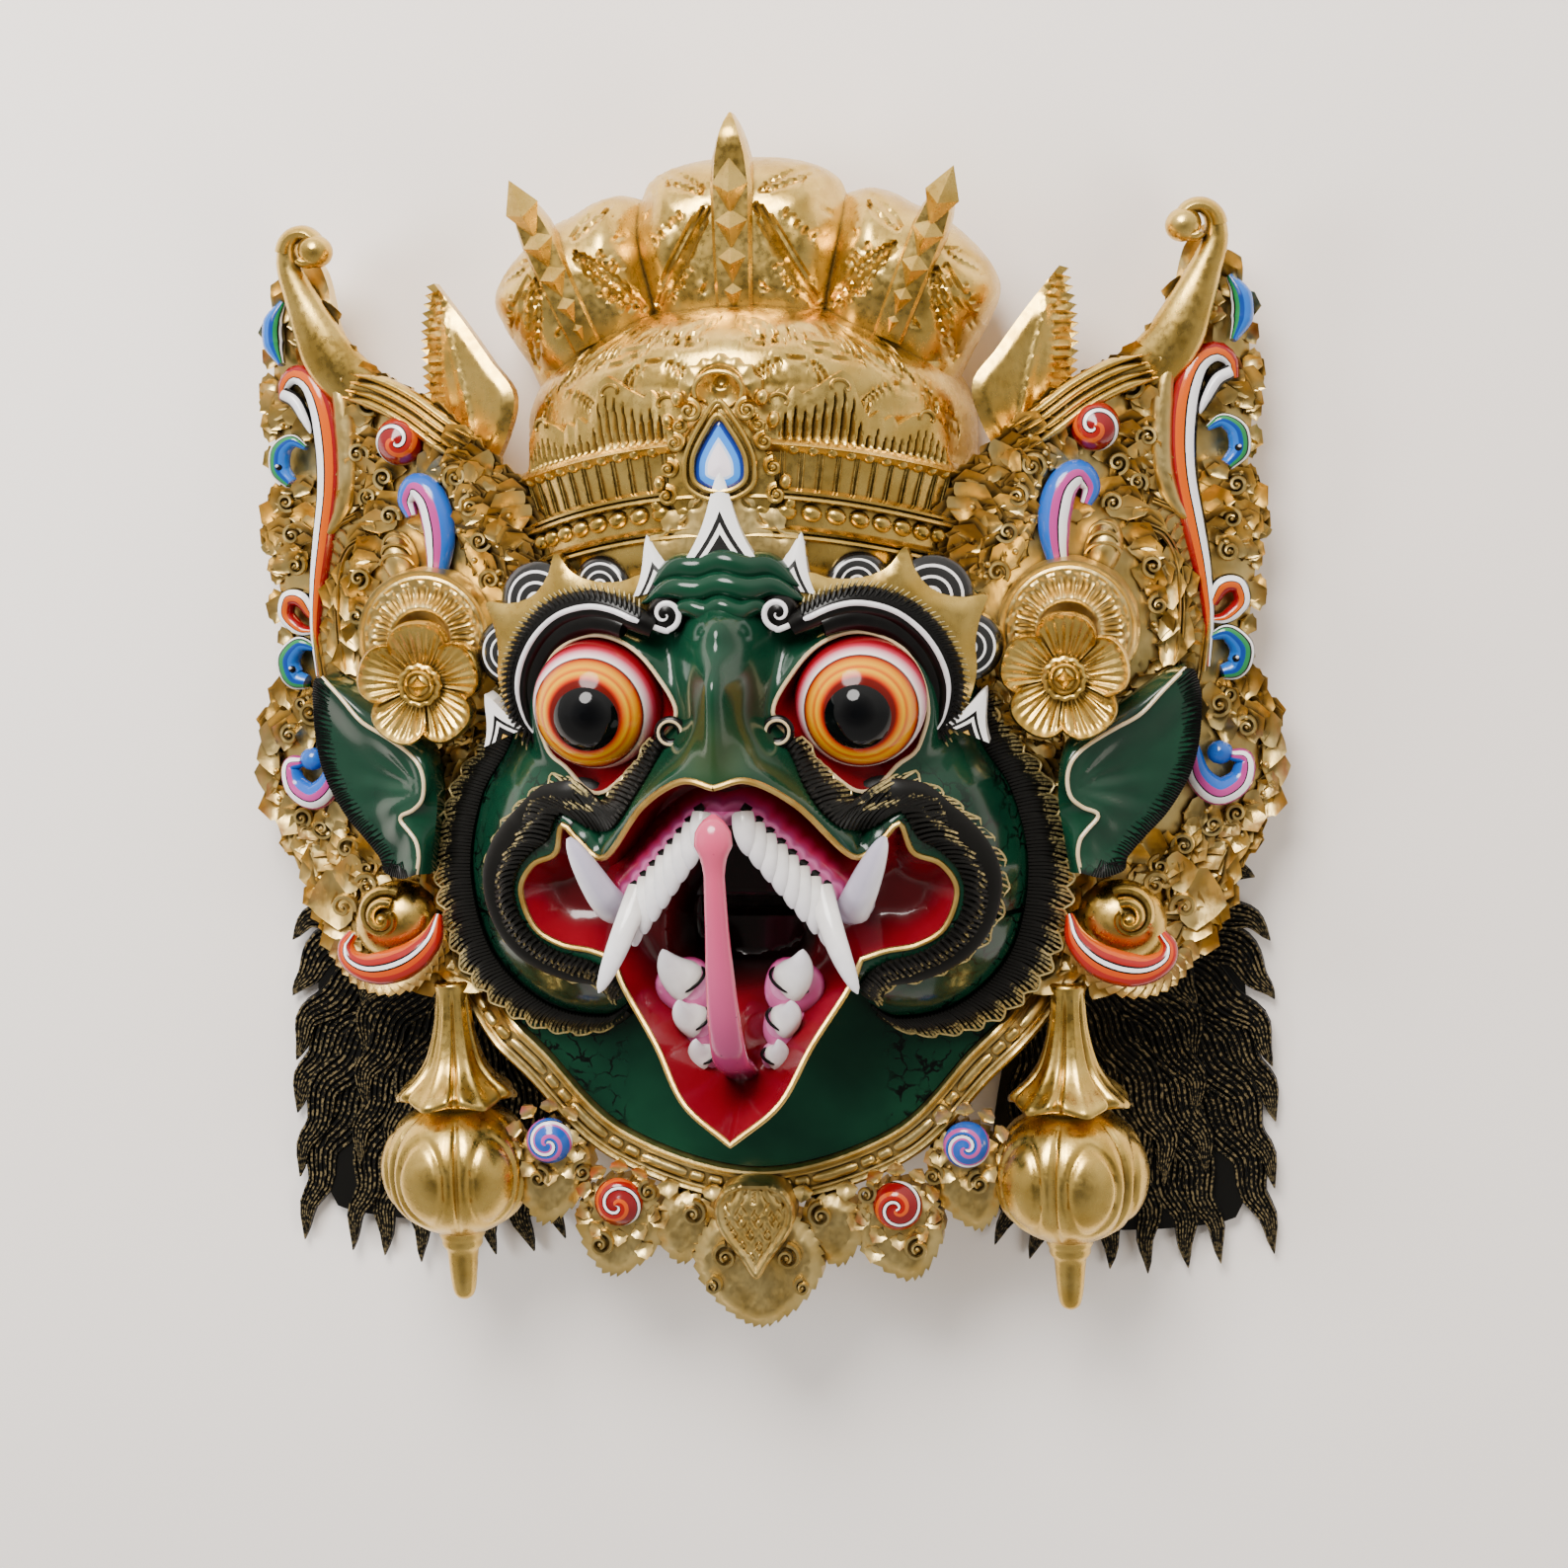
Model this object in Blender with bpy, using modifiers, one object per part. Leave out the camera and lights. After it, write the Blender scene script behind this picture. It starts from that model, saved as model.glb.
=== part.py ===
"""A carved and painted wooden garuda mask, lying face up on its back rim.

+X is the viewer's right, +Y the mask's top and +Z its front. Forms that a carver works by eye are drawn
on the carver's grid: GRID is one five-hundredth of the mask's height, and a place on it is a plain number
of grid steps. Walls, plates and gaps have sizes of their own.
"""

import math

import bmesh
import bpy
from mathutils import Matrix, Vector

# Driving sizes, in metres
HEIGHT = 0.500
GRID = HEIGHT / 500
GAP = 0.0003
BOARD_THICK = 0.012
LOCK_RISE = 0.003
WING_THICK = 0.014
BLADE_THICK = 0.009
COLLAR_THICK = 0.022
SHIELD_RISE = 0.014
PETAL_THICK = 0.007
SLIT_HALF_WIDTH = 0.021
SLIT_HEIGHT = 0.009
SLIT_REACH = (0.03, 0.09)
SHEET = (0, 0.02)
WELD = 0.000004

# The face, in grid steps
FACE_CENTRE = (0, -20)
FACE_OUTLINE = [(0, 128), (62, 118), (98, 88), (102, 52), (102, 22), (113, -6), (127, -30), (131, -58),
                (126, -88), (112, -109), (90, -131), (56, -166)]
FACE_BOTTOM = (0, -183)
FACE_SIDES = 36
FRONT_RINGS = 10
FACE_RIM = 60
FACE_RISE = 62
CHEEK = (86, -40)
CHEEK_RISE = 9
BEAK_RISE = 38
BEAK_WIDTH = 33
THROAT_TOP = -98
THROAT_LOW = -126
CROWN_JOINT = 72
EYE = (52, 19.5, 115)
EYE_RADIUS = 24
PUPIL_RISE = 12
PUPIL_RADIUS = 14
BROW = [(14, 62, 127), (30, 66, 124), (52, 63, 118), (76, 50, 108), (89, 26, 99), (88, 4, 95)]
BROW_RADIUS = 7
NOSTRIL = (21, 9.4, 134)
NOSTRIL_RADIUS = 5

# The mouth, in grid steps
LIP = [(0, -8), (13, -6.5), (30, -17), (49, -40), (60, -34), (68, -28), (72, -40), (82, -46), (88, -57),
       (84, -71), (72, -79), (60, -81), (50, -84)]
MOUTH_FLOOR = 92
THROAT_FLOOR = 62
CUTTER_TOP = 200
THROAT_OUTLINE = [(0, -36), (16, -44), (27, -62), (30, -82), (22, -92), (0, -94)]
GUM_OUTLINE = [(0, -3), (18, -4), (34, -14), (51, -34), (51, -45), (42, -59), (31, -50), (17, -36), (6, -28)]
GUM_FRONT = 139
GUM_SLOPE = 0.5
TOOTH_THICK = 5
JAW_RIM = [(48, -78, 112), (46, -95, 115), (32, -116, 125), (20, -136, 135), (0, -152, 141)]
JAW_BACK = [(50, -78), (46, -92), (33, -108), (20, -120), (0, -130)]
JAW_WALL = 6
JAW_FLOOR = 104
LOWER_GUM_TOP = 116
LOWER_GUM_HALF = 6
LOWER_TEETH = [(18, -92, 130), (16, -107, 132), (12, -122, 134)]
TOOTH_RADIUS = 5.5
TOOTH_LINE = [(6.5, -27), (16, -37), (27, -50), (37, -62)]
TEETH_IN_ROW = 7
FANG = [(35, -54, 125), (40, -69, 133), (46, -82, 137), (51, -92, 137)]
TUSK_RADII = [6.5, 6.5, 5, 3, 0.4]
FANG_RADII = [3.8, 4.6, 3.4, 0.5]
TUSK = [(52, -67, 92), (52, -67, 108), (53, -55, 122), (57, -42, 130), (62, -31, 132)]
TONGUE = [(0, -126, 104), (0, -126, 126), (0, -117, 142), (0, -94, 153), (0, -69, 159), (0, -45, 163),
          (0, -25, 164)]
TONGUE_RADII = [5, 5.5, 6.5, 6, 5.5, 6.5, 7]

# The hollow back, in grid steps
HOLLOWS = [((0, -30, 0), (90, 112, 48)), ((0, 14, 0), (74, 64, 84))]
HOLLOW_SIDES = (20, 10)
SLIT_MIDDLE = -71

# The crown, in grid steps
CAP_AXIS_DEPTH = 22
CAP_STRETCH = (97, 94)
CAP_PROFILE = [(0, 170), (0.30, 166), (0.55, 157), (0.74, 146), (0.865, 134), (0.885, 139), (0.955, 141),
               (0.965, 126), (0.985, 112), (1.03, 110), (1.03, 106), (1.0, 104), (1.0, 96), (1.05, 93),
               (1.05, 90), (1.01, 88), (1.01, 80), (1.05, 78), (1.05, 74), (1.0, 72), (1.0, 40), (0, 40)]
CAP_SIDES = 30
GEM_HEIGHT = 119
GEM_DEPTH = 124
GEM_FRAME = [(0, 27), (9, 17), (20, 10), (24, -4), (16, -17), (0, -22)]
GEM_DROP = [(0, 16), (6, 5), (10, -4), (6, -11), (0, -13)]
PLATE_BACK = 96
CAP_DROOP = 12
TRIANGLE_FRONT = 130
TRIANGLES = [(0, 79, 13, 31, 0), (24, 68, 10, 16, -18)]

# The crest, the blades and the wings, in grid steps
CREST_LOBES = [((0, 192), 0, (41, 44, 29)), ((68, 180), 24, (37, 41, 27))]
CREST_DEPTH = 40
CREST_BASE = [(88, 146), (92, 180), (40, 205)]
CREST_RIB = (162, 250)
SIDE_RIB_ROOT = 205
RIB_WIDTH = 16
RIB_TIP = 26
RIB_PYRAMIDS = 4
BLADE = [(108, 106), (94, 141), (102, 152), (129, 188), (133, 160), (133, 136)]
SWEEP = 0.39
SWEEP_FROM = 110
WING_FRONT = 66
WING_INNER = [(112, -98), (104, -60), (88, -10), (84, 40), (84, 92), (104, 112), (125, 130)]
WING_TOP = [(157, 148), (172, 166), (175, 186), (172, 200), (181, 213), (192, 209), (195, 196), (199, 180)]
WING_EDGE = [(203, 160), (207, 134), (205, 102), (208, 65), (204, 27), (216, 0), (212, -34), (198, -64)]
WING_SCROLL = [(195, -74), (188, -84), (176, -95), (160, -104.5), (122, -104.5)]
LONG_SCROLL = [(168, 128, 50), (176, 134, 48), (184, 128, 45), (180, 108, 44), (184, 80, 42), (190, 48, 38)]
EDGE_LEAVES = 12
EDGE_RIPPLE = 4
CURL = (182, 204, 37)
CURL_RADIUS = 10
RED_BALL = (143, 123, 60)
BALL_RADIUS = 10
HALO = (132, 43)
HALO_RADIUS = 28
HALO_FRONT = 82
HALO_BACK = 44
EAR_SCROLL = (152, -80, 60)
EAR_SCROLL_RADIUS = 23
EAR = [(142, -2), (133, -15.5), (145, -30), (137, -52), (150, -57), (166, -45), (177, -27), (185, -1),
       (178, 25), (160, 8)]
EAR_INNER_FRONT = 84
EAR_SLOPE = 0.46
FLOWER = (130.4, 24.8)
FLOWER_RADIUS = 25
PETALS = 5

# The pendants, the hair and the collar, in grid steps
PENDANT_AXIS = (130, 58)
PENDANT_PROFILE = [(0, -104.8), (7, -104.8), (8, -120), (12, -138), (22, -149), (24, -154), (12, -157),
                   (24, -164), (32, -178), (32, -192), (24, -206), (9, -213.5), (8, -219), (5, -225),
                   (0, -244)]
PENDANT_LOBES = 6
LOBE_DEPTH = 0.1
PENDANT_SIDES = 18
LOCK_ROOT = (112, -84)
LOCK_ROOT_RADIUS = 26
LOCK_TIPS = [(207, -71), (219, -106), (221, -144), (220, -184), (217, -236), (193, -242), (168, -245),
             (143, -243), (118, -239), (95, -232)]
LOCK_WIDTH = 29
LOCK_WAVE = 3
LOCK_STEPS = 4
COLLAR_FRONT = 66
COLLAR_WIDTH = 15
COLLAR_FROM = 126
COLLAR_RIMS = [(0.14, 2.4), (0.86, 2.6)]
COLLAR_LEAVES = [(0, -214, 28, 53, 0, 8), (31, -206, 14, 22, 10, 6), (60, -203, 19, 30, 20, 7),
                 (87, -178, 18, 44, 14, 5)]
SWIRLS = [(60, -198, 74, 10), (88, -171, 72, 10)]
SHIELD = (0, -205, 17, 35)


def collection(name):
    made = bpy.data.collections.new(name)
    bpy.context.scene.collection.children.link(made)
    return made


def material(name, colour, rough, metallic=0.0):
    made = bpy.data.materials.new(name)
    made.use_nodes = True
    shader = made.node_tree.nodes["Principled BSDF"]
    shader.inputs["Base Color"].default_value = (*colour, 1)
    shader.inputs["Roughness"].default_value = rough
    shader.inputs["Metallic"].default_value = metallic
    return made


def helper(name, mesh):
    """An object that cuts or joins others and is no part of the mask itself."""
    made = bpy.data.objects.new(name, mesh)
    tools.objects.link(made)
    made.hide_render = True
    made.display_type = "WIRE"
    return made


def part(name, body, look):
    """The finished body as a named piece of the mask."""
    mesh = body.data
    bpy.data.objects.remove(body)
    shape = bmesh.new()
    shape.from_mesh(mesh)
    bmesh.ops.dissolve_limit(shape, angle_limit=math.radians(0.2), verts=shape.verts, edges=shape.edges)
    shape.to_mesh(mesh)
    shape.free()
    mesh.name = name
    mesh.materials.clear()
    mesh.materials.append(look)
    mesh.shade_smooth()
    mesh.set_sharp_from_angle(angle=math.radians(35))
    made = bpy.data.objects.new(name, mesh)
    mask.objects.link(made)
    return made


def other_side(name, piece):
    """The same piece carved for the other side of the mask."""
    mesh = piece.data.copy()
    mesh.transform(Matrix.Diagonal((-1, 1, 1, 1)))
    mesh.flip_normals()
    mesh.name = name
    made = bpy.data.objects.new(name, mesh)
    mask.objects.link(made)
    return made


def bake(piece):
    """Turns the piece and its modifiers into a plain closed mesh."""
    bpy.context.view_layer.update()
    evaluated = piece.evaluated_get(bpy.context.evaluated_depsgraph_get())
    mesh = bpy.data.meshes.new_from_object(evaluated)
    mesh.transform(piece.matrix_world)
    shape = bmesh.new()
    shape.from_mesh(mesh)
    bmesh.ops.remove_doubles(shape, verts=shape.verts, dist=WELD)
    shape.to_mesh(mesh)
    shape.free()
    name = piece.name
    bpy.data.objects.remove(piece)
    return helper(name, mesh)


def combine(body, others, how):
    for other in others:
        step = body.modifiers.new(how.lower(), "BOOLEAN")
        step.operation = how
        step.solver = "EXACT"
        step.object = other
        body = bake(body)
    return body


def mirrored(points):
    """A half outline from top to bottom at +X, closed with its reflection."""
    return points + [(-p[0], *p[1:]) for p in reversed(points) if p[0] > 0]


def smooth(points, steps, closed=True):
    """Points along a soft curve through the given ones."""
    count = len(points)
    spans = count if closed else count - 1
    line = []
    for i in range(spans):
        near = [(i + k) % count if closed else min(max(i + k, 0), count - 1) for k in (-1, 0, 1, 2)]
        a, b, c, d = (Vector(points[k]) for k in near)
        for j in range(steps):
            t = j / steps
            bend = (2 * a - 5 * b + 4 * c - d) * t**2 + (3 * (b - c) + d - a) * t**3
            line.append(0.5 * (2 * b + (c - a) * t + bend))
    return line if closed else line + [Vector(points[-1])]


def grown(outline, by):
    """The outline, which runs either way round, moved outward by a distance in grid steps."""
    count = len(outline)
    area = sum(outline[i - 1][0] * outline[i][1] - outline[i][0] * outline[i - 1][1] for i in range(count))
    side = by if area > 0 else -by
    moved = []
    for i in range(count):
        along = (Vector(outline[(i + 1) % count][:2]) - Vector(outline[i - 1][:2])).normalized()
        moved.append(Vector((outline[i][0] + along.y * side, outline[i][1] - along.x * side)))
    return moved


def slab(name, outline, low, high):
    """A flat outline on the carver's grid, filled between two depths in metres."""
    curve = bpy.data.curves.new(name, "CURVE")
    curve.dimensions = "2D"
    curve.fill_mode = "BOTH"
    curve.extrude = (high - low) / 2
    spline = curve.splines.new("POLY")
    spline.points.add(len(outline) - 1)
    for place, point in zip(spline.points, outline):
        place.co = (point[0] * GRID, point[1] * GRID, 0, 1)
    spline.use_cyclic_u = True
    made = bpy.data.objects.new(name, curve)
    tools.objects.link(made)
    made.location.z = (high + low) / 2
    return bake(made)


def rod(name, points, radii, resolution=1):
    """A round rod through points on the carver's grid, its radius changing from point to point."""
    curve = bpy.data.curves.new(name, "CURVE")
    curve.dimensions = "3D"
    curve.bevel_depth = GRID
    curve.bevel_resolution = resolution
    curve.use_fill_caps = True
    spline = curve.splines.new("POLY")
    spline.points.add(len(points) - 1)
    for place, point, radius in zip(spline.points, points, radii):
        place.co = (point[0] * GRID, point[1] * GRID, point[2] * GRID, 1)
        place.radius = radius
    made = bpy.data.objects.new(name, curve)
    tools.objects.link(made)
    return bake(made)


def ball(name, centre, radii, sides=16, rings=8, turn=0.0):
    """An egg shape on the carver's grid, turned about the mask's depth."""
    shape = bmesh.new()
    bmesh.ops.create_uvsphere(shape, u_segments=sides, v_segments=rings, radius=GRID)
    place = Matrix.Translation(Vector(centre) * GRID) @ Matrix.Rotation(turn, 4, "Z")
    bmesh.ops.transform(shape, matrix=place @ Matrix.Diagonal((*radii, 1)), verts=shape.verts)
    return from_shape(name, shape)


def cone(name, centre, base, tip, height, sides=8, lean=None):
    """A cone or cylinder on the carver's grid, standing on its base along +Z unless it leans."""
    shape = bmesh.new()
    bmesh.ops.create_cone(shape, cap_ends=True, segments=sides, radius1=base * GRID, radius2=tip * GRID,
                          depth=height * GRID)
    bmesh.ops.translate(shape, vec=(0, 0, height * GRID / 2), verts=shape.verts)
    place = Matrix.Translation(Vector(centre) * GRID)
    if lean is not None:
        place = place @ lean
    bmesh.ops.transform(shape, matrix=place, verts=shape.verts)
    return from_shape(name, shape)


def from_shape(name, shape):
    mesh = bpy.data.meshes.new(name)
    shape.to_mesh(mesh)
    shape.free()
    return helper(name, mesh)


def turned(name, profile, sides):
    """A turned solid about +Z, its profile given as radius and height from the top down."""
    mesh = bpy.data.meshes.new(name)
    mesh.from_pydata([(radius * GRID, 0, height * GRID) for radius, height in profile],
                     [(i, i + 1) for i in range(len(profile) - 1)], [])
    made = helper(name, mesh)
    screw = made.modifiers.new("turn", "SCREW")
    screw.steps = screw.render_steps = sides
    screw.use_merge_vertices = True
    screw.merge_threshold = 0.00001
    return bake(made)


def reshape(body, move):
    """Moves each corner of the body by a rule."""
    for corner in body.data.vertices:
        corner.co = move(corner.co)
    return body


def halved(body, point, normal):
    """Keeps what lies behind a plane, closed flat."""
    shape = bmesh.new()
    shape.from_mesh(body.data)
    cut = bmesh.ops.bisect_plane(shape, geom=shape.verts[:] + shape.edges[:] + shape.faces[:], dist=WELD / 4,
                                 plane_co=point, plane_no=normal, clear_outer=True)
    edges = [item for item in cut["geom_cut"] if isinstance(item, bmesh.types.BMEdge)]
    bmesh.ops.holes_fill(shape, edges=edges, sides=0)
    shape.to_mesh(body.data)
    shape.free()
    return body


def reach(outline, angle):
    """How far the outline lies from the face's centre in one direction."""
    centre = Vector(FACE_CENTRE)
    way = Vector((math.cos(angle), math.sin(angle)))
    best = 0
    for i, end in enumerate(outline):
        a, b = outline[i - 1] - centre, end - centre
        side_a, side_b = way.x * a.y - way.y * a.x, way.x * b.y - way.y * b.x
        if side_a * side_b <= 0 and side_a != side_b:
            crossing = a + (b - a) * side_a / (side_a - side_b)
            best = max(best, crossing.dot(way))
    return best


def face_outline():
    """The corners of the face's edge, one for each of its sides round the centre."""
    soft = smooth(mirrored(FACE_OUTLINE + [FACE_BOTTOM]), 4)
    corners = []
    for i in range(FACE_SIDES):
        angle = 2 * math.pi * i / FACE_SIDES
        corners.append(Vector(FACE_CENTRE) + Vector((math.cos(angle), math.sin(angle))) * reach(soft, angle))
    return corners


def bump(x, y, centre, width):
    return math.exp(-((x - centre[0]) ** 2 + (y - centre[1]) ** 2) / width**2)


def ramp(value, start, end):
    t = min(max((value - start) / (end - start), 0), 1)
    return t * t * (3 - 2 * t)


def face_depth(x, y, share):
    """How far the face stands out at a place on the grid; share is 1 at its edge and 0 in its middle."""
    inner = min(share / 0.92, 1)
    rise = FACE_RISE * (1 - inner**2) ** 0.6
    rise += CHEEK_RISE * bump(abs(x), y, CHEEK, 30)
    rise += BEAK_RISE * math.exp(-((x / BEAK_WIDTH) ** 2)) * ramp(y, -70, -20) * (1 - 0.45 * ramp(y, 40, 80))
    rise *= ramp(y, THROAT_LOW, THROAT_TOP)
    return FACE_RIM + rise


def gum_front(x):
    """How far the upper gum stands out, in metres; it slopes back to both sides as a flat plane."""
    return GUM_FRONT * GRID - GUM_SLOPE * abs(x)


def face_block():
    outline = face_outline()
    rings = FRONT_RINGS + 2
    shape = bmesh.new()
    bmesh.ops.create_uvsphere(shape, u_segments=FACE_SIDES, v_segments=rings, radius=1)
    for corner in shape.verts:
        ring = round(math.acos(max(-1, min(1, corner.co.z))) / math.pi * rings)
        angle = math.atan2(corner.co.y, corner.co.x)
        share = min(ring / FRONT_RINGS, 1) if ring < rings else 0
        far = reach(outline, angle) * share
        x, y = FACE_CENTRE[0] + math.cos(angle) * far, FACE_CENTRE[1] + math.sin(angle) * far
        z = face_depth(x, y, share) if ring <= FRONT_RINGS else 0
        corner.co = Vector((x, y, z)) * GRID
    return from_shape("face block", shape)


def jaw_loft(name, rim, back, low):
    """The lower jaw between its rim and its root, which lies further back and higher up."""
    shape = bmesh.new()
    top = [shape.verts.new(Vector(point) * GRID) for point in mirrored(rim[::-1])]
    bottom = [shape.verts.new(Vector((x, y, low)) * GRID) for x, y in mirrored(back[::-1])]
    for i in range(len(top)):
        shape.faces.new((top[i - 1], top[i], bottom[i], bottom[i - 1]))
    shape.faces.new(top)
    shape.faces.new(bottom)
    bmesh.ops.triangulate(shape, faces=shape.faces)
    bmesh.ops.recalc_face_normals(shape, faces=shape.faces)
    return from_shape(name, shape)


def make_head():
    body = face_block()
    body = halved(body, (0, CROWN_JOINT * GRID, 0), (0, 1, 0))
    joined = []
    for side in (-1, 1):
        joined.append(ball("eyeball", (side * EYE[0], EYE[1], EYE[2]), [EYE_RADIUS] * 3, 14, 8))
        joined.append(ball("pupil", (side * EYE[0], EYE[1], EYE[2] + PUPIL_RISE), [PUPIL_RADIUS] * 3, 12, 6))
        line = [(side * x, y, z) for x, y, z in BROW]
        radii = [BROW_RADIUS * (1 - 0.6 * (i / (len(line) - 1)) ** 2) for i in range(len(line))]
        joined.append(rod("brow", line, radii))
        joined.append(ball("nostril", (side * NOSTRIL[0], *NOSTRIL[1:]), [NOSTRIL_RADIUS] * 3, 8, 6))
    body = combine(body, joined, "UNION")
    mouth = smooth(mirrored(LIP), 2)
    mouth_cut = slab("mouth cutter", mouth, MOUTH_FLOOR * GRID, CUTTER_TOP * GRID)
    body = combine(body, [mouth_cut], "DIFFERENCE")
    jaw = jaw_loft("jaw", JAW_RIM, JAW_BACK, FACE_RIM - 6)
    gum = slab("upper gum", smooth(mirrored(GUM_OUTLINE), 2), (MOUTH_FLOOR - 6) * GRID, GUM_FRONT * GRID)
    gum = reshape(gum, lambda c: c if c.z < MOUTH_FLOOR * GRID else Vector((c.x, c.y, gum_front(c.x))))
    body = combine(body, [gum, jaw], "UNION")
    inside = [(max(x - JAW_WALL, 0), y + JAW_WALL * (0.9 if x else 1.4)) for x, y, z in JAW_RIM]
    bowl = jaw_loft("jaw bowl cutter", [(x, y, CUTTER_TOP) for x, y in inside], inside, JAW_FLOOR)
    throat = smooth(mirrored(THROAT_OUTLINE), 2)
    throat = slab("throat cutter", throat, THROAT_FLOOR * GRID, CUTTER_TOP * GRID)
    body = combine(body, [bowl, throat], "DIFFERENCE")
    lower_gums = []
    for side in (-1, 1):
        line = [(side * x, y) for x, y, z in LOWER_TEETH]
        strip = [(x + side * LOWER_GUM_HALF, y) for x, y in line]
        strip += [(x - side * LOWER_GUM_HALF, y) for x, y in line[::-1]]
        lower_gums.append(slab("lower gum", strip, (JAW_FLOOR - 4) * GRID, LOWER_GUM_TOP * GRID))
    body = combine(body, lower_gums, "UNION")
    hollows = [ball("hollow cutter", centre, radii, *HOLLOW_SIDES) for centre, radii in HOLLOWS]
    slit = [(-1, -1), (1, -1), (1, 1), (-1, 1)]
    slit = [(x * SLIT_HALF_WIDTH / GRID, SLIT_MIDDLE + y * SLIT_HEIGHT / 2 / GRID) for x, y in slit]
    hollows.append(slab("slit cutter", slit, *SLIT_REACH))
    return combine(body, hollows, "DIFFERENCE")


def cap_body(name, grow):
    """The dome and its diadem, turned, then stretched to the head's width and drooping at its sides."""
    body = turned(name, CAP_PROFILE, CAP_SIDES)
    wide, deep = CAP_STRETCH

    def place(corner):
        extra = grow / GRID
        x = corner.x * (wide + extra)
        y = corner.z + grow * ramp(corner.z / GRID, 72, 140) - CAP_DROOP * GRID * (corner.x / GRID) ** 2
        z = CAP_AXIS_DEPTH * GRID - corner.y * (deep + extra)
        return Vector((x, y, z))

    return reshape(body, place)


def make_cap():
    body = cap_body("cap", 0)
    body = halved(body, (0, 0, 0), (0, 0, -1))
    joined = []
    for name, shape, front in (("gem frame", GEM_FRAME, GEM_DEPTH - 3), ("gem", GEM_DROP, GEM_DEPTH)):
        outline = [(x, y + GEM_HEIGHT) for x, y in smooth(mirrored(shape), 2)]
        joined.append(slab(name, outline, PLATE_BACK * GRID, front * GRID))
    for x, y, half, tall, lean in TRIANGLES:
        for side in ((-1, 1) if x else (1,)):
            tilt = math.radians(lean * side)
            corners = [(-half, 0), (half, 0), (0, tall)]
            turned_corners = [(side * x + a * math.cos(tilt) - b * math.sin(tilt),
                               y + 6 + a * math.sin(tilt) + b * math.cos(tilt)) for a, b in corners]
            front = TRIANGLE_FRONT - 0.45 * abs(x)
            joined.append(slab("forehead leaf", turned_corners, PLATE_BACK * GRID, front * GRID))
    body = combine(body, joined, "UNION")
    joint = CROWN_JOINT * GRID + GAP
    body = halved(body, (0, joint, 0), (0, -1, 0))
    hollows = [ball("cap hollow cutter", centre, radii, *HOLLOW_SIDES) for centre, radii in HOLLOWS]
    return combine(body, hollows, "DIFFERENCE")


def crest_rib(turn, root):
    """A rib with a row of little pyramids, which ends in a point beyond the lobe."""
    start, tip = CREST_RIB
    half = RIB_WIDTH / 2
    shoulder = tip - RIB_TIP
    outline = [(-half, start), (half, start), (half, shoulder), (0, tip), (-half, shoulder)]
    pieces = [slab("rib", outline, CREST_DEPTH * GRID, (CREST_DEPTH + 30) * GRID)]
    pitch = (shoulder - start) / RIB_PYRAMIDS
    for i in range(RIB_PYRAMIDS):
        y = start + pitch * (i + 0.5)
        lean = Matrix.Rotation(math.radians(45), 4, "Z")
        pieces.append(cone("pyramid", (0, y, CREST_DEPTH + 24 + i * 0.6), half * 1.3, 0, 13, 4, lean))
    spin = Matrix.Translation(Vector((root[0], root[1], 0)) * GRID) @ Matrix.Rotation(-turn, 4, "Z")
    spin = spin @ Matrix.Translation(Vector((0, -root[2], 0)) * GRID)
    for piece in pieces:
        piece.data.transform(spin)
    return pieces


def make_crest():
    pieces = []
    for (x, y), turn, radii in CREST_LOBES:
        for side in ((-1, 1) if x else (1,)):
            angle = math.radians(turn) * side
            pieces.append(ball("crest lobe", (side * x, y, CREST_DEPTH), radii, 12, 8, -angle))
            if x:
                pieces += crest_rib(angle, (side * x, y, SIDE_RIB_ROOT))
            else:
                pieces += crest_rib(0, (0, 0, 0))
    body = slab("crest base", mirrored(CREST_BASE), (CREST_DEPTH - 20) * GRID, (CREST_DEPTH + 2) * GRID)
    body = combine(body, pieces, "UNION")
    return combine(body, [cap_body("crest seat", GAP * 1.5)], "DIFFERENCE")


def swept(body, front, thick):
    """Lays a slab that was drawn flat along the swept wing, with its front face on the grid."""
    def place(corner):
        back = corner.z < sum(SHEET) / 2
        depth = front * GRID - SWEEP * (corner.x - SWEEP_FROM * GRID)
        return Vector((corner.x, corner.y, depth - (thick if back else 0)))

    return reshape(body, place)


def rippled(line, waves):
    """A stretch of edge as a row of small leaves."""
    steps = waves * 2
    soft = smooth(line, 12, closed=False)
    edge = []
    for i in range(steps + 1):
        at = i / steps * (len(soft) - 1)
        low = min(int(at), len(soft) - 2)
        here = soft[low].lerp(soft[low + 1], at - low)
        along = (soft[low + 1] - soft[low]).normalized()
        out = EDGE_RIPPLE * (0.5 if i % 2 else -0.5)
        edge.append(Vector((here.x - along.y * out, here.y + along.x * out)))
    return edge


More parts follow.
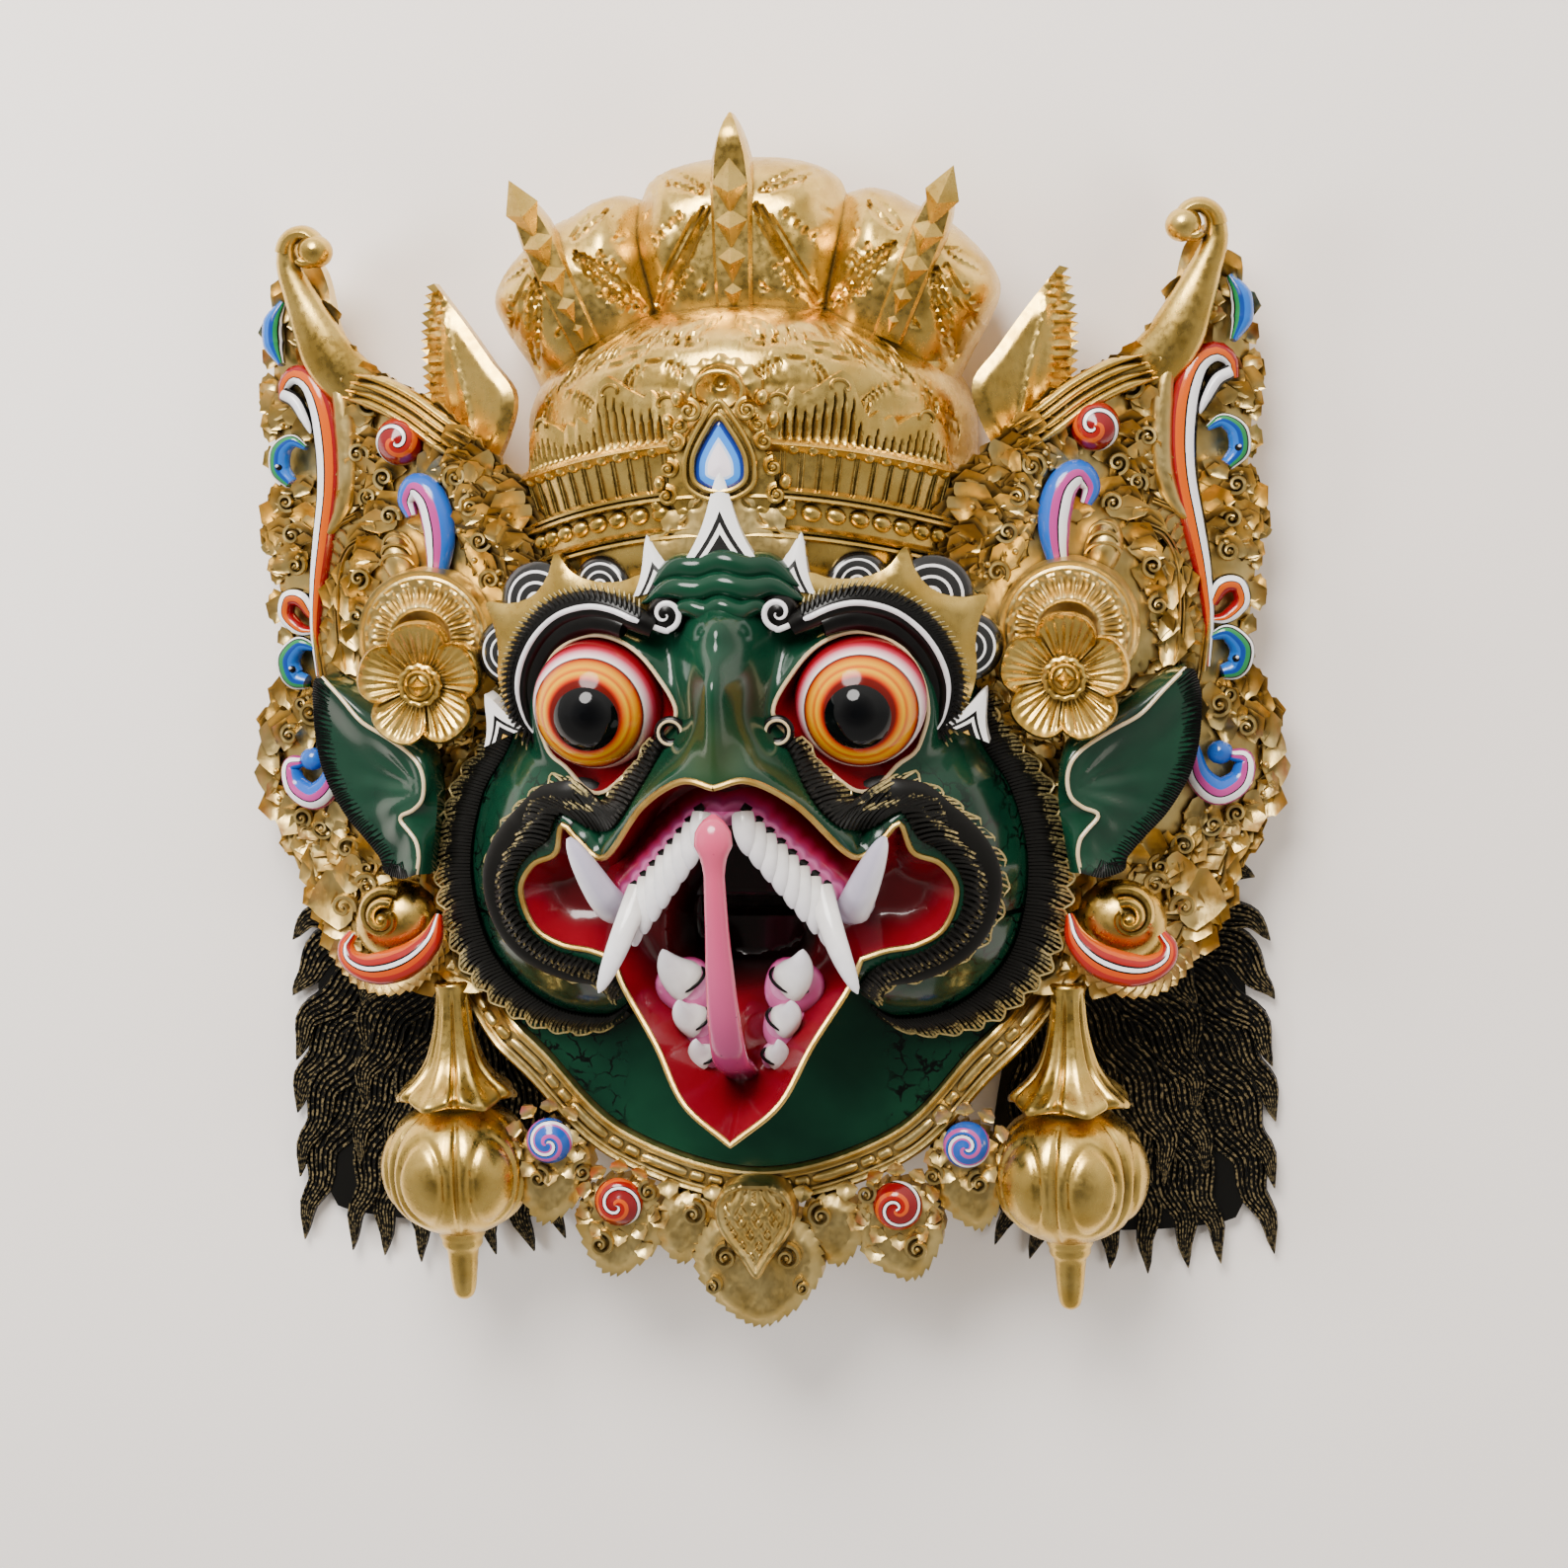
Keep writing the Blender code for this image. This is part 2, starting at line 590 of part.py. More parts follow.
def make_wing(face_seat, cap_seat):
    outline = [Vector(point) for point in WING_INNER] + smooth(WING_TOP, 2, closed=False)
    outline += rippled(WING_EDGE, EDGE_LEAVES) + [Vector(point) for point in WING_SCROLL]
    body = swept(slab("wing", outline, *SHEET), WING_FRONT, WING_THICK)
    joined = [ball("curl", CURL, (CURL_RADIUS, CURL_RADIUS, 11), 10, 6),
              ball("red ball", RED_BALL, (BALL_RADIUS, BALL_RADIUS, 9), 10, 6),
              cone("halo", (*HALO, HALO_BACK), HALO_RADIUS, HALO_RADIUS, HALO_FRONT - HALO_BACK, 16),
              ball("ear scroll", EAR_SCROLL, (EAR_SCROLL_RADIUS, EAR_SCROLL_RADIUS - 2, 20), 12, 6)]
    line = smooth(LONG_SCROLL, 2, closed=False)
    radii = [2 + 6 * math.sin(math.pi * (i + 0.5) / len(line)) for i in range(len(line))]
    joined.append(rod("long scroll", line, radii))
    body = combine(body, joined, "UNION")
    return combine(body, [face_seat, cap_seat], "DIFFERENCE")


def make_ear():
    body = slab("ear", smooth(EAR, 2), *SHEET)

    def place(corner):
        if corner.z < sum(SHEET) / 2:
            depth = WING_FRONT * GRID - SWEEP * (corner.x - SWEEP_FROM * GRID) + GAP
        else:
            depth = EAR_INNER_FRONT * GRID - EAR_SLOPE * (corner.x - EAR[1][0] * GRID)
        return Vector((corner.x, corner.y, depth))

    return reshape(body, place)


def make_flower():
    back = HALO_FRONT * GRID + GAP
    sides = PETALS * 8
    outline = []
    for i in range(sides):
        angle = 2 * math.pi * i / sides + math.pi / 2
        far = FLOWER_RADIUS * (0.74 + 0.26 * abs(math.cos(angle * PETALS / 2 - math.pi * PETALS / 4)) ** 0.6)
        outline.append((FLOWER[0] + far * math.cos(angle), FLOWER[1] + far * math.sin(angle)))
    body = slab("flower", outline, back, back + PETAL_THICK)
    top = (back + PETAL_THICK) / GRID
    heart = cone("flower heart", (*FLOWER, top - 2), 8, 1.5, 10, 6)
    return combine(body, [heart], "UNION")


def make_blade(cap_seat):
    body = swept(slab("blade", BLADE, *SHEET), WING_FRONT - (WING_THICK + GAP * 1.2) / GRID, BLADE_THICK)
    return combine(body, [cap_seat], "DIFFERENCE")


def make_pendant(grow=0.0):
    profile = [(radius + grow / GRID if radius else 0, height) for radius, height in PENDANT_PROFILE]
    body = turned("pendant body", profile, PENDANT_SIDES)

    def place(corner):
        height = corner.z / GRID
        angle = math.atan2(corner.y, corner.x)
        inside = ramp(height, -214, -204) * (1 - ramp(height, -166, -158))
        share = 1 - LOBE_DEPTH * inside * (0.5 + 0.5 * math.cos(PENDANT_LOBES * angle))
        across, deep = (place * GRID for place in PENDANT_AXIS)
        return Vector((across + corner.x * share, corner.z, deep - corner.y * share))

    return reshape(body, place)


def make_lock(index, root, tip):
    """One wavy lock with a ridge along it, which narrows to a point."""
    root, tip = Vector(root), Vector(tip)
    along = (tip - root).normalized()
    across = Vector((-along.y, along.x))
    shape = bmesh.new()
    rows = []
    for i in range(LOCK_STEPS + 1):
        t = i / LOCK_STEPS
        half = LOCK_WIDTH / 2 * (0.75 + 0.5 * t) * (1 - max(0, (t - 0.72) / 0.28) ** 1.3 * 0.97)
        wave = math.sin(2 * math.pi * (1.6 * t + index * 0.37)) * (1 - t**4)
        middle = root.lerp(tip, t) + across * LOCK_WAVE * wave
        left, right = middle + across * half, middle - across * half
        edge, ridge = BOARD_THICK / 2, BOARD_THICK + LOCK_RISE
        places = [(left, 0), (right, 0), (right, edge), (middle, ridge), (left, edge)]
        rows.append([shape.verts.new((p.x * GRID, p.y * GRID, z)) for p, z in places])
    for a, b in zip(rows, rows[1:]):
        for k in range(5):
            shape.faces.new((a[k - 1], a[k], b[k], b[k - 1]))
    shape.faces.new(rows[0])
    shape.faces.new(rows[-1])
    bmesh.ops.recalc_face_normals(shape, faces=shape.faces)
    return from_shape("lock", shape)


def make_hair(face_seat):
    locks = []
    for i, tip in enumerate(LOCK_TIPS):
        turn = math.radians(10 - 100 * i / (len(LOCK_TIPS) - 1))
        root = Vector(LOCK_ROOT) + Vector((math.cos(turn), math.sin(turn))) * LOCK_ROOT_RADIUS
        locks.append(make_lock(i, root, tip))
    body = combine(locks[0], locks[1:], "UNION")
    return combine(body, [face_seat], "DIFFERENCE")


def leaf_outline(x, y, half, tall, lean, lobes):
    """A hanging leaf with lobed edges, its point down."""
    outline = []
    for i in range(lobes * 3):
        t = 2 * math.pi * i / (lobes * 3)
        round_part = (half * math.sin(t), tall * 0.5 * math.cos(t))
        ripple = 1 + 0.09 * math.cos(lobes * t)
        a, b = round_part[0] * ripple, round_part[1] * ripple
        if b < 0:
            a *= 1 - 0.35 * (b / (tall * 0.5)) ** 2
            b *= 1.25
        outline.append((a, b))
    turn = math.radians(lean)
    return [(x + a * math.cos(turn) - b * math.sin(turn), y + a * math.sin(turn) + b * math.cos(turn))
            for a, b in outline]


def make_collar():
    inner = [p for p in grown(face_outline(), GAP / GRID) if p.y < -COLLAR_FROM]
    inner.sort(key=lambda p: math.atan2(p.y - FACE_CENTRE[1], p.x))
    outer = [p + (p - Vector(FACE_CENTRE)).normalized() * COLLAR_WIDTH for p in inner]
    front = COLLAR_FRONT * GRID
    body = slab("collar", inner + outer[::-1], front - COLLAR_THICK, front)
    joined = []
    for share, radius in COLLAR_RIMS:
        line = [(*a.lerp(b, share), COLLAR_FRONT) for a, b in zip(inner, outer)]
        joined.append(rod("collar rim", line, [radius] * len(line), resolution=0))
    for i, (x, y, half, tall, lean, lobes) in enumerate(COLLAR_LEAVES):
        low = front - COLLAR_THICK / 2 - i * GRID / 2
        for side in ((-1, 1) if x else (1,)):
            outline = leaf_outline(side * x, y, half, tall, lean * side, lobes)
            joined.append(slab("collar leaf", outline, low, front + (8 - 1.5 * i) * GRID))
    for x, y, z, radius in SWIRLS:
        for side in (-1, 1):
            joined.append(ball("swirl", (side * x, y, z - 3), (radius, radius, 8), 8, 6))
    x, y, half, tall = SHIELD
    outline = leaf_outline(x, y, half, tall, 0, 4)
    joined.append(slab("shield", outline, front - COLLAR_THICK / 4, front + SHIELD_RISE))
    body = combine(body, joined, "UNION")
    seats = [slab("collar seat", grown(face_outline(), GAP / GRID), -0.01, 0.1)]
    for side in (-1, 1):
        seat = make_pendant(GAP * 1.5)
        if side < 0:
            seat.data.transform(Matrix.Diagonal((-1, 1, 1, 1)))
            seat.data.flip_normals()
        seats.append(seat)
    return combine(body, seats, "DIFFERENCE")


def make_tongue():
    start = (TONGUE[0][0], TONGUE[0][1], JAW_FLOOR + GAP / GRID)
    return rod("tongue", [start, *TONGUE[1:]], TONGUE_RADII)


def make_tusk():
    start = (TUSK[0][0], TUSK[0][1], MOUTH_FLOOR + GAP / GRID)
    return rod("tusk", [start, *TUSK[1:]], TUSK_RADII)


def make_upper_teeth():
    line = smooth(TOOTH_LINE, 6, closed=False)
    teeth = []
    for i in range(TEETH_IN_ROW):
        at = line[round(i * (len(line) - 1) / (TEETH_IN_ROW - 1))]
        long, half = 11 + i, 4.6
        outline = [(at.x - half, at.y + 5), (at.x + half, at.y + 5), (at.x + half + 1, at.y - long * 0.5),
                   (at.x + 2, at.y - long), (at.x - half + 1, at.y - long * 0.5)]
        tooth = slab("upper tooth", outline, 0, TOOTH_THICK * GRID)
        teeth.append(reshape(tooth, lambda c: Vector((c.x, c.y, c.z + gum_front(c.x) + GAP * 1.2))))
    teeth.append(rod("fang", FANG, FANG_RADII))
    return combine(teeth[0], teeth[1:], "UNION")


def make_lower_tooth(x, y, tip):
    base = LOWER_GUM_TOP + GAP / GRID
    return cone("lower tooth", (x, y, base), TOOTH_RADIUS, 1.2, tip - base, 8)


for old in list(bpy.data.objects):
    bpy.data.objects.remove(old)
mask = collection("garuda mask")
tools = collection("cutters")

gold = material("gold leaf", (0.63, 0.40, 0.13), 0.32, 0.9)
old_gold = material("pale gold leaf", (0.66, 0.46, 0.17), 0.4, 0.85)
green = material("green lacquer", (0.010, 0.060, 0.035), 0.15)
ivory = material("white tooth paint", (0.72, 0.66, 0.66), 0.25)
pink = material("pink tongue paint", (0.66, 0.08, 0.17), 0.25)
black = material("black hair paint", (0.02, 0.017, 0.014), 0.5)

face_seat = slab("face seat", grown(face_outline(), GAP / GRID), -0.02, 0.2)
cap_seat = cap_body("cap seat", GAP * 1.5)

part("head", make_head(), green)
part("crown_cap", make_cap(), gold)
part("crown_crest", make_crest(), gold)
part("collar", make_collar(), old_gold)
part("tongue", make_tongue(), pink)
pairs = {
    "blade": (make_blade(cap_seat), gold),
    "wing": (make_wing(face_seat, cap_seat), old_gold),
    "ear": (make_ear(), green),
    "flower": (make_flower(), gold),
    "pendant": (make_pendant(), gold),
    "hair": (make_hair(face_seat), black),
    "upper_teeth": (make_upper_teeth(), ivory),
    "tusk": (make_tusk(), ivory),
}
for name, (body, look) in pairs.items():
    right = part(name + "_right", body, look)
    other_side(name + "_left", right)
for number, (x, y, tip) in enumerate(LOWER_TEETH, 1):
    right = part(f"lower_tooth_right_{number}", make_lower_tooth(x, y, tip), ivory)
    other_side(f"lower_tooth_left_{number}", right)
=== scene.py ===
"""A carved and painted garuda mask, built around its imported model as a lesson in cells."""

# %% [markdown]
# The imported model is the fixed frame. Its box is kept, so that the finished mask can be held against it.

# %% Load the frame
import math

import bpy
import numpy as np
from mathutils import Matrix, Vector, geometry


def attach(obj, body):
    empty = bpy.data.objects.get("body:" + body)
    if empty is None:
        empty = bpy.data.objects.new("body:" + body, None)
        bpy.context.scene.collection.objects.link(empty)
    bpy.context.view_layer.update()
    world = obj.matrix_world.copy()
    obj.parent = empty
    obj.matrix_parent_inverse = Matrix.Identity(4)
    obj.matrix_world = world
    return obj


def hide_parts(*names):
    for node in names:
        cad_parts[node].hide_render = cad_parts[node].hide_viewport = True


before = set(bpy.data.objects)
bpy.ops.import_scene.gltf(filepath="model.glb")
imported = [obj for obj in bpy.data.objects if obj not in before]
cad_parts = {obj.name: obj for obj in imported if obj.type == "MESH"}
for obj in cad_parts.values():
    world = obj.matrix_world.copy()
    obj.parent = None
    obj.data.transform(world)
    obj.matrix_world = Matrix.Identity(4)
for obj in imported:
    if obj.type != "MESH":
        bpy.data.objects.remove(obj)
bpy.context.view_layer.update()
MM = 0.001
chance = np.random.default_rng(11)
print("nodes:", len(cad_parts))

# %% [markdown]
# The mask lies on its back and the camera looks down on it. The lens and the place come from the symmetric
# features of the mask: the camera stands a little to the right of its middle and a little above its eyes.

# %% Camera
CAMERA_PLACE = Vector((0.15679, 0.13817, 1.18190))
CAMERA_LENS = 63.48
YAW, PITCH, ROLL = (math.radians(angle) for angle in (7.24, 8.0, 1.36))


def look_matrix(yaw, pitch, roll):
    """Turns the mask's axes into the camera's: first round the height, then the width, then the lens."""
    about_height = Matrix(((math.cos(yaw), 0, -math.sin(yaw)), (0, 1, 0), (math.sin(yaw), 0, math.cos(yaw))))
    about_width = Matrix(((1, 0, 0), (0, math.cos(pitch), -math.sin(pitch)),
                          (0, math.sin(pitch), math.cos(pitch))))
    about_lens = Matrix(((math.cos(roll), -math.sin(roll), 0), (math.sin(roll), math.cos(roll), 0),
                         (0, 0, 1)))
    return about_lens @ about_width @ about_height


lens = bpy.data.cameras.new("photo camera")
lens.lens = CAMERA_LENS
lens.sensor_width = 36
lens.sensor_fit = "AUTO"
camera = bpy.data.objects.new("photo camera", lens)
turned = look_matrix(YAW, PITCH, ROLL).transposed().to_4x4()
camera.matrix_world = Matrix.Translation(CAMERA_PLACE) @ turned
bpy.context.scene.collection.objects.link(camera)
bpy.context.scene.camera = camera
print("camera", round(CAMERA_PLACE.length, 3), "m from the middle of the mask's back")

# %% [markdown]
# Soft daylight: one broad round light beyond the crown, a weaker one at each side, and a pale room all round.
# Gold shows only what it reflects, so the room is brighter beyond the crown than towards the collar.


# %% Light and floor
def panel(name, place, size, power, colour, shows=True):
    """A round light that faces the middle of the mask; shows says whether glossy paint mirrors it."""
    light = bpy.data.lights.new(name, "AREA")
    light.shape = "DISK"
    light.size = size
    light.energy = power
    light.color = colour
    made = bpy.data.objects.new(name, light)
    made.location = place
    made.visible_glossy = shows
    made.rotation_euler = (Vector((0, 0, 0.05)) - Vector(place)).to_track_quat("-Z", "Y").to_euler()
    bpy.context.scene.collection.objects.link(made)
    return made


panel("window beyond the crown", (-0.25, 1.15, 1.25), 0.9, 48, (1, 0.97, 0.93))
panel("window at the left", (-1.25, 0.15, 0.95), 0.7, 15, (0.92, 0.96, 1), False)
panel("room light at the right", (1.1, -0.5, 1.1), 0.8, 9, (1, 0.97, 0.93), False)
room = bpy.data.worlds.new("pale room")
bpy.context.scene.world = room
room.use_nodes = True

# %% [markdown]
# One small function adds any node with its settings and links, and one turns a colour as a painter's chart
# gives it (sRGB hex) into the linear values that the shader wants.


# %% Node and colour helpers
def linear(code):
    """An sRGB hex colour as linear red, green, blue and full cover."""
    shares = [int(code[i:i + 2], 16) / 255 for i in (1, 3, 5)]
    return (*[s / 12.92 if s <= 0.04045 else ((s + 0.055) / 1.055) ** 2.4 for s in shares], 1.0)


def add_node(tree, kind, inputs=None, stops=None, **settings):
    """A node with its settings; an input takes a value, a hex colour or another node's output."""
    made = tree.nodes.new(kind)
    for name, value in settings.items():
        setattr(made, name, value)
    for name, value in (inputs or {}).items():
        if isinstance(value, bpy.types.NodeSocket):
            tree.links.new(value, made.inputs[name])
        else:
            made.inputs[name].default_value = linear(value) if isinstance(value, str) else value
    if stops:
        row = made.color_ramp.elements
        while len(row) < len(stops):
            row.new(0.5)
        for stop, (place, code) in zip(row, stops):
            stop.position = place
            stop.color = linear(code)
    return made


tree = room.node_tree
tree.nodes.clear()
where = add_node(tree, "ShaderNodeTexCoord")
split = add_node(tree, "ShaderNodeSeparateXYZ", {"Vector": where.outputs["Generated"]})
sky = add_node(tree, "ShaderNodeMapRange", {"Value": split.outputs["Y"], "From Min": -0.2, "From Max": 0.9,
                                            "To Min": 0.60, "To Max": 1.45})
front = add_node(tree, "ShaderNodeMapRange", {"Value": split.outputs["Z"], "From Min": 0.60, "From Max": 0.97,
                                              "To Min": 1.0, "To Max": 0.24})
both = add_node(tree, "ShaderNodeMath", {0: sky.outputs["Result"], 1: front.outputs["Result"]},
                operation="MULTIPLY")
glow = add_node(tree, "ShaderNodeBackground", {"Color": "#F3EEE6", "Strength": both.outputs["Value"]})
add_node(tree, "ShaderNodeOutputWorld", {"Surface": glow.outputs["Background"]})

# %% [markdown]
# The floor is a matt pale cloth-coloured board under everything.

# %% Floor
bpy.ops.mesh.primitive_plane_add(size=6, location=(0, 0, -0.0005))
floor = bpy.context.object
floor.name = "floor"
board = bpy.data.materials.new("matt pale board")
board.use_nodes = True
tree = board.node_tree
paint = tree.nodes["Principled BSDF"]
where = add_node(tree, "ShaderNodeTexCoord")
cloud = add_node(tree, "ShaderNodeTexNoise", {"Vector": where.outputs["Object"], "Scale": 1.5})
tone = add_node(tree, "ShaderNodeValToRGB", {"Fac": cloud.outputs["Fac"]},
                [(0.3, "#F8EEE7"), (0.7, "#FFF7F1")])
tree.links.new(tone.outputs["Color"], paint.inputs["Base Color"])
paint.inputs["Roughness"].default_value = 0.85
floor.data.materials.append(board)

# %% [markdown]
# Every carved piece is gathered as points and faces in millimetres and turned into one mesh at the end.
# Marks are numbers painted on the points, such as how far a point lies across a scroll; the materials read
# them, so a painted stripe follows the carved form as a brush does.


# %% The carver's bench: gathering points and faces
class Carving:
    """The points, faces and painted marks of one piece, in millimetres."""

    def __init__(self, *marks):
        self.points = []
        self.rings = []
        self.looks = []
        self.marks = {name: [] for name in marks}
        self.count = 0

    def add(self, points, faces, look=0, **marks):
        """Adds points (n, 3) and faces (m, 3 or 4 or more); a mark is a number or one number a point."""
        points = np.asarray(points, float).reshape(-1, 3)
        self.points.append(points)
        faces = np.asarray(faces, int)
        self.rings.append(faces + self.count)
        self.looks.append(np.full(len(faces), look))
        for name in self.marks:
            value = np.broadcast_to(np.asarray(marks.get(name, 0.0), float).reshape(-1), (len(points),))
            self.marks[name].append(value)
        self.count += len(points)

    def mirrored(self):
        """The same piece for the other side of the mask."""
        other = Carving(*self.marks)
        other.points = [points * (-1, 1, 1) for points in self.points]
        other.rings = [faces[:, ::-1] for faces in self.rings]
        other.looks, other.marks, other.count = self.looks, self.marks, self.count
        return other

    def rod(self, lines, wide, high, sides=8, look=0, up=(0, 0, 1)):
        """Adds rods along lines, with their marks."""
        points, faces, marks = rods(lines, wide, high, sides, up)
        self.add(points, faces, look, **marks)

    def piece(self, name, slot, looks, *nodes, angle=40):
        """Makes the mesh object with its materials and hides the nodes that it stands for; slot is not used.
        """
        points = np.concatenate(self.points) * MM
        mesh = bpy.data.meshes.new(name)
        mesh.vertices.add(len(points))
        mesh.vertices.foreach_set("co", points.ravel().astype(np.float32))
        corners = np.concatenate([faces.ravel() for faces in self.rings])
        sizes = np.concatenate([np.full(len(faces), faces.shape[1]) for faces in self.rings])
        mesh.loops.add(len(corners))
        mesh.loops.foreach_set("vertex_index", corners.astype(np.int32))
        mesh.polygons.add(len(sizes))
        mesh.polygons.foreach_set("loop_start", np.concatenate(([0], np.cumsum(sizes)[:-1])).astype(np.int32))
        mesh.polygons.foreach_set("loop_total", sizes.astype(np.int32))
        mesh.polygons.foreach_set("material_index", np.concatenate(self.looks).astype(np.int32))
        for mark, values in self.marks.items():
            layer = mesh.attributes.new(mark, "FLOAT", "POINT")
            layer.data.foreach_set("value", np.concatenate(values).astype(np.float32))
        mesh.update(calc_edges=True)
        mesh.validate()
        mesh.shade_smooth()
        mesh.set_sharp_from_angle(angle=math.radians(angle))
        for look in looks:
            mesh.materials.append(look)
        made = bpy.data.objects.new(name, mesh)
        bpy.context.scene.collection.objects.link(made)
        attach(made, "root")
        if nodes:
            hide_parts(*nodes)
        print(name, len(points), "points", len(sizes), "faces")

    def pair(self, name, slot, looks, node, angle=40):
        """Makes the piece at the right and its reflection at the left; a star stands for the side."""
        for side, carving in (("right", self), ("left", self.mirrored())):
            carving.piece(name.replace("*", side), slot, looks, node.replace("*", side), angle=angle)


# %% [markdown]
# The lines that come back all over the mask: a soft line through points, its reflection and a spiral, and the
# measures taken from lines.


# %% Lines
def soft_line(points, count, closed=False):
    """Evenly spaced points on a soft curve through the given ones."""
    points = np.asarray(points, float)
    ring = np.concatenate([points[-1:], points, points[:2]]) if closed else np.concatenate(
        [2 * points[:1] - points[1:2], points, 2 * points[-1:] - points[-2:-1]])
    spans = len(points) if closed else len(points) - 1
    t = np.linspace(0, 1, 24, endpoint=False)[:, None]
    line = []
    for i in range(spans):
        a, b, c, d = ring[i:i + 4]
        bent, twist = 2 * a - 5 * b + 4 * c - d, 3 * (b - c) + d - a
        line.append(0.5 * (2 * b + (c - a) * t + bent * t**2 + twist * t**3))
    line = np.concatenate(line + [ring[1:2] if closed else points[-1:]])
    run = np.concatenate(([0], np.cumsum(np.linalg.norm(np.diff(line, axis=0), axis=1))))
    at = np.linspace(0, run[-1], count + 1)[:-1] if closed else np.linspace(0, run[-1], count)
    return np.stack([np.interp(at, run, line[:, k]) for k in range(line.shape[1])], 1)


def both_sides(half):
    """A half line from the top to the bottom at the right, closed with its reflection at the left."""
    half = np.asarray(half, float)
    flip = np.ones(half.shape[1])
    flip[0] = -1
    back = half[::-1] * flip
    keep = np.abs(back[:, 0]) > 1e-6
    return np.concatenate([half, back[keep]])


def spiral(centre, radius, turns, start, hand=1, count=40, core=0.12):
    """A volute in plan, wound inward from its outer end; start is the outer end's angle in degrees."""
    t = np.linspace(0, 1, count)
    angle = math.radians(start) + hand * turns * 2 * math.pi * t
    far = radius * (core + (1 - core) * (1 - t) ** 0.9)
    return np.stack([centre[0] + far * np.cos(angle), centre[1] + far * np.sin(angle)], 1)


def inside(points, outline):
    """Which points (n, 2) lie in the closed outline."""
    x, y = points[:, 0], points[:, 1]
    found = np.zeros(len(points), bool)
    for (x1, y1), (x2, y2) in zip(outline, np.roll(outline, -1, axis=0)):
        if y1 != y2:
            found ^= ((y1 > y) != (y2 > y)) & (x < (x2 - x1) * (y - y1) / (y2 - y1) + x1)
    return found


def nearest(points, line, closed=False):
    """The distance in plan from each point to a line, and the line's values at the nearest place."""
    ends = np.concatenate([line, line[:1]]) if closed else line
    best = np.full(len(points), 1e9)
    value = np.zeros((len(points), line.shape[1]))
    share = np.zeros(len(points))
    for i, (a, b) in enumerate(zip(ends[:-1], ends[1:])):
        span = b[:2] - a[:2]
        t = np.clip(((points - a[:2]) @ span) / max(span @ span, 1e-12), 0, 1)
        far = np.linalg.norm(points - (a[:2] + t[:, None] * span), axis=1)
        closer = far < best
        best[closer] = far[closer]
        value[closer] = a + t[closer, None] * (b - a)
        share[closer] = (i + t[closer]) / (len(ends) - 1)
    return best, value, share


def ease(value, start, end):
    """0 before start, 1 after end, and soft between them."""
    t = np.clip((value - start) / (end - start), 0, 1)
    return t * t * (3 - 2 * t)


print("lines ready")

# %% [markdown]
# The forms that come back: a rod that swells and tapers (a scroll, a strand, a rim), a sheet of skin over an
# outline, and a leaf that is copied many times.


# %% Rods, sheets and leaves
def grid_faces(rows, columns, turned=False):
    """Four-sided faces over points in rows; turned goes round each face the other way."""
    index = np.arange(rows * columns).reshape(rows, columns)
    ring = [index[:-1, :-1], index[:-1, 1:], index[1:, 1:], index[1:, :-1]]
    return np.stack(ring[:1] + ring[:0:-1] if turned else ring, -1).reshape(-1, 4)


def round_faces(rows, around):
    """Four-sided faces over rings of points that close on themselves."""
    index = np.arange(rows * around).reshape(rows, around)
    after = np.roll(index, -1, axis=1)
    return np.stack([index[:-1], index[1:], after[1:], after[:-1]], -1).reshape(-1, 4)


def rim_edges(faces):
    """The edges that only one triangle of a net has."""
    edges = np.concatenate([faces[:, [0, 1]], faces[:, [1, 2]], faces[:, [2, 0]]])
    _, first, counts = np.unique(np.sort(edges, 1), axis=0, return_index=True, return_counts=True)
    return edges[first[counts == 1]]


def rim_walls(faces, count):
    """Walls from the rim of a net to the rim of its copy, whose points come count places later."""
    rim = rim_edges(faces)
    return np.stack([rim[:, 0], rim[:, 0] + count, rim[:, 1] + count, rim[:, 1]], 1)


def rods(lines, wide, high, sides=8, up=(0, 0, 1)):
    """Points, faces and marks of rods along lines (m, n, 3); half widths and heights are (n,) or (m, n)."""
    lines = np.asarray(lines, float)
    if lines.ndim == 2:
        lines = lines[None]
    m, n, _ = lines.shape
    wide, high = (np.broadcast_to(np.asarray(v, float), (m, n)) for v in (wide, high))
    along = np.gradient(lines, axis=1)
    along /= np.maximum(np.linalg.norm(along, axis=2, keepdims=True), 1e-9)
    up = np.broadcast_to(np.asarray(up, float), lines.shape)
    across = np.cross(along, up)
    across /= np.maximum(np.linalg.norm(across, axis=2, keepdims=True), 1e-9)
    rise = np.cross(across, along)
    turn = 2 * np.pi * np.arange(sides) / sides
    points = (lines[:, :, None] + across[:, :, None] * (wide[..., None] * np.cos(turn))[..., None]
              + rise[:, :, None] * (high[..., None] * np.sin(turn))[..., None])
    start = (np.arange(m)[:, None, None] * n + np.arange(n - 1)[None, :, None]) * sides
    k = np.arange(sides)[None, None]
    ring = np.stack([start + k, start + (k + 1) % sides, start + sides + (k + 1) % sides,
                     start + sides + k], -1)
    faces = [ring.reshape(-1, 4)[:, ::-1]]
    k = np.arange(sides // 2 - 1)
    cap = np.stack([k, k + 1, sides - 2 - k, sides - 1 - k], 1)
    first = np.arange(m)[:, None, None] * n * sides
    faces.append((first + cap).reshape(-1, 4))
    faces.append((first + (n - 1) * sides + cap[:, ::-1]).reshape(-1, 4))
    marks = {"along": np.broadcast_to(np.linspace(0, 1, n)[None, :, None], (m, n, sides)).ravel(),
             "across": np.broadcast_to(np.cos(turn), (m, n, sides)).ravel(),
             "height": np.broadcast_to(np.sin(turn), (m, n, sides)).ravel()}
    return points.reshape(-1, 3), np.concatenate(faces), marks


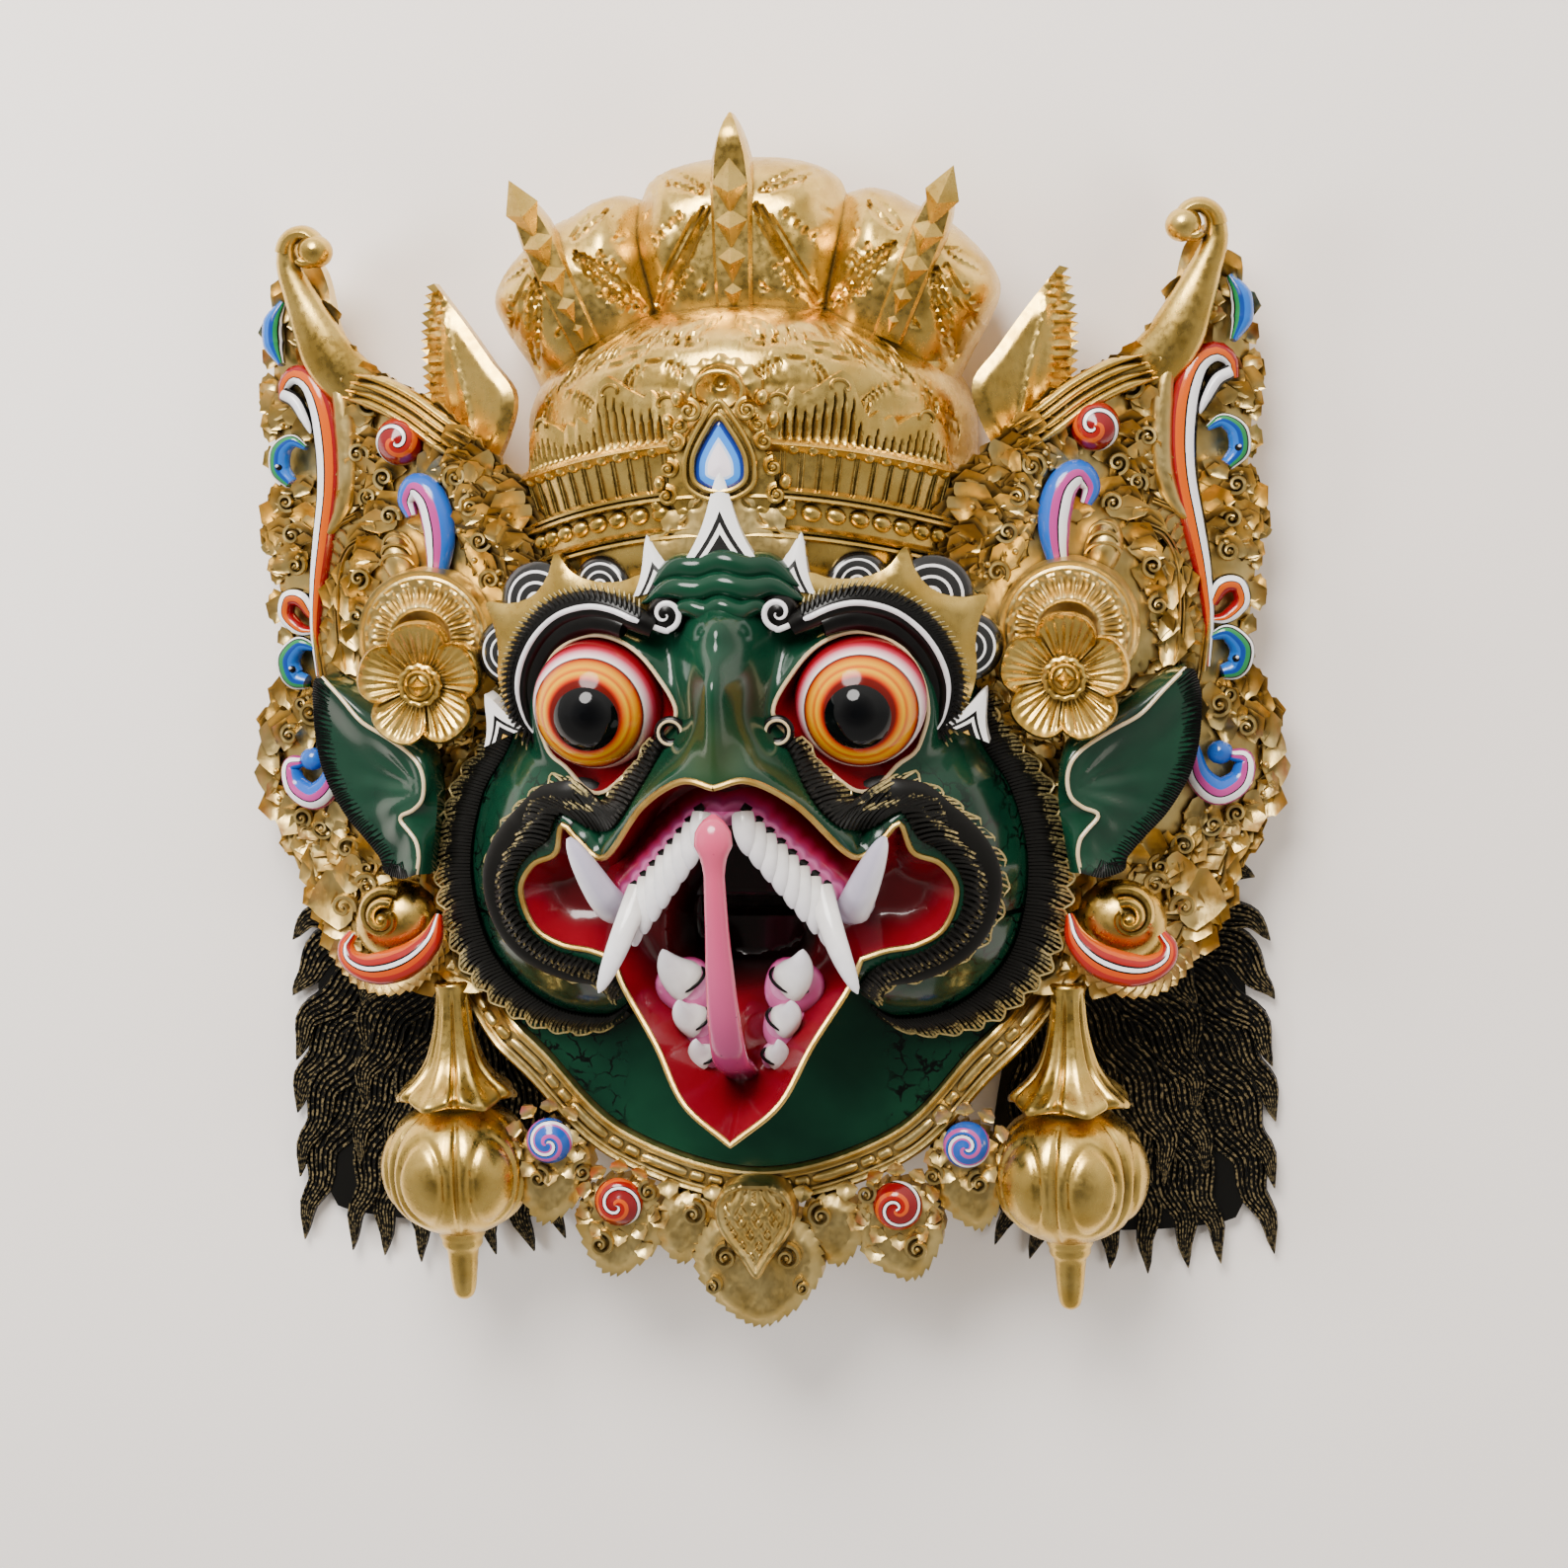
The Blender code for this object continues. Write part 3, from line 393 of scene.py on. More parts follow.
def plan_net(outline, holes, spacing, lines=()):
    """Triangles over an outline with holes, their corners close enough to carve; lines are kept as edges."""
    loops = [np.asarray(outline)[:, :2]] + [np.asarray(hole)[:, :2] for hole in holes]
    low, high = loops[0].min(0), loops[0].max(0)
    rows = np.arange(low[1], high[1], spacing * 0.866)
    places = [np.arange(low[0] + (i % 2) * spacing / 2, high[0], spacing) for i in range(len(rows))]
    grid = np.concatenate([np.stack([xs, np.full(len(xs), y)], 1) for xs, y in zip(places, rows)])
    keep = inside(grid, loops[0])
    for hole in loops[1:]:
        keep &= ~inside(grid, hole)
    grid = grid[keep]
    for loop in loops:
        grid = grid[nearest(grid, loop, True)[0] > spacing * 0.55]
    for line in lines:
        grid = grid[nearest(grid, np.asarray(line)[:, :2])[0] > spacing * 0.55]
    points, edges = [], []
    for loop in loops:
        base = len(points)
        points += loop.tolist()
        edges += [(base + i, base + (i + 1) % len(loop)) for i in range(len(loop))]
    for line in lines:
        base = len(points)
        points += np.asarray(line)[:, :2].tolist()
        edges += [(base + i, base + i + 1) for i in range(len(line) - 1)]
    points += grid.tolist()
    net = geometry.delaunay_2d_cdt([Vector(p) for p in points], edges, [], 0, 1e-5)
    corners = np.array([tuple(p) for p in net[0]])
    faces = np.array([f for f in net[2]])
    middle = corners[faces].mean(1)
    keep = inside(middle, loops[0])
    for hole in loops[1:]:
        keep &= ~inside(middle, hole)
    faces = faces[keep]
    a, b, c = (corners[faces[:, k]] for k in range(3))
    turn = (b[:, 0] - a[:, 0]) * (c[:, 1] - a[:, 1]) - (b[:, 1] - a[:, 1]) * (c[:, 0] - a[:, 0])
    faces[turn < 0] = faces[turn < 0][:, ::-1]
    return corners, faces


def slab_net(outline, front, back, spacing, holes=()):
    """A closed board over an outline: its front and back are functions of x and y."""
    corners, faces = plan_net(outline, holes, spacing)
    x, y = corners.T
    top = np.stack([x, y, front(x, y) + 0 * x], 1)
    low = np.stack([x, y, back(x, y) + 0 * x], 1)
    rim = rim_edges(faces)
    n = len(corners)
    walls = np.concatenate([np.stack([rim[:, 0], rim[:, 0] + n, rim[:, 1] + n], 1),
                            np.stack([rim[:, 0], rim[:, 1] + n, rim[:, 1]], 1)])
    return np.concatenate([top, low]), np.concatenate([faces, faces[:, ::-1] + n, walls])


def leaf_form(rows=9, columns=7, lobes=3, groove=0.2, cup=0.25, tip=0.45, plump=0.45):
    """A unit leaf from its foot at (0, 0) to its tip at (0, 1): its points and faces."""
    u = np.linspace(0, 1, rows)[:, None]
    v = np.linspace(-1, 1, columns)[None]
    wide = plump * np.sin(np.pi * np.clip(u, 0, 1) ** 0.75) ** 0.8 + 0.03 * (1 - u)
    wide = wide * (1 + 0.2 * np.abs(np.cos(np.pi * lobes * u)))
    x = wide * v
    y = u + 0.12 * np.abs(v) * (1 - u)
    z = cup * (1 - v**2) * np.sin(np.pi * u**0.8) - groove * np.exp(-((v / 0.22) ** 2)) * (1 - u)
    z = z + tip * u**2.2
    top = np.stack([x + 0 * y, y + 0 * x, z + 0 * x], -1).reshape(-1, 3)
    index = np.arange(rows * columns).reshape(rows, columns)
    quads = grid_faces(rows, columns)
    rim = np.concatenate([index[0], index[1:, -1], index[-1, -2::-1], index[-2:0:-1, 0]])
    low = top[rim] * (0.8, 0.9, 0) + (0, 0.04, -0.3)
    below = len(top) + np.arange(len(rim))
    walls = np.stack([rim, below, np.roll(below, -1), np.roll(rim, -1)], 1)
    half = len(rim) // 2
    k = np.arange(half - 1)
    floor_faces = np.stack([below[k], below[len(rim) - 1 - k], below[len(rim) - 2 - k], below[k + 1]], 1)
    return np.concatenate([top, low]), np.concatenate([quads, walls, floor_faces])


def put_leaves(store, form, places, turns, sizes, surface, lift=0.0, squeeze=1.0, lean=0.0):
    """Adds copies of a leaf on a surface: places (m, 2), turns in degrees from +Y, sizes in millimetres."""
    points, faces = form
    places, turns, sizes = (np.asarray(v, float) for v in (places, turns, sizes))
    m = len(places)
    angle = np.radians(np.broadcast_to(turns, (m,)))[:, None]
    size = np.broadcast_to(sizes, (m,))[:, None]
    squeeze, lean, lift = (np.broadcast_to(np.asarray(v, float), (m,))[:, None] for v in (squeeze, lean,
                                                                                          lift))
    x, y, z = (points[None, :, k] * size for k in range(3))
    x = x * squeeze
    z = z + lean * y
    px = places[:, :1] + x * np.cos(angle) - y * np.sin(angle)
    py = places[:, 1:] + x * np.sin(angle) + y * np.cos(angle)
    middle = surface(places[:, :1], places[:, 1:])
    pz = 0.35 * middle + 0.65 * surface(px, py) + z + lift
    all_faces = (faces[None] + (np.arange(m) * len(points))[:, None, None]).reshape(-1, faces.shape[1])
    store.add(np.stack([px, py, pz], -1), all_faces)


print("bench ready")
# %% [markdown]
# The mask is limewood, primed and painted by hand. The gold is a bronze-powder paint over a red-brown
# primer: it mirrors like metal, but softly. Occlusion darkens the bottoms of the cuts towards a brown and
# makes them less metallic there: that is painted shade. Burnished gold (crown, crest, pendants) is
# smoother and deeper than the leaf work's pale gold.


# %% Gold paints
def place_noise(tree, millimetres, detail=3.0, stretch=None):
    """Soft spots of a given size on the object, in its own space."""
    where = add_node(tree, "ShaderNodeTexCoord").outputs["Object"]
    if stretch:
        where = add_node(tree, "ShaderNodeMapping", {"Vector": where, "Scale": stretch}).outputs["Vector"]
    return add_node(tree, "ShaderNodeTexNoise",
                    {"Vector": where, "Scale": 1000 / millimetres, "Detail": detail})


def blend_colours(tree, share, first, second, mode="MIX"):
    """Two colours mixed by a share; gives the mixed colour."""
    mixed = add_node(tree, "ShaderNodeMix", data_type="RGBA", blend_type=mode)
    for socket, value in zip((mixed.inputs[0], mixed.inputs[6], mixed.inputs[7]), (share, first, second)):
        if isinstance(value, bpy.types.NodeSocket):
            tree.links.new(value, socket)
        else:
            socket.default_value = linear(value) if isinstance(value, str) else value
    return mixed.outputs[2]


def new_paint(name):
    made = bpy.data.materials.new(name)
    made.use_nodes = True
    return made, made.node_tree, made.node_tree.nodes["Principled BSDF"]


def gold_paint(name, light, deep, ground_and_shade, rough, hollow=5.0, brush=0.12):
    """Gold paint in two tones with painted shade in the cuts; hollow is that shade's reach in millimetres."""
    made, tree, shader = new_paint(name)
    patches = place_noise(tree, 14, 4)
    tone = add_node(tree, "ShaderNodeValToRGB", {"Fac": patches.outputs["Fac"]},
                    [(0.32, deep), (0.62, light)])
    # Painted shade: occlusion darkens the cuts towards the brown and makes them less metallic.
    cuts = add_node(tree, "ShaderNodeAmbientOcclusion", {"Distance": hollow * MM}, samples=6)
    unshaded_share = add_node(tree, "ShaderNodeMapRange",
                       {"Value": cuts.outputs["AO"], "From Min": 0.22, "From Max": 0.72})
    colour = blend_colours(tree, unshaded_share.outputs["Result"], ground_and_shade, tone.outputs["Color"])
    tree.links.new(colour, shader.inputs["Base Color"])
    metal = add_node(tree, "ShaderNodeMapRange",
                     {"Value": unshaded_share.outputs["Result"], "To Min": 0.6, "To Max": 1.0})
    tree.links.new(metal.outputs["Result"], shader.inputs["Metallic"])
    grains = place_noise(tree, 3.0, 5)
    sheen = add_node(tree, "ShaderNodeMapRange",
                     {"Value": grains.outputs["Fac"], "From Min": 0.3, "From Max": 0.7,
                                                  "To Min": rough - 0.07, "To Max": rough + 0.10})
    tree.links.new(sheen.outputs["Result"], shader.inputs["Roughness"])
    strokes = place_noise(tree, 1.6, 4, (1, 0.35, 1))
    bump = add_node(tree, "ShaderNodeBump",
                    {"Strength": brush, "Distance": 0.6 * MM, "Height": strokes.outputs["Fac"]})
    tree.links.new(bump.outputs["Normal"], shader.inputs["Normal"])
    return made


burnished_gold = gold_paint("burnished gold paint", "#E4C16C", "#CCA651", "#46300F", 0.28, 3.4, 0.10)
pale_gold = gold_paint("pale gold paint on leaf work", "#ECD089", "#D8B566", "#4E3714", 0.36, 3.0, 0.2)
gold_line = gold_paint("gold line paint", "#E9C877", "#D0A352", "#5A3A14", 0.38, 2.0)

# %% [markdown]
# The face is a deep green oil enamel, poured smooth and glossy, with a thin clear coat. Near the fringes the
# painter drew fine black cracks like veins, and the ridge of the beak is glazed with a thin brown gold.
# The cracks are the borders of warped cells, and the marks "vein" and "glaze" say where they are.

# %% Green enamel
green_enamel, tree, shader = new_paint("deep green enamel")
vein = add_node(tree, "ShaderNodeAttribute", attribute_name="vein").outputs["Fac"]
glaze = add_node(tree, "ShaderNodeAttribute", attribute_name="glaze").outputs["Fac"]
soot = add_node(tree, "ShaderNodeAttribute", attribute_name="soot").outputs["Fac"]
cloud = place_noise(tree, 40, 3)
greens = add_node(tree, "ShaderNodeValToRGB", {"Fac": cloud.outputs["Fac"]},
                  [(0.3, "#07281B"), (0.7, "#0F3A27")])
warp = place_noise(tree, 5.0, 3)
where = add_node(tree, "ShaderNodeTexCoord").outputs["Object"]
shifted = add_node(tree, "ShaderNodeVectorMath", {0: warp.outputs["Color"], 1: (0.005, 0.005, 0.005)},
                   operation="MULTIPLY")
moved = add_node(tree, "ShaderNodeVectorMath", {0: where, 1: shifted.outputs["Vector"]}, operation="ADD")
cells = add_node(tree, "ShaderNodeTexVoronoi", {"Vector": moved.outputs["Vector"], "Scale": 1000 / 7.0},
                 feature="DISTANCE_TO_EDGE")
line = add_node(tree, "ShaderNodeMapRange", {"Value": cells.outputs["Distance"], "From Min": 0.03,
                                             "From Max": 0.075, "To Min": 1.0, "To Max": 0.0})
broken = place_noise(tree, 9.0, 2)
gaps = add_node(tree, "ShaderNodeMapRange",
                {"Value": broken.outputs["Fac"], "From Min": 0.42, "From Max": 0.52})
cracks = add_node(tree, "ShaderNodeMath", {0: line.outputs["Result"], 1: vein}, operation="MULTIPLY")
cracks = add_node(tree, "ShaderNodeMath", {0: cracks.outputs["Value"], 1: gaps.outputs["Result"]},
                  operation="MULTIPLY")
colour = blend_colours(tree, glaze, greens.outputs["Color"], "#2B3A1E")
colour = blend_colours(tree, cracks.outputs["Value"], colour, "#040806")
colour = blend_colours(tree, soot, colour, "#070706")
tree.links.new(colour, shader.inputs["Base Color"])
shader.inputs["Roughness"].default_value = 0.16
shader.inputs["IOR"].default_value = 1.4
shader.inputs["Coat Weight"].default_value = 0.15
shader.inputs["Coat Roughness"].default_value = 0.06
waves = place_noise(tree, 12, 2)
bump = add_node(tree, "ShaderNodeBump",
                {"Strength": 0.12, "Distance": 0.5 * MM, "Height": waves.outputs["Fac"]})
tree.links.new(bump.outputs["Normal"], shader.inputs["Normal"])

# %% [markdown]
# Enamels that change colour along a mark: stripes on scrolls, rings of the eye, bands of the gums. A ramp
# with hard steps reads the mark, so each stripe keeps the width that the painter's brush gave it.


# %% Striped enamels
def enamel(name, mark, stops, rough=0.18, steps="LINEAR", coat=0.4, mottle=0.0, spots=None):
    """A glossy oil enamel whose colour follows a mark on the points; mottle darkens it in soft spots."""
    made, tree, shader = new_paint(name)
    if isinstance(mark, tuple):
        sine, cosine = (add_node(tree, "ShaderNodeAttribute",
                                 attribute_name=part).outputs["Fac"] for part in mark)
        angle = add_node(tree, "ShaderNodeMath", {0: sine, 1: cosine}, operation="ARCTAN2").outputs["Value"]
        value = add_node(tree, "ShaderNodeMapRange",
                         {"Value": angle, "From Min": -math.pi, "From Max": math.pi})
        value = value.outputs["Result"]
    elif mark:
        value = add_node(tree, "ShaderNodeAttribute", attribute_name=mark).outputs["Fac"]
    else:
        value = place_noise(tree, 8, 4).outputs["Fac"]
    band = add_node(tree, "ShaderNodeValToRGB", {"Fac": value}, stops)
    band.color_ramp.interpolation = steps
    colour = band.outputs["Color"]
    if mottle:
        cloud = place_noise(tree, 6, 4)
        share = add_node(tree, "ShaderNodeMapRange", {"Value": cloud.outputs["Fac"], "From Min": 0.35,
                                                      "From Max": 0.75, "To Min": 0.0, "To Max": mottle})
        colour = blend_colours(tree, share.outputs["Result"], colour, "#2A1A14", "MULTIPLY")
    if spots:
        dots = add_node(tree, "ShaderNodeTexVoronoi",
                        {"Vector": add_node(tree, "ShaderNodeTexCoord").outputs["Object"],
                                                       "Scale": 1000 / 5.0})
        share = add_node(tree, "ShaderNodeMapRange", {"Value": dots.outputs["Distance"], "From Min": 0.07,
                                                      "From Max": 0.1, "To Min": 0.8, "To Max": 0.0})
        colour = blend_colours(tree, share.outputs["Result"], colour, spots)
    tree.links.new(colour, shader.inputs["Base Color"])
    shader.inputs["Roughness"].default_value = rough
    shader.inputs["Coat Weight"].default_value = coat
    shader.inputs["Coat Roughness"].default_value = 0.08
    waves = place_noise(tree, 2.5, 3)
    bump = add_node(tree, "ShaderNodeBump",
                    {"Strength": 0.12, "Distance": 0.3 * MM, "Height": waves.outputs["Fac"]})
    tree.links.new(bump.outputs["Normal"], shader.inputs["Normal"])
    return made


eye_rings = enamel("eye enamel in rings", "ring",
                   [(0.0, "#05060A"), (0.49, "#5A0A04"), (0.52, "#A62000"), (0.55, "#C86400"),
                    (0.60, "#DCA400"), (0.635, "#C65400"), (0.68, "#DC9C00"), (0.73, "#C87400"),
                    (0.765, "#9C2600"), (0.785, "#160603"), (0.80, "#EADAD8"), (0.85, "#DBA4AE"),
                    (0.90, "#B83A50"), (0.94, "#860C1A"), (1.0, "#640812")], 0.12, coat=0.1)
pupil_black = enamel("black pupil enamel", None, [(0.3, "#020203"), (0.7, "#040507")], 0.05, coat=0.2)
crimson = enamel("crimson enamel", None, [(0.3, "#6C0812"), (0.7, "#800B17")], 0.16, coat=0.3)
# Painted shade: this red turns almost black the deeper a point of the mouth lies.
throat_red_painted_shade = enamel("red throat enamel with painted shade", "deep",
                    [(0.0, "#7A0A19"), (0.45, "#580C14"), (1.0, "#1A0706")], 0.2, coat=0.6)
cream_line = enamel("cream line paint", None, [(0.3, "#DCC7A0"), (0.7, "#CDB082")], 0.3)
white_enamel = enamel("white enamel", None, [(0.3, "#DAD5DB"), (0.7, "#F0EDEE")], 0.2, mottle=0.08)
black_enamel = enamel("black enamel", None, [(0.3, "#060505"), (0.7, "#0B0A09")], 0.28, coat=0.1)
tooth_white = enamel("bone white tooth enamel", "along",
                     [(0.0, "#CFC6BE"), (0.25, "#EDEAE6"), (1.0, "#E6E3EA")], 0.22, mottle=0.12)
tusk_white = enamel("lilac white tusk enamel", "across",
                    [(0.0, "#B9B2C6"), (0.45, "#CFC9D6"), (1.0, "#F1EEF3")], 0.2, mottle=0.06)
gum_bands = enamel("pink gum enamel in bands", "band",
                   [(0.0, "#DC94B8"), (0.16, "#C4649A"), (0.30, "#D888B2"), (0.42, "#AC3E76"),
                    (0.56, "#C8689A"), (0.66, "#9C3068"), (0.80, "#A8204A"), (1.0, "#7A0A1A")], 0.18,
                   coat=0.3)
# Painted highlight: the raised edges of the tongue get a lighter pink through this mark.
tongue_pink = enamel("pink tongue enamel", "tint",
                     [(0.0, "#6A2850"), (0.3, "#A2386A"), (0.6, "#C04876"), (1.0, "#C8486A")], 0.16, coat=0.4,
                     spots="#5A1A3C")
for dark in (eye_rings, pupil_black, crimson, throat_red_painted_shade, black_enamel):
    dark.node_tree.nodes["Principled BSDF"].inputs["IOR"].default_value = 1.3
print("paints:", len(bpy.data.materials))

# %% [markdown]
# Hair, beard and brow fringes are black, and the painter dragged a nearly dry gold brush over them, so
# gold sits on the ridges and the tips. The mark "height" says how high a point lies on its strand and
# "along" how near it is to the tip.


# %% Black with dry-brushed gold
def dry_brushed(name, low, high, tip=0.0, gold="#C9A860", black="#0B0A08"):
    """Black paint with gold on what lies higher than a share of the strand, more of it near the tips."""
    made, tree, shader = new_paint(name)
    height = add_node(tree, "ShaderNodeAttribute", attribute_name="height").outputs["Fac"]
    along = add_node(tree, "ShaderNodeAttribute", attribute_name="along").outputs["Fac"]
    rough_edge = place_noise(tree, 1.5, 4)
    lifted = add_node(tree, "ShaderNodeMath", {0: along, 1: tip, 2: height}, operation="MULTIPLY_ADD")
    uneven = add_node(tree, "ShaderNodeMath",
                      {0: rough_edge.outputs["Fac"], 1: 0.7, 2: lifted.outputs["Value"]},
                      operation="MULTIPLY_ADD")
    share = add_node(tree, "ShaderNodeMapRange",
                     {"Value": uneven.outputs["Value"], "From Min": low, "From Max": high})
    colour = blend_colours(tree, share.outputs["Result"], black, gold)
    tree.links.new(colour, shader.inputs["Base Color"])
    metal = add_node(tree, "ShaderNodeMath", {0: share.outputs["Result"], 1: 0.75}, operation="MULTIPLY")
    tree.links.new(metal.outputs["Value"], shader.inputs["Metallic"])
    shader.inputs["Roughness"].default_value = 0.42
    shader.inputs["IOR"].default_value = 1.35
    return made


fringe_paint = dry_brushed("black fringe with gold tips", 1.72, 2.02, 0.85, "#E6D08F")
hair_paint = dry_brushed("black hair with gold ridges", 1.28, 1.45, 0.1, "#A8946A")
# %% [markdown]
# The face is one skin over the carver's forms: a domed mask with round cheeks, a beak that comes forward in
# the middle, rolls on the forehead, and a mouth that opens through it. Lines in space, such as the lip, pull
# the skin to their own depth, as a carver works from a drawn line.

# %% The face's lines
FACE_EDGE = both_sides([(0, 73), (60, 73), (100, 72), (102, 52), (102, 22), (113, -6), (127, -30), (131, -58),
                        (126, -88), (112, -109), (90, -131), (56, -166), (0, -183)])
CHEEK_EDGE = both_sides([(0, 92), (60, 90), (94, 74), (98, 40), (98, 4), (112, -22), (118, -55), (110, -90),
                         (88, -112), (62, -118), (48, -110), (26, -100), (0, -98)])
LIP = [(0, -8, 160), (13, -6, 156), (30, -17, 146), (49, -40, 126), (60, -34, 122), (67, -28, 120),
       (71.5, -40.5, 113), (82, -46, 108), (88, -57, 105), (83, -72, 105), (72, -79, 106), (60, -81, 108),
       (50, -84, 110)]
JAW_RIM = [(45, -95, 115), (31, -116, 125), (19, -137, 135), (0, -152, 141)]
JAW_ROOT = [(46, -93, 64), (33, -109, 62), (20, -121, 61), (0, -130, 61)]
SOCKET = [(52, 47, 119), (66, 42, 114), (75, 30, 110), (78, 15, 109), (75, 3, 109), (72, -2, 110),
          (66, -6, 113), (58, -14, 116), (51, -15.5, 119), (43, -10, 121), (30, 3, 124), (19, 16, 126),
          (27, 32, 124), (38, 43, 122)]
EYE = (52, 19.6, 113)
EYE_RADIUS = 26
PUPIL = (52.5, 17.5, 127.5)
PUPIL_RADIUS = 14

lip_line = soft_line(LIP, 90)
mouth_hole = both_sides(np.concatenate([soft_line(LIP, 70), soft_line(JAW_ROOT, 26)]))
socket_line = soft_line(SOCKET, 90, closed=True)
edge_line = soft_line(FACE_EDGE, 180, closed=True)
cheek_line = soft_line(CHEEK_EDGE, 200, closed=True)
FACE_MIDDLE = np.array((0, -20.0))


def share_of(x, y, outline, middle):
    """How far a place lies from the middle towards the outline: 0 in the middle and 1 on it."""
    out = outline[:, :2] - middle
    angle = np.arctan2(out[:, 1], out[:, 0])
    order = np.argsort(angle)
    reach = np.interp(np.arctan2(y - middle[1], x - middle[0]), angle[order],
                      np.linalg.norm(out, axis=1)[order], period=2 * np.pi)
    return np.hypot(x - middle[0], y - middle[1]) / reach


def knoll(x, y, place, wide, tall=None):
    """A soft round rise of height 1."""
    return np.exp(-(((x - place[0]) / wide) ** 2) - ((y - place[1]) / (tall or wide)) ** 2)


def pulled(z, x, y, line, reach, both=True):
    """Pulls the skin to the depth of a line in space, less and less with distance."""
    places = np.stack([np.abs(x) if both else x, y], 1)
    far, value, _ = nearest(places, line)
    grip = np.exp(-((far / reach) ** 2))
    return z + grip * (value[:, 2] - z)


def face_front(x, y):
    """The depth of the face's skin over any place."""
    x, y = np.broadcast_arrays(np.asarray(x, float), np.asarray(y, float))
    shape = x.shape
    x, y = x.ravel(), y.ravel()
    side = np.abs(x)
    share = share_of(x, y, cheek_line, FACE_MIDDLE)
    dome = np.clip(1 - np.clip(share, 0, 1) ** 2.3, 0, 1) ** 0.55
    z = 62 + 56 * dome
    z = z + 10 * knoll(side, y, (88, -48), 26, 40) * dome
    z = z + 8 * knoll(side, y, (88, -8), 22, 20) * dome
    z = z + 36 * np.exp(-((x / 24) ** 2)) * ease(y, -70, -22) * (1 - 0.5 * ease(y, 30, 70))
    z = z + 6 * np.exp(-((x / 5) ** 2)) * knoll(x, y, (0, 10), 40, 26)
    z = z + 9 * knoll(x, y, (0, 52), 10, 8) + 5 * knoll(x, y, (0, 30), 7, 10)
    rolls = 3.2 * np.abs(np.sin((y - 46 + side**2 * 0.006) * np.pi / 10))
    z = z + rolls * ease(y, 52, 58) * (1 - ease(side, 20, 27))
    z = z - 9 * knoll(side, y, (20, 30), 7, 22)
    z = z - 18 * ease(y, 57, 63) * ease(side, 27, 33)
    z = pulled(z, x, y, lip_line, 9)
    z = pulled(z, x, y, socket_line, 6)
    return z.reshape(shape)


print("lip", face_front(0, -8).round(1), "cheek", face_front(95, -50).round(1), "throat",
      face_front(0, -160).round(1))

# %% [markdown]
# The skin itself: a fine net of triangles over the outline, with holes for the mouth and the two sockets,
# raised to the face's depth. Its marks tell the enamel where the veins, the gold glaze and the soot go.

# %% The green skin
face = Carving("vein", "glaze", "soot")
sockets = [socket_line, socket_line * (-1, 1, 1)]
corners, faces = plan_net(edge_line, [mouth_hole] + sockets, 1.6, [cheek_line[np.abs(cheek_line[:, 1]) < 71]])
x, y = corners.T
share = share_of(x, y, cheek_line, FACE_MIDDLE)
side_places = np.stack([np.abs(x), y], 1)
from_fringe = nearest(side_places,
                      soft_line([(49, -36), (60, -24), (72, -22), (95, -38), (104, -58), (94, -82),
                                              (70, -92), (56, -98)], 40))[0]
vein = np.maximum(1 - ease(from_fringe, 5, 20), ease(share, 0.9, 0.95)) * ease(np.abs(x), 52, 60) * (y < 0)
glaze = 0.75 * knoll(np.abs(x), y, (3, 4), 10, 14) + 0.5 * knoll(np.abs(x), y, (28, -14), 12, 9)
glaze = np.clip(glaze, 0, 0.8)
soot = ease(share, 0.985, 1.0) * (y > -118) * (np.abs(x) > 60)
face.add(np.stack([x, y, face_front(x, y)], 1), faces, 0, vein=vein, glaze=glaze, soot=soot)

# %% [markdown]
# Behind the skin the block is plain: its sides, its sawn back and the hollow for the wearer's face. Those
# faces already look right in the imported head, so they are copied from it and painted.


# %% The plain back of a block
def packed_net(node):
    """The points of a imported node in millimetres, and its triangles."""
    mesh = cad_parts[node].data
    mesh.calc_loop_triangles()
    places = np.array([tuple(v.co) for v in mesh.vertices]) / MM
    return places, np.array([tuple(t.vertices) for t in mesh.loop_triangles])


def plain_back(store, node, look, deepest):
    """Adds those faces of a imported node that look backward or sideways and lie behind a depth."""
    places, faces = packed_net(node)
    a, b, c = (places[faces[:, k]] for k in range(3))
    normal = np.cross(b - a, c - a)
    normal /= np.maximum(np.linalg.norm(normal, axis=1, keepdims=True), 1e-12)
    faces = faces[(normal[:, 2] < 0.05) & (places[faces][:, :, 2].max(1) < deepest)]
    used, faces = np.unique(faces, return_inverse=True)
    store.add(places[used], faces.reshape(-1, 3), look)


plain_back(face, "head", 1, 61)
hollow_wood = enamel("brown primer on bare wood", None, [(0.3, "#3A2618"), (0.7, "#4B3222")], 0.6, coat=0.0)
places, faces = packed_net("head")
HOLLOWS = [((0, -30), (90, 112), 48), ((0, 14), (74, 64), 84)]
on_hollow = np.zeros(len(places), bool)
for (cx, cy), (rx, ry), rz in HOLLOWS:
    size = ((places[:, 0] - cx) / rx) ** 2 + ((places[:, 1] - cy) / ry) ** 2 + (places[:, 2] / rz) ** 2
    on_hollow |= np.abs(size - 1) < 0.07
deep = on_hollow[faces].all(1) & (places[faces][:, :, 2].max(1) >= 61) & (places[faces][:, :, 2].max(1) < 86)
used, deep_faces = np.unique(faces[deep], return_inverse=True)
face.add(places[used], deep_faces.reshape(-1, 3), 1)
face.piece("face_skin", "green_lacquer", [green_enamel, hollow_wood], "head")

# %% [markdown]
# The jaw is a pointed spout in front of the throat. Its outside is a loft from the rim to the root, and the
# red inside is part of the mouth's lining.

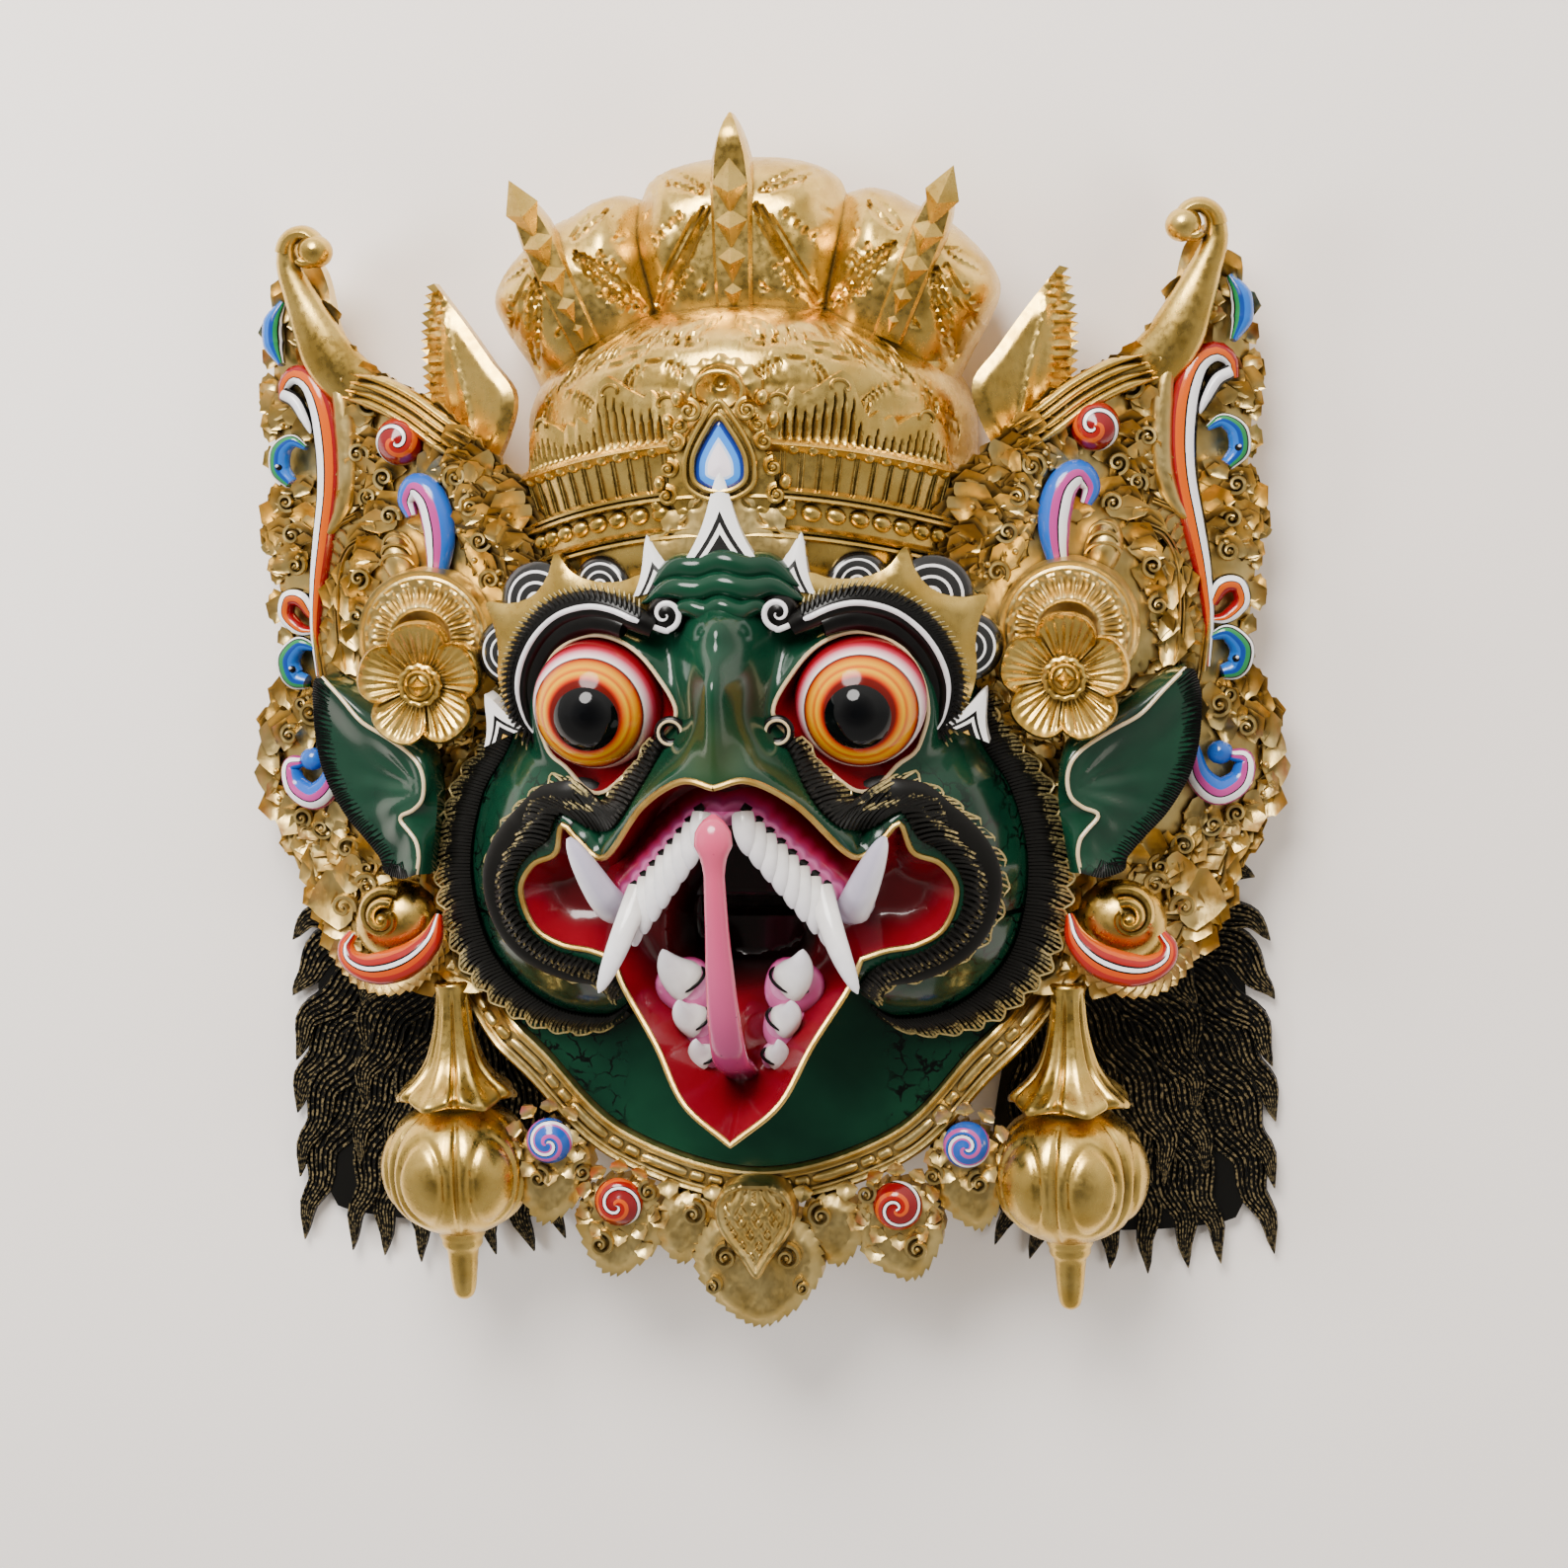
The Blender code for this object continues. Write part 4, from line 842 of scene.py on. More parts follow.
# %% Jaw and throat
jaw_rim = soft_line([(50, -84, 110)] + JAW_RIM, 40)
jaw_root = soft_line([(50, -84, 100)] + JAW_ROOT, 40)
t = np.linspace(0, 1, 14)[:, None, None]
belly = np.sin(np.pi * t) * np.array((0, -3.0, 0)) * np.linspace(0, 1, 40)[None, :, None]
loft = jaw_rim[None] * (1 - t) + jaw_root[None] * t + belly
jaw = Carving("vein", "glaze", "soot")
quads = grid_faces(14, 40, True)
jaw.add(loft, quads[:, ::-1])
jaw.add(loft * (-1, 1, 1), quads)
jaw.piece("jaw_outside", "green_lacquer", [green_enamel], "head")

# %% [markdown]
# The lining of the mouth starts at the lip, falls steeply and runs out in a floor, deeper in the middle,
# where the throat is cut through to the view slit. The deeper it lies, the darker the red: painted shade.

# %% Mouth lining
mouth_edge = both_sides(np.concatenate([soft_line(LIP, 80), soft_line([(50, -84, 110)] + JAW_RIM, 50)[1:]]))
SLIT = [(-21, -75.5), (21, -75.5), (21, -66.5), (-21, -66.5)]
throat_edge = soft_line(both_sides([(0, -34), (18, -43), (30, -62), (31, -84), (20, -96), (0, -100)]), 60,
                        True)
corners, faces = plan_net(mouth_edge, [SLIT], 1.7)
x, y = corners.T
far, at_lip, _ = nearest(corners, mouth_edge, True)
fall = np.clip(1 - far / 15, 0, 1) ** 1.7
floor_depth = 93 + 11 * ease(-y, 88, 112)
z = floor_depth + (at_lip[:, 2] - 0.6 - floor_depth) * fall
within = inside(corners, throat_edge)
from_throat = nearest(corners, throat_edge, True)[0]
z = z - within * ease(from_throat, 0, 9) * (z - 63)
z = z + 10 * np.exp(-((x / 7) ** 2)) * ease(-y, 92, 108) * ease(y, -140, -118)
mouth = Carving("deep")
# Painted shade: the mark deep darkens the red with depth and with distance from the lip.
deep = np.clip((118 - z) / 46, 0, 1) * ease(far, 3, 14)
mouth.add(np.stack([x, y, z], 1), faces, 0, deep=deep)
mouth.piece("mouth_lining", "crimson_paint", [throat_red_painted_shade], "head")

# %% [markdown]
# A thin raised line of gold runs all round the lip and the jaw.

# %% Lip line
lip = Carving("along", "height")
rim = mouth_edge + (0, 0, 0.4)
closed = np.concatenate([rim, rim[:1]])
lip.rod(closed, 1.25, 1.1, 8)
lip.piece("lip_line", "gold_leaf", [gold_line], "head")
# %% [markdown]
# The eye is a turned ball set into a red socket. Its rings are painted round the place that the mask looks
# from, and the pupil is a glossy dome of its own. The socket is a soft bowl from the cream rim to the ball.


# %% Eyes
def dome(centre, radius, sides=48, rings=18, reach=92):
    """The front of a ball: its points, its four-sided faces and the fan of triangles at its top."""
    tilt = np.radians(np.linspace(0, reach, rings))[1:, None]
    turn = 2 * np.pi * np.arange(sides) / sides
    ring = np.stack([radius * np.sin(tilt) * np.cos(turn), radius * np.sin(tilt) * np.sin(turn),
                     radius * np.cos(tilt) + 0 * turn], -1).reshape(-1, 3)
    points = np.concatenate([ring, [(0, 0, radius)]]) + centre
    first = np.arange(sides)
    fan = np.stack([np.full(sides, len(ring)), first, np.roll(first, -1)], 1)
    return points, round_faces(rings - 1, sides), fan


IRIS = (53.5, 17.0)
RING_SPAN = 28.0
eyes = Carving("ring")
pupils = Carving()
bowls = Carving("ring")
rims = Carving("along", "height")
points, quads, fan = dome(EYE, EYE_RADIUS, 64, 26)
ring = np.hypot(points[:, 0] - IRIS[0], points[:, 1] - IRIS[1]) / RING_SPAN
eyes.add(points, quads, 0, ring=ring)
eyes.add(points, fan, 0, ring=ring)
points, quads, fan = dome(np.array(PUPIL) - (0, 0, 2.6), PUPIL_RADIUS + 2.6, 48, 18, 100)
pupils.add(points, quads)
pupils.add(points, fan)
t = np.linspace(0, 1, 12)[:, None, None]
turn = np.arctan2(socket_line[:, 1] - EYE[1], socket_line[:, 0] - EYE[0])
inner = np.stack([EYE[0] + 22 * np.cos(turn), EYE[1] + 22 * np.sin(turn), np.full(len(turn), 111.0)], 1)
bowl = socket_line[None] * (1 - t) + inner[None] * t
bowl[..., 2] -= 3.0 * np.sin(np.pi * t[..., 0]) ** 0.8
index = np.arange(12 * len(turn)).reshape(12, len(turn))
nxt = np.roll(index, -1, axis=1)
bowls.add(bowl, np.stack([index[:-1], nxt[:-1], nxt[1:], index[1:]], -1).reshape(-1, 4)[:, ::-1])
rims.rod(np.concatenate([socket_line, socket_line[:1]]) + (0, 0, 0.3), 0.85, 0.8, 6)
for side, carvings in (("right", (eyes, pupils, bowls, rims)),
                       ("left", tuple(c.mirrored() for c in (eyes, pupils, bowls, rims)))):
    carvings[0].piece(f"eyeball_{side}", "accent_paint", [eye_rings], "head")
    carvings[1].piece(f"pupil_{side}", "black_paint", [pupil_black], "head")
    carvings[2].piece(f"eye_socket_{side}", "crimson_paint", [crimson], "head")
    carvings[3].piece(f"eye_rim_{side}", "gold_leaf", [cream_line], "head")

# %% [markdown]
# The brow is a black ridge over the socket with a comb of slanting strokes on its outer edge, and a white
# line that ends in a spiral beside the nose.

# %% Brows
BROW = [(27, 50), (34, 53.5), (44, 57.5), (54, 58.5), (66, 55), (76, 47), (83, 36), (86, 24), (84, 12),
        (79, 4)]
BROW_DEPTH = [127, 127, 124, 121, 116, 111, 107, 104, 102, 101]
brow_line = soft_line(np.column_stack([BROW, BROW_DEPTH]), 60)
t = np.linspace(0, 1, 60)
swell = 0.45 + 0.55 * np.sin(np.pi * np.clip(t * 0.93 + 0.05, 0, 1)) ** 0.6
normals = np.stack([-np.gradient(brow_line[:, 1]), np.gradient(brow_line[:, 0])], 1)
normals /= np.linalg.norm(normals, axis=1, keepdims=True)
normals *= np.sign(np.sum(normals * (brow_line[:, :2] - (52, 20)), axis=1))[:, None]
brows = Carving("along", "height", "across")
brows.rod(brow_line - (0, 0, 2), 6.6 * swell, 6.0 * swell, 16)
under_line = np.column_stack([brow_line[6:-3, :2] - normals[6:-3] * 6.6 * swell[6:-3, None],
                              brow_line[6:-3, 2] - 1.5])
brows.rod(under_line, 5.4 * swell[6:-3], 4.4 * swell[6:-3], 14)
points, quads, fan = dome((22, 55.3, 121), 8.2, 24, 10)
points[:, 2] = 121 + (points[:, 2] - 121) * 0.9
brows.add(points, quads, 0)
brows.add(points, fan, 0)
curl = spiral((22, 55.3), 6.6, 1.35, -62, -1, 44, 0.1)
white = np.column_stack([curl, 128.6 - 0.045 * np.hypot(curl[:, 0] - 22, curl[:, 1] - 55.3) ** 2])
stroke = brow_line[2:-2].copy()
stroke[:, 2] = brow_line[2:-2, 2] - 2 + 6.0 * swell[2:-2] + 0.15
white = soft_line(np.concatenate([white[::-1][:-2], stroke[3:]]), 150)
width = np.minimum(1.1, 0.35 + 8 * np.linspace(0, 1, 150)) * (1 - 0.6 * ease(np.linspace(0, 1, 150), 0.8, 1))
brows.rod(white, width, 0.55, 8, look=1)
along = np.gradient(brow_line[:, :2], axis=0)
along /= np.linalg.norm(along, axis=1, keepdims=True)
combs = []
for place in np.linspace(0.06, 0.97, 46):
    at = place * 59
    i = int(at)
    base = brow_line[i] + (brow_line[min(i + 1, 59)] - brow_line[i]) * (at - i)
    out, run = normals[i], along[i]
    reach = 6.6 * swell[i]
    steps = np.linspace(0, 1, 5)[:, None]
    flat = base[:2] + out * (reach * 0.45 + steps * 5.6) + run * (steps * 2.6 + 0.8 * steps**2)
    lift = base[2] + 3.4 * swell[i] - 4.2 * steps[:, 0] ** 1.6
    combs.append(np.column_stack([flat, lift]))
brows.rod(combs, np.array([0.5, 0.75, 0.75, 0.6, 0.25]), np.array([0.6, 0.8, 0.8, 0.6, 0.25]), 6, look=2)
brows.pair("brow_*", "black_paint", [black_enamel, white_enamel, fringe_paint], "head")

# %% [markdown]
# Behind each brow stands a gold plate with cusps, and between the cusps three fans of black and white arcs.
# The fans are shallow half domes, and the arcs are rings of the mark "ring".

# %% Brow plates and fans
arc_paint = enamel("black and white arc enamel", "ring",
                   [(0.0, "#0B0B0C"), (0.20, "#E9E6E6"), (0.27, "#0B0B0C"), (0.46, "#E9E6E6"),
                    (0.53, "#0B0B0C"), (0.73, "#E9E6E6"), (0.80, "#0B0B0C")], 0.22, "CONSTANT")
PLATE = [(27, 57), (28, 66), (33, 70), (41, 67.5), (50, 67), (58, 68.5), (64, 72), (69.5, 78.5), (73, 70),
         (77.5, 63.5), (84, 59.5), (92, 58), (101, 58.5), (98, 50), (96, 40), (96.5, 31), (95.5, 24),
         (92, 14), (86, 4), (82, 10), (84, 24), (80, 38), (72, 48), (60, 55), (46, 56), (34, 53)]


def plate_front(x, y):
    """The brow plate leans back towards the temple."""
    return 117 - 0.36 * (x - 32) - 0.05 * (y - 60)


plates = Carving("ring", "chevron")
outline = soft_line(PLATE, 110, True)
points, faces = slab_net(outline, plate_front, lambda x, y: plate_front(x, y) - 9, 3.0)
edge = nearest(points[:, :2], outline, True)[0]
points[:, 2] += np.where(points[:, 2] > plate_front(points[:, 0], points[:, 1]) - 4,
                         np.minimum(edge, 4) * 0.5, 0)
plates.add(points, faces, 0)
FANS = [((51, 65), 12.0, 0), ((79, 58.5), 16.0, -42), ((93, 38), 13.5, -88)]
for (cx, cy), radius, turn in FANS:
    rings, steps = 12, 30
    far = np.linspace(0, 1, rings)[:, None]
    angle = np.radians(np.linspace(-8, 188, steps) + turn)[None]
    x, y = cx + radius * far * np.cos(angle), cy + radius * far * np.sin(angle)
    z = plate_front(x, y) - 5.5 + 4 * np.sqrt(np.clip(1 - far**2, 0, 1))
    top = np.stack([x, y, z], -1).reshape(-1, 3)
    plates.add(top, grid_faces(rings, steps, True), 1, ring=np.broadcast_to(far, x.shape).ravel())
    skirt = np.concatenate([top[-steps:], top[-steps:] - (0, 0, 9)])
    k = np.arange(steps - 1)
    plates.add(skirt, np.stack([k, k + steps, k + 1 + steps, k + 1], 1), 1, ring=0.95)
chevrons = enamel("white enamel with black chevrons", "chevron",
                  [(0.0, "#EDEAE8"), (0.25, "#0B0A0A"), (0.40, "#EDEAE8"), (0.56, "#0B0A0A"),
                   (0.86, "#C99A45")], 0.25,
                  "CONSTANT")


def painted_leaf(store, foot, half, tall, lean, depth, thick, look, bend=0.0):
    """A pointed white leaf with chevrons: foot in plan, its lean in degrees, and its depth."""
    rows, columns = 26, 31
    b = np.linspace(0, 1, rows)[:, None]
    s = np.linspace(-1, 1, columns)[None]
    reach = half * (1 - b) ** 0.95 * (1 - 0.22 * np.sin(np.pi * b)) + 0.15
    a = s * reach
    up = tall * b + 0 * s
    z = depth + 1.6 * (1 - s**2) * (1 - 0.5 * b) + bend * b
    turn = math.radians(lean)
    x = foot[0] + a * math.cos(turn) - up * math.sin(turn)
    y = foot[1] + a * math.sin(turn) + up * math.cos(turn)
    mark = np.clip((reach - np.abs(a)) / half - 0.28 * b, 0, 1)
    top = np.stack([x, y, z], -1).reshape(-1, 3)
    index = np.arange(rows * columns).reshape(rows, columns)
    quads = grid_faces(rows, columns)
    rim = np.concatenate([index[0], index[1:, -1], index[-1, -2::-1], index[-2:0:-1, 0]])
    low = top[rim] - (0, 0, thick)
    below = len(top) + np.arange(len(rim))
    walls = np.stack([rim, below, np.roll(below, -1), np.roll(rim, -1)], 1)
    store.add(np.concatenate([top, low]), np.concatenate([quads, walls]), look,
              chevron=np.concatenate([mark.ravel(), np.zeros(len(rim))]))


painted_leaf(plates, (92.5, 5), 9.5, 19, -24, 103, 14, 2)
looks = [burnished_gold, arc_paint, chevrons]
plates.pair("brow_plate_*", "gold_leaf", looks, "head")

# %% [markdown]
# The moustache and beard are carved combs: rows of curved strands between a root line and a tip line. Each
# strand is a small tapered rod, bent in its run, and every few strands the tips draw together to a point.


# %% Fringes
def comb(roots, tips, count, bend, lift, thick, cluster=7, dip=0.14, sag=3.0):
    """Strands from a root line to a tip line, both (n, 3); bend is their curve in plan as a share."""
    start, end = soft_line(roots, count), soft_line(tips, count)
    order = np.arange(count)
    phase = (order % cluster) / (cluster - 1) * 2 - 1
    reach = 1 - dip * np.abs(phase) + chance.uniform(-0.03, 0.03, count)
    steps = np.linspace(0, 1, 8)
    lines = []
    for i in range(count):
        way = (end[i] - start[i]) * reach[i]
        side = np.array((-way[1], way[0], 0)) * bend
        draw = np.array((-way[1], way[0], 0)) * phase[i] * -0.06
        t = steps[:, None]
        line = start[i] + way * t + side * np.sin(np.pi * t) + draw * t**2
        line[:, 2] += lift * np.sin(np.pi * steps * 0.8) - sag * steps**2 + chance.uniform(-0.25, 0.25)
        lines.append(line)
    taper = np.array([0.7, 1, 1.05, 1.0, 0.95, 0.85, 0.7, 0.3])
    return rods(lines, thick * taper, thick * 1.3 * taper, 6), np.array(lines)


def tuft_edges(store, lines, cluster, thick):
    """A gold-lit edge round the tips of every cluster of strands."""
    edges = []
    for first in range(0, len(lines) - cluster + 1, cluster):
        tuft = lines[first:first + cluster]
        edge = np.concatenate([tuft[0, 4:7], tuft[:, -1], tuft[-1, 6:3:-1]])
        edges.append(soft_line(edge + (0, 0, 0.6), 24))
    points, quads, _ = rods(edges, thick * np.interp(np.arange(24), [0, 5, 18, 23], [0.2, 1, 1, 0.2]),
                            thick, 6)
    store.add(points, quads, 0, along=1, height=1)


def on_face(line, lift):
    line = np.asarray(line, float)
    return np.column_stack([line, face_front(line[:, 0], line[:, 1]) + lift])


INNER_ROOT = [(25, 3), (31, -9), (38.5, -20.5), (46, -28.5), (54, -30), (60, -26.5), (66, -23), (70, -26),
              (74, -34.5), (82, -40.5), (88.5, -48), (91, -57.5), (88.5, -68), (82, -76.5), (72, -82.5),
              (60, -85.5), (53, -90), (48, -97)]
INNER_TIP = [(31, 7), (37.5, -3), (46, -12.5), (52.5, -19.5), (57, -19.5), (61, -14), (68, -8), (80, -14),
             (89, -22), (99, -32), (106.5, -46), (108, -60), (103, -76), (92, -88), (76, -95.5), (63, -98),
             (58, -103), (55, -109)]
beard = Carving("along", "height")
inner_root = soft_line(INNER_ROOT, 70)
inner_tip = soft_line(INNER_TIP, 70)
middle = on_face(inner_root * 0.56 + inner_tip * 0.44, -1.6)
half = np.linalg.norm(inner_tip - inner_root, axis=1) * 0.40
points, quads, marks = rods(middle, half, 2.6, 12)
beard.add(points, quads, 0, along=0, height=-1)
(points, quads, marks), strands = comb(on_face(inner_root, 1.0), on_face(inner_tip, 1.0), 94, 0.12, 2.8,
                                       1.15, 5, 0.13)
beard.add(points, quads, 0, **marks)
tuft_edges(beard, strands, 5, 0.5)
(points, quads, marks), _ = comb(on_face(inner_root, 2.2),
                                 on_face(inner_root * 0.45 + inner_tip * 0.55, 2.4), 72, 0.14, 2.0, 1.0, 5,
                                 0.16)
beard.add(points, quads, 0, **marks)

cheek = cheek_line[(cheek_line[:, 0] > 50) & (cheek_line[:, 1] < 16) & (cheek_line[:, 1] > -119.5)]
cheek = cheek[np.argsort(-np.unwrap(np.arctan2(cheek[:, 1] + 20, cheek[:, 0])))]
cheek = soft_line(cheek, 60)
out = cheek - FACE_MIDDLE
out /= np.linalg.norm(out, axis=1, keepdims=True)
t = np.linspace(0, 1, 60)
long = 7 + 9 * np.sin(np.pi * np.clip(t * 1.05, 0, 1)) ** 0.7
root = np.column_stack([cheek - out * 3.0, np.full(60, 77.0)])
tip = np.column_stack([cheek + out * long[:, None] * 1.06, np.full(60, 64.0)])
band = np.column_stack([cheek + out * (long[:, None] * 0.30), np.full(60, 65.0)])
points, quads, marks = rods(band, long * 0.46, 5.0, 12)
beard.add(points, quads, 0, along=0, height=-1)
(points, quads, marks), strands = comb(root, tip, 124, 0.10, 3.2, 1.12, 6, 0.22, 1.0)
beard.add(points, quads, 0, **marks)
tuft_edges(beard, strands, 6, 0.6)
beard.pair("beard_*", "black_paint", [fringe_paint], "head")

# %% [markdown]
# The nostrils are small rings with a cream line, at the head of the moustache.

# %% Nostrils
nostrils = Carving("along", "height")
turn = np.radians(np.linspace(0, 360, 25))
for side in (-1, 1):
    ring = np.column_stack([side * (21 + 4.6 * np.cos(turn)), 9.4 + 4.6 * np.sin(turn),
                            face_front(21, 9.4) + 2.6 + 0 * turn])
    nostrils.rod(ring, 2.0, 1.8, 8)
    ring[:, 2] += 1.9
    nostrils.rod(ring, 0.6, 0.5, 6, look=1)
nostrils.piece("nostrils", "black_paint", [black_enamel, cream_line], "head")

# %% [markdown]
# The upper gum is a rounded ridge that slopes back to both sides, painted in scalloped bands from violet to
# light pink around the teeth. The mark "band" is the distance from the row of teeth, rippled tooth by tooth.

# %% Gums
TOOTH_ROW = soft_line([(5, -26), (16, -38), (27, -50), (38, -62)], 40)
GUM = [(0, -14), (12, -13), (26, -22), (40, -36), (50, -46), (53, -53), (46, -63), (38, -62), (28, -52),
       (17, -40), (8, -30), (0, -27)]
gum_line = soft_line(both_sides(GUM), 120, True)
corners, faces = plan_net(gum_line, [], 1.4)
x, y = corners.T
edge = nearest(corners, gum_line, True)[0]
from_row, _, place = nearest(np.stack([np.abs(x), y], 1), TOOTH_ROW)
scallop = np.abs(np.sin(place * np.pi * 7))
z = 141 - 0.5 * np.abs(x) - 14 * (1 - ease(edge, -3, 8))
z = z + 1.4 * np.exp(-((from_row - 5 - scallop) / 1.5) ** 2)
gums = Carving("band")
gums.add(np.stack([x, y, z], 1), faces, 0, band=np.clip((from_row - 1.5 * scallop - 1) / 13, 0, 1))
LOWER_TEETH = [((20.5, -94, 108), (28, -78, 121), 8.4), ((17.5, -110, 108), (22.5, -99, 119), 7.0),
               ((14.0, -125, 108), (16.5, -115.5, 116), 5.4)]
for (cx, cy, cz), _, radius in LOWER_TEETH:
    for side in (-1, 1):
        for step, (reach, low_by, share) in enumerate(((1.45, 2.6, 0.5), (1.12, 1.2, 0.08))):
            reach = min(reach, 1.16) if radius < 6 else reach
            low_by = 0 if radius < 6 else low_by
            centre = (side * (cx + 1.2 * (1 - step)), cy - low_by, cz)
            points, quads, fan = dome(centre, radius * reach, 30, 12, 90)
            lobes = 1 + 0.05 * np.cos(3 * np.arctan2(points[:, 1] - cy, np.abs(points[:, 0]) - cx))
            flat = 0.62 + 0.16 * step + 0 * lobes
            points = (points - (side * cx, cy, cz)) * np.stack([lobes, lobes, flat], 1)
            points += (side * cx, cy, cz - 4.0 + 1.0 * step)
            band = share + 0.3 * (1 - np.clip((points[:, 2] - cz + 6) / (radius * 0.8), 0, 1)) * (1 - step)
            gums.add(points, quads, 0, band=band)
            gums.add(points, fan, 0, band=band)
gums.piece("gums", "pink_paint", [gum_bands], "head")

# %% [markdown]
# The upper teeth overlap like shingles, each a flat tapering blade that starts in the gum and points down
# and outward, and the last one is the long fang.


# %% Teeth and tusks
def blade_tooth(root, tip, width, thick, bow, count=12):
    """A tooth from root to tip, widest near its root, with a softly ridged back; bow lifts its middle."""
    t = np.linspace(0, 1, count)
    line = np.asarray(root, float) + (np.asarray(tip, float) - root) * t[:, None]
    line[:, 2] += bow * np.sin(np.pi * t)
    shape = np.sqrt(np.clip(1 - ((t - 0.25) / 0.78) ** 2, 0.004, 1))
    return rods(line, width * shape, thick * np.sqrt(shape), 12)


upper = Carving("along", "height", "across")
gaps = Carving()
for i, at in enumerate(soft_line([(5.5, -27), (15, -38), (25, -49.5), (34, -59)], 8)):
    depth = 139 - 0.5 * at[0]
    root = (at[0] + 2.2, at[1] + 6.0, depth + 1.2)
    tip = (at[0] + 4.2, at[1] - 10 - 0.9 * i, depth + 1.6 + 0.3 * i)
    points, quads, marks = blade_tooth(root, tip, 4.5, 3.0, 2.0)
    upper.add(points, quads, 0, **marks)
    gaps.rod(np.linspace((at[0] + 1.4, at[1] + 7.4, depth - 0.2), (at[0] + 4.6, at[1] + 5.4, depth),
                         4), 3.0, 1.6, 8)
upper.rod(soft_line([(36, -53, 124), (39.5, -64, 131), (44.5, -77, 136), (51, -92, 138)], 22),
          5.0 * np.sqrt(np.clip(1 - np.linspace(-0.25, 1, 22) ** 2, 0.003, 1)),
          3.6 * np.sqrt(np.clip(1 - np.linspace(-0.2, 1, 22) ** 2, 0.004, 1)), 14)
for side, teeth, dark in (("right", upper, gaps), ("left", upper.mirrored(), gaps.mirrored())):
    teeth.piece(f"teeth_{side}", "ivory_paint", [tooth_white], f"upper_teeth_{side}")
    dark.piece(f"tooth_gaps_{side}", "black_paint", [black_enamel], "head")
tusk = Carving("along", "height", "across")
t = np.linspace(0, 1, 26)
line = soft_line([(48, -66, 93), (47, -64, 112), (50.5, -57, 122), (56, -45, 128), (62, -31.5, 132)], 26)
tusk.rod(line, 7.2 * np.sqrt(np.clip(1 - ((t - 0.25) / 0.76) ** 2, 0.004, 1)),
         5.4 * np.sqrt(np.clip(1 - ((t - 0.2) / 0.81) ** 2, 0.004, 1)), 16)
tusk.pair("tusk_form_*", "ivory_paint", [tusk_white], "tusk_*")
for number, (foot, top, radius) in enumerate(LOWER_TEETH, 1):
    tooth = Carving("along", "height", "across")
    foot, top = np.array(foot, float), np.array(top, float)
    t = np.linspace(0, 1, 16)
    line = foot + (top - foot) * t[:, None] + np.array((1.2, -0.8, 0)) * (np.sin(np.pi * t) * 1.2)[:, None]
    tooth.rod(line, radius * (1 - t**1.5) ** 0.8 + 0.25, radius * 0.72 * (1 - t**1.6) ** 0.8 + 0.25,
              14, up=(0, 0.4, 1))
    turn = np.linspace(0, 2 * np.pi, 25)
    way = (top - foot) / np.linalg.norm(top - foot)
    one = np.cross(way, (0, 0, 1))
    one /= np.linalg.norm(one)
    two = np.cross(way, one)
    ring = foot + way * 1.6 + radius * (np.cos(turn)[:, None] * one + 0.74 * np.sin(turn)[:, None] * two)
    tooth.rod(ring, 0.75, 0.75, 6, up=tuple(way), look=1)
    tooth.pair(f"lower_tooth_form_*_{number}", "ivory_paint", [tooth_white, black_enamel],
               f"lower_tooth_*_{number}")

# %% [markdown]
# The tongue is a long flat ribbon that rises out of the jaw and ends in a bulb under the beak. It is violet
# at its root and lighter pink towards the bulb, with raised edges that carry a painted highlight.

# %% Tongue
TONGUE = [(0, -131, 106), (0, -126, 118), (0, -119, 135), (0, -104, 147), (0, -86, 154.5), (0, -69, 159),
          (0, -50, 162.5), (0, -34, 164), (0, -25, 164), (0, -18, 161)]
line = soft_line(TONGUE, 60)
t = np.linspace(0, 1, 60)
half = np.interp(t, [0, 0.12, 0.3, 0.5, 0.68, 0.83, 0.875, 0.915, 0.95, 0.98, 1],
                 [7, 7.4, 6.9, 5.8, 4.6, 4.0, 4.9, 7.4, 7.0, 4.6, 1.0])
thick = np.interp(t, [0, 0.84, 0.91, 0.97, 1], [4.2, 3.4, 5.4, 4.0, 0.6])
tongue = Carving("tint", "across", "along")
points, quads, marks = rods(line, half, thick, 20)
# Painted highlight: lighter pink along the raised edges.
painted_edge_highlight = np.clip(np.abs(marks["across"]) - 0.8, 0, 1) * 2
tongue.add(points, quads, 0, tint=np.clip(marks["along"] * 1.15 + painted_edge_highlight, 0, 1), across=marks["across"],
           along=marks["along"])
tongue.piece("tongue_form", "pink_paint", [tongue_pink], "tongue")

# %% [markdown]
# Thick folds of skin lie over the root of the beak. The carver leaves them as rolls, each lower than the one
# below it, and the varnish makes a bright line on every one.

# %% Forehead rolls
rolls = Carving()
for middle, side, depth, wide in (((0, 74.5), (27, 67.5), 122.5, 5.6), ((0, 66), (29, 61.5), 124.5, 5.4),
                                  ((0, 57.5), (19, 56.5), 126.0, 4.6)):
    bow = np.linspace(-1, 1, 61)
    x = side[0] * bow
    y = middle[1] + (side[1] - middle[1]) * np.abs(bow) ** 2.4 + 0.9 * np.cos(bow * math.pi * 3)
    z = depth - 9.5 * bow**2 + 0.8 * np.sin(bow * math.pi * 2.5)
    rolls.rod(np.stack([x, y, z], 1)[None], wide * (1 - 0.75 * np.abs(bow) ** 5), 7.0, 20)
rolls.piece("forehead_rolls", "green_lacquer", [green_enamel], "head", angle=60)
# %% [markdown]
# The crown's cap is a dome behind a diadem. Every tier of the diadem runs round the same axis, so the whole
# cap is one skin: rows of a profile turned round that axis, with rays, teeth and engravings pressed into it.
# The tiers droop at the sides as the real diadem does.

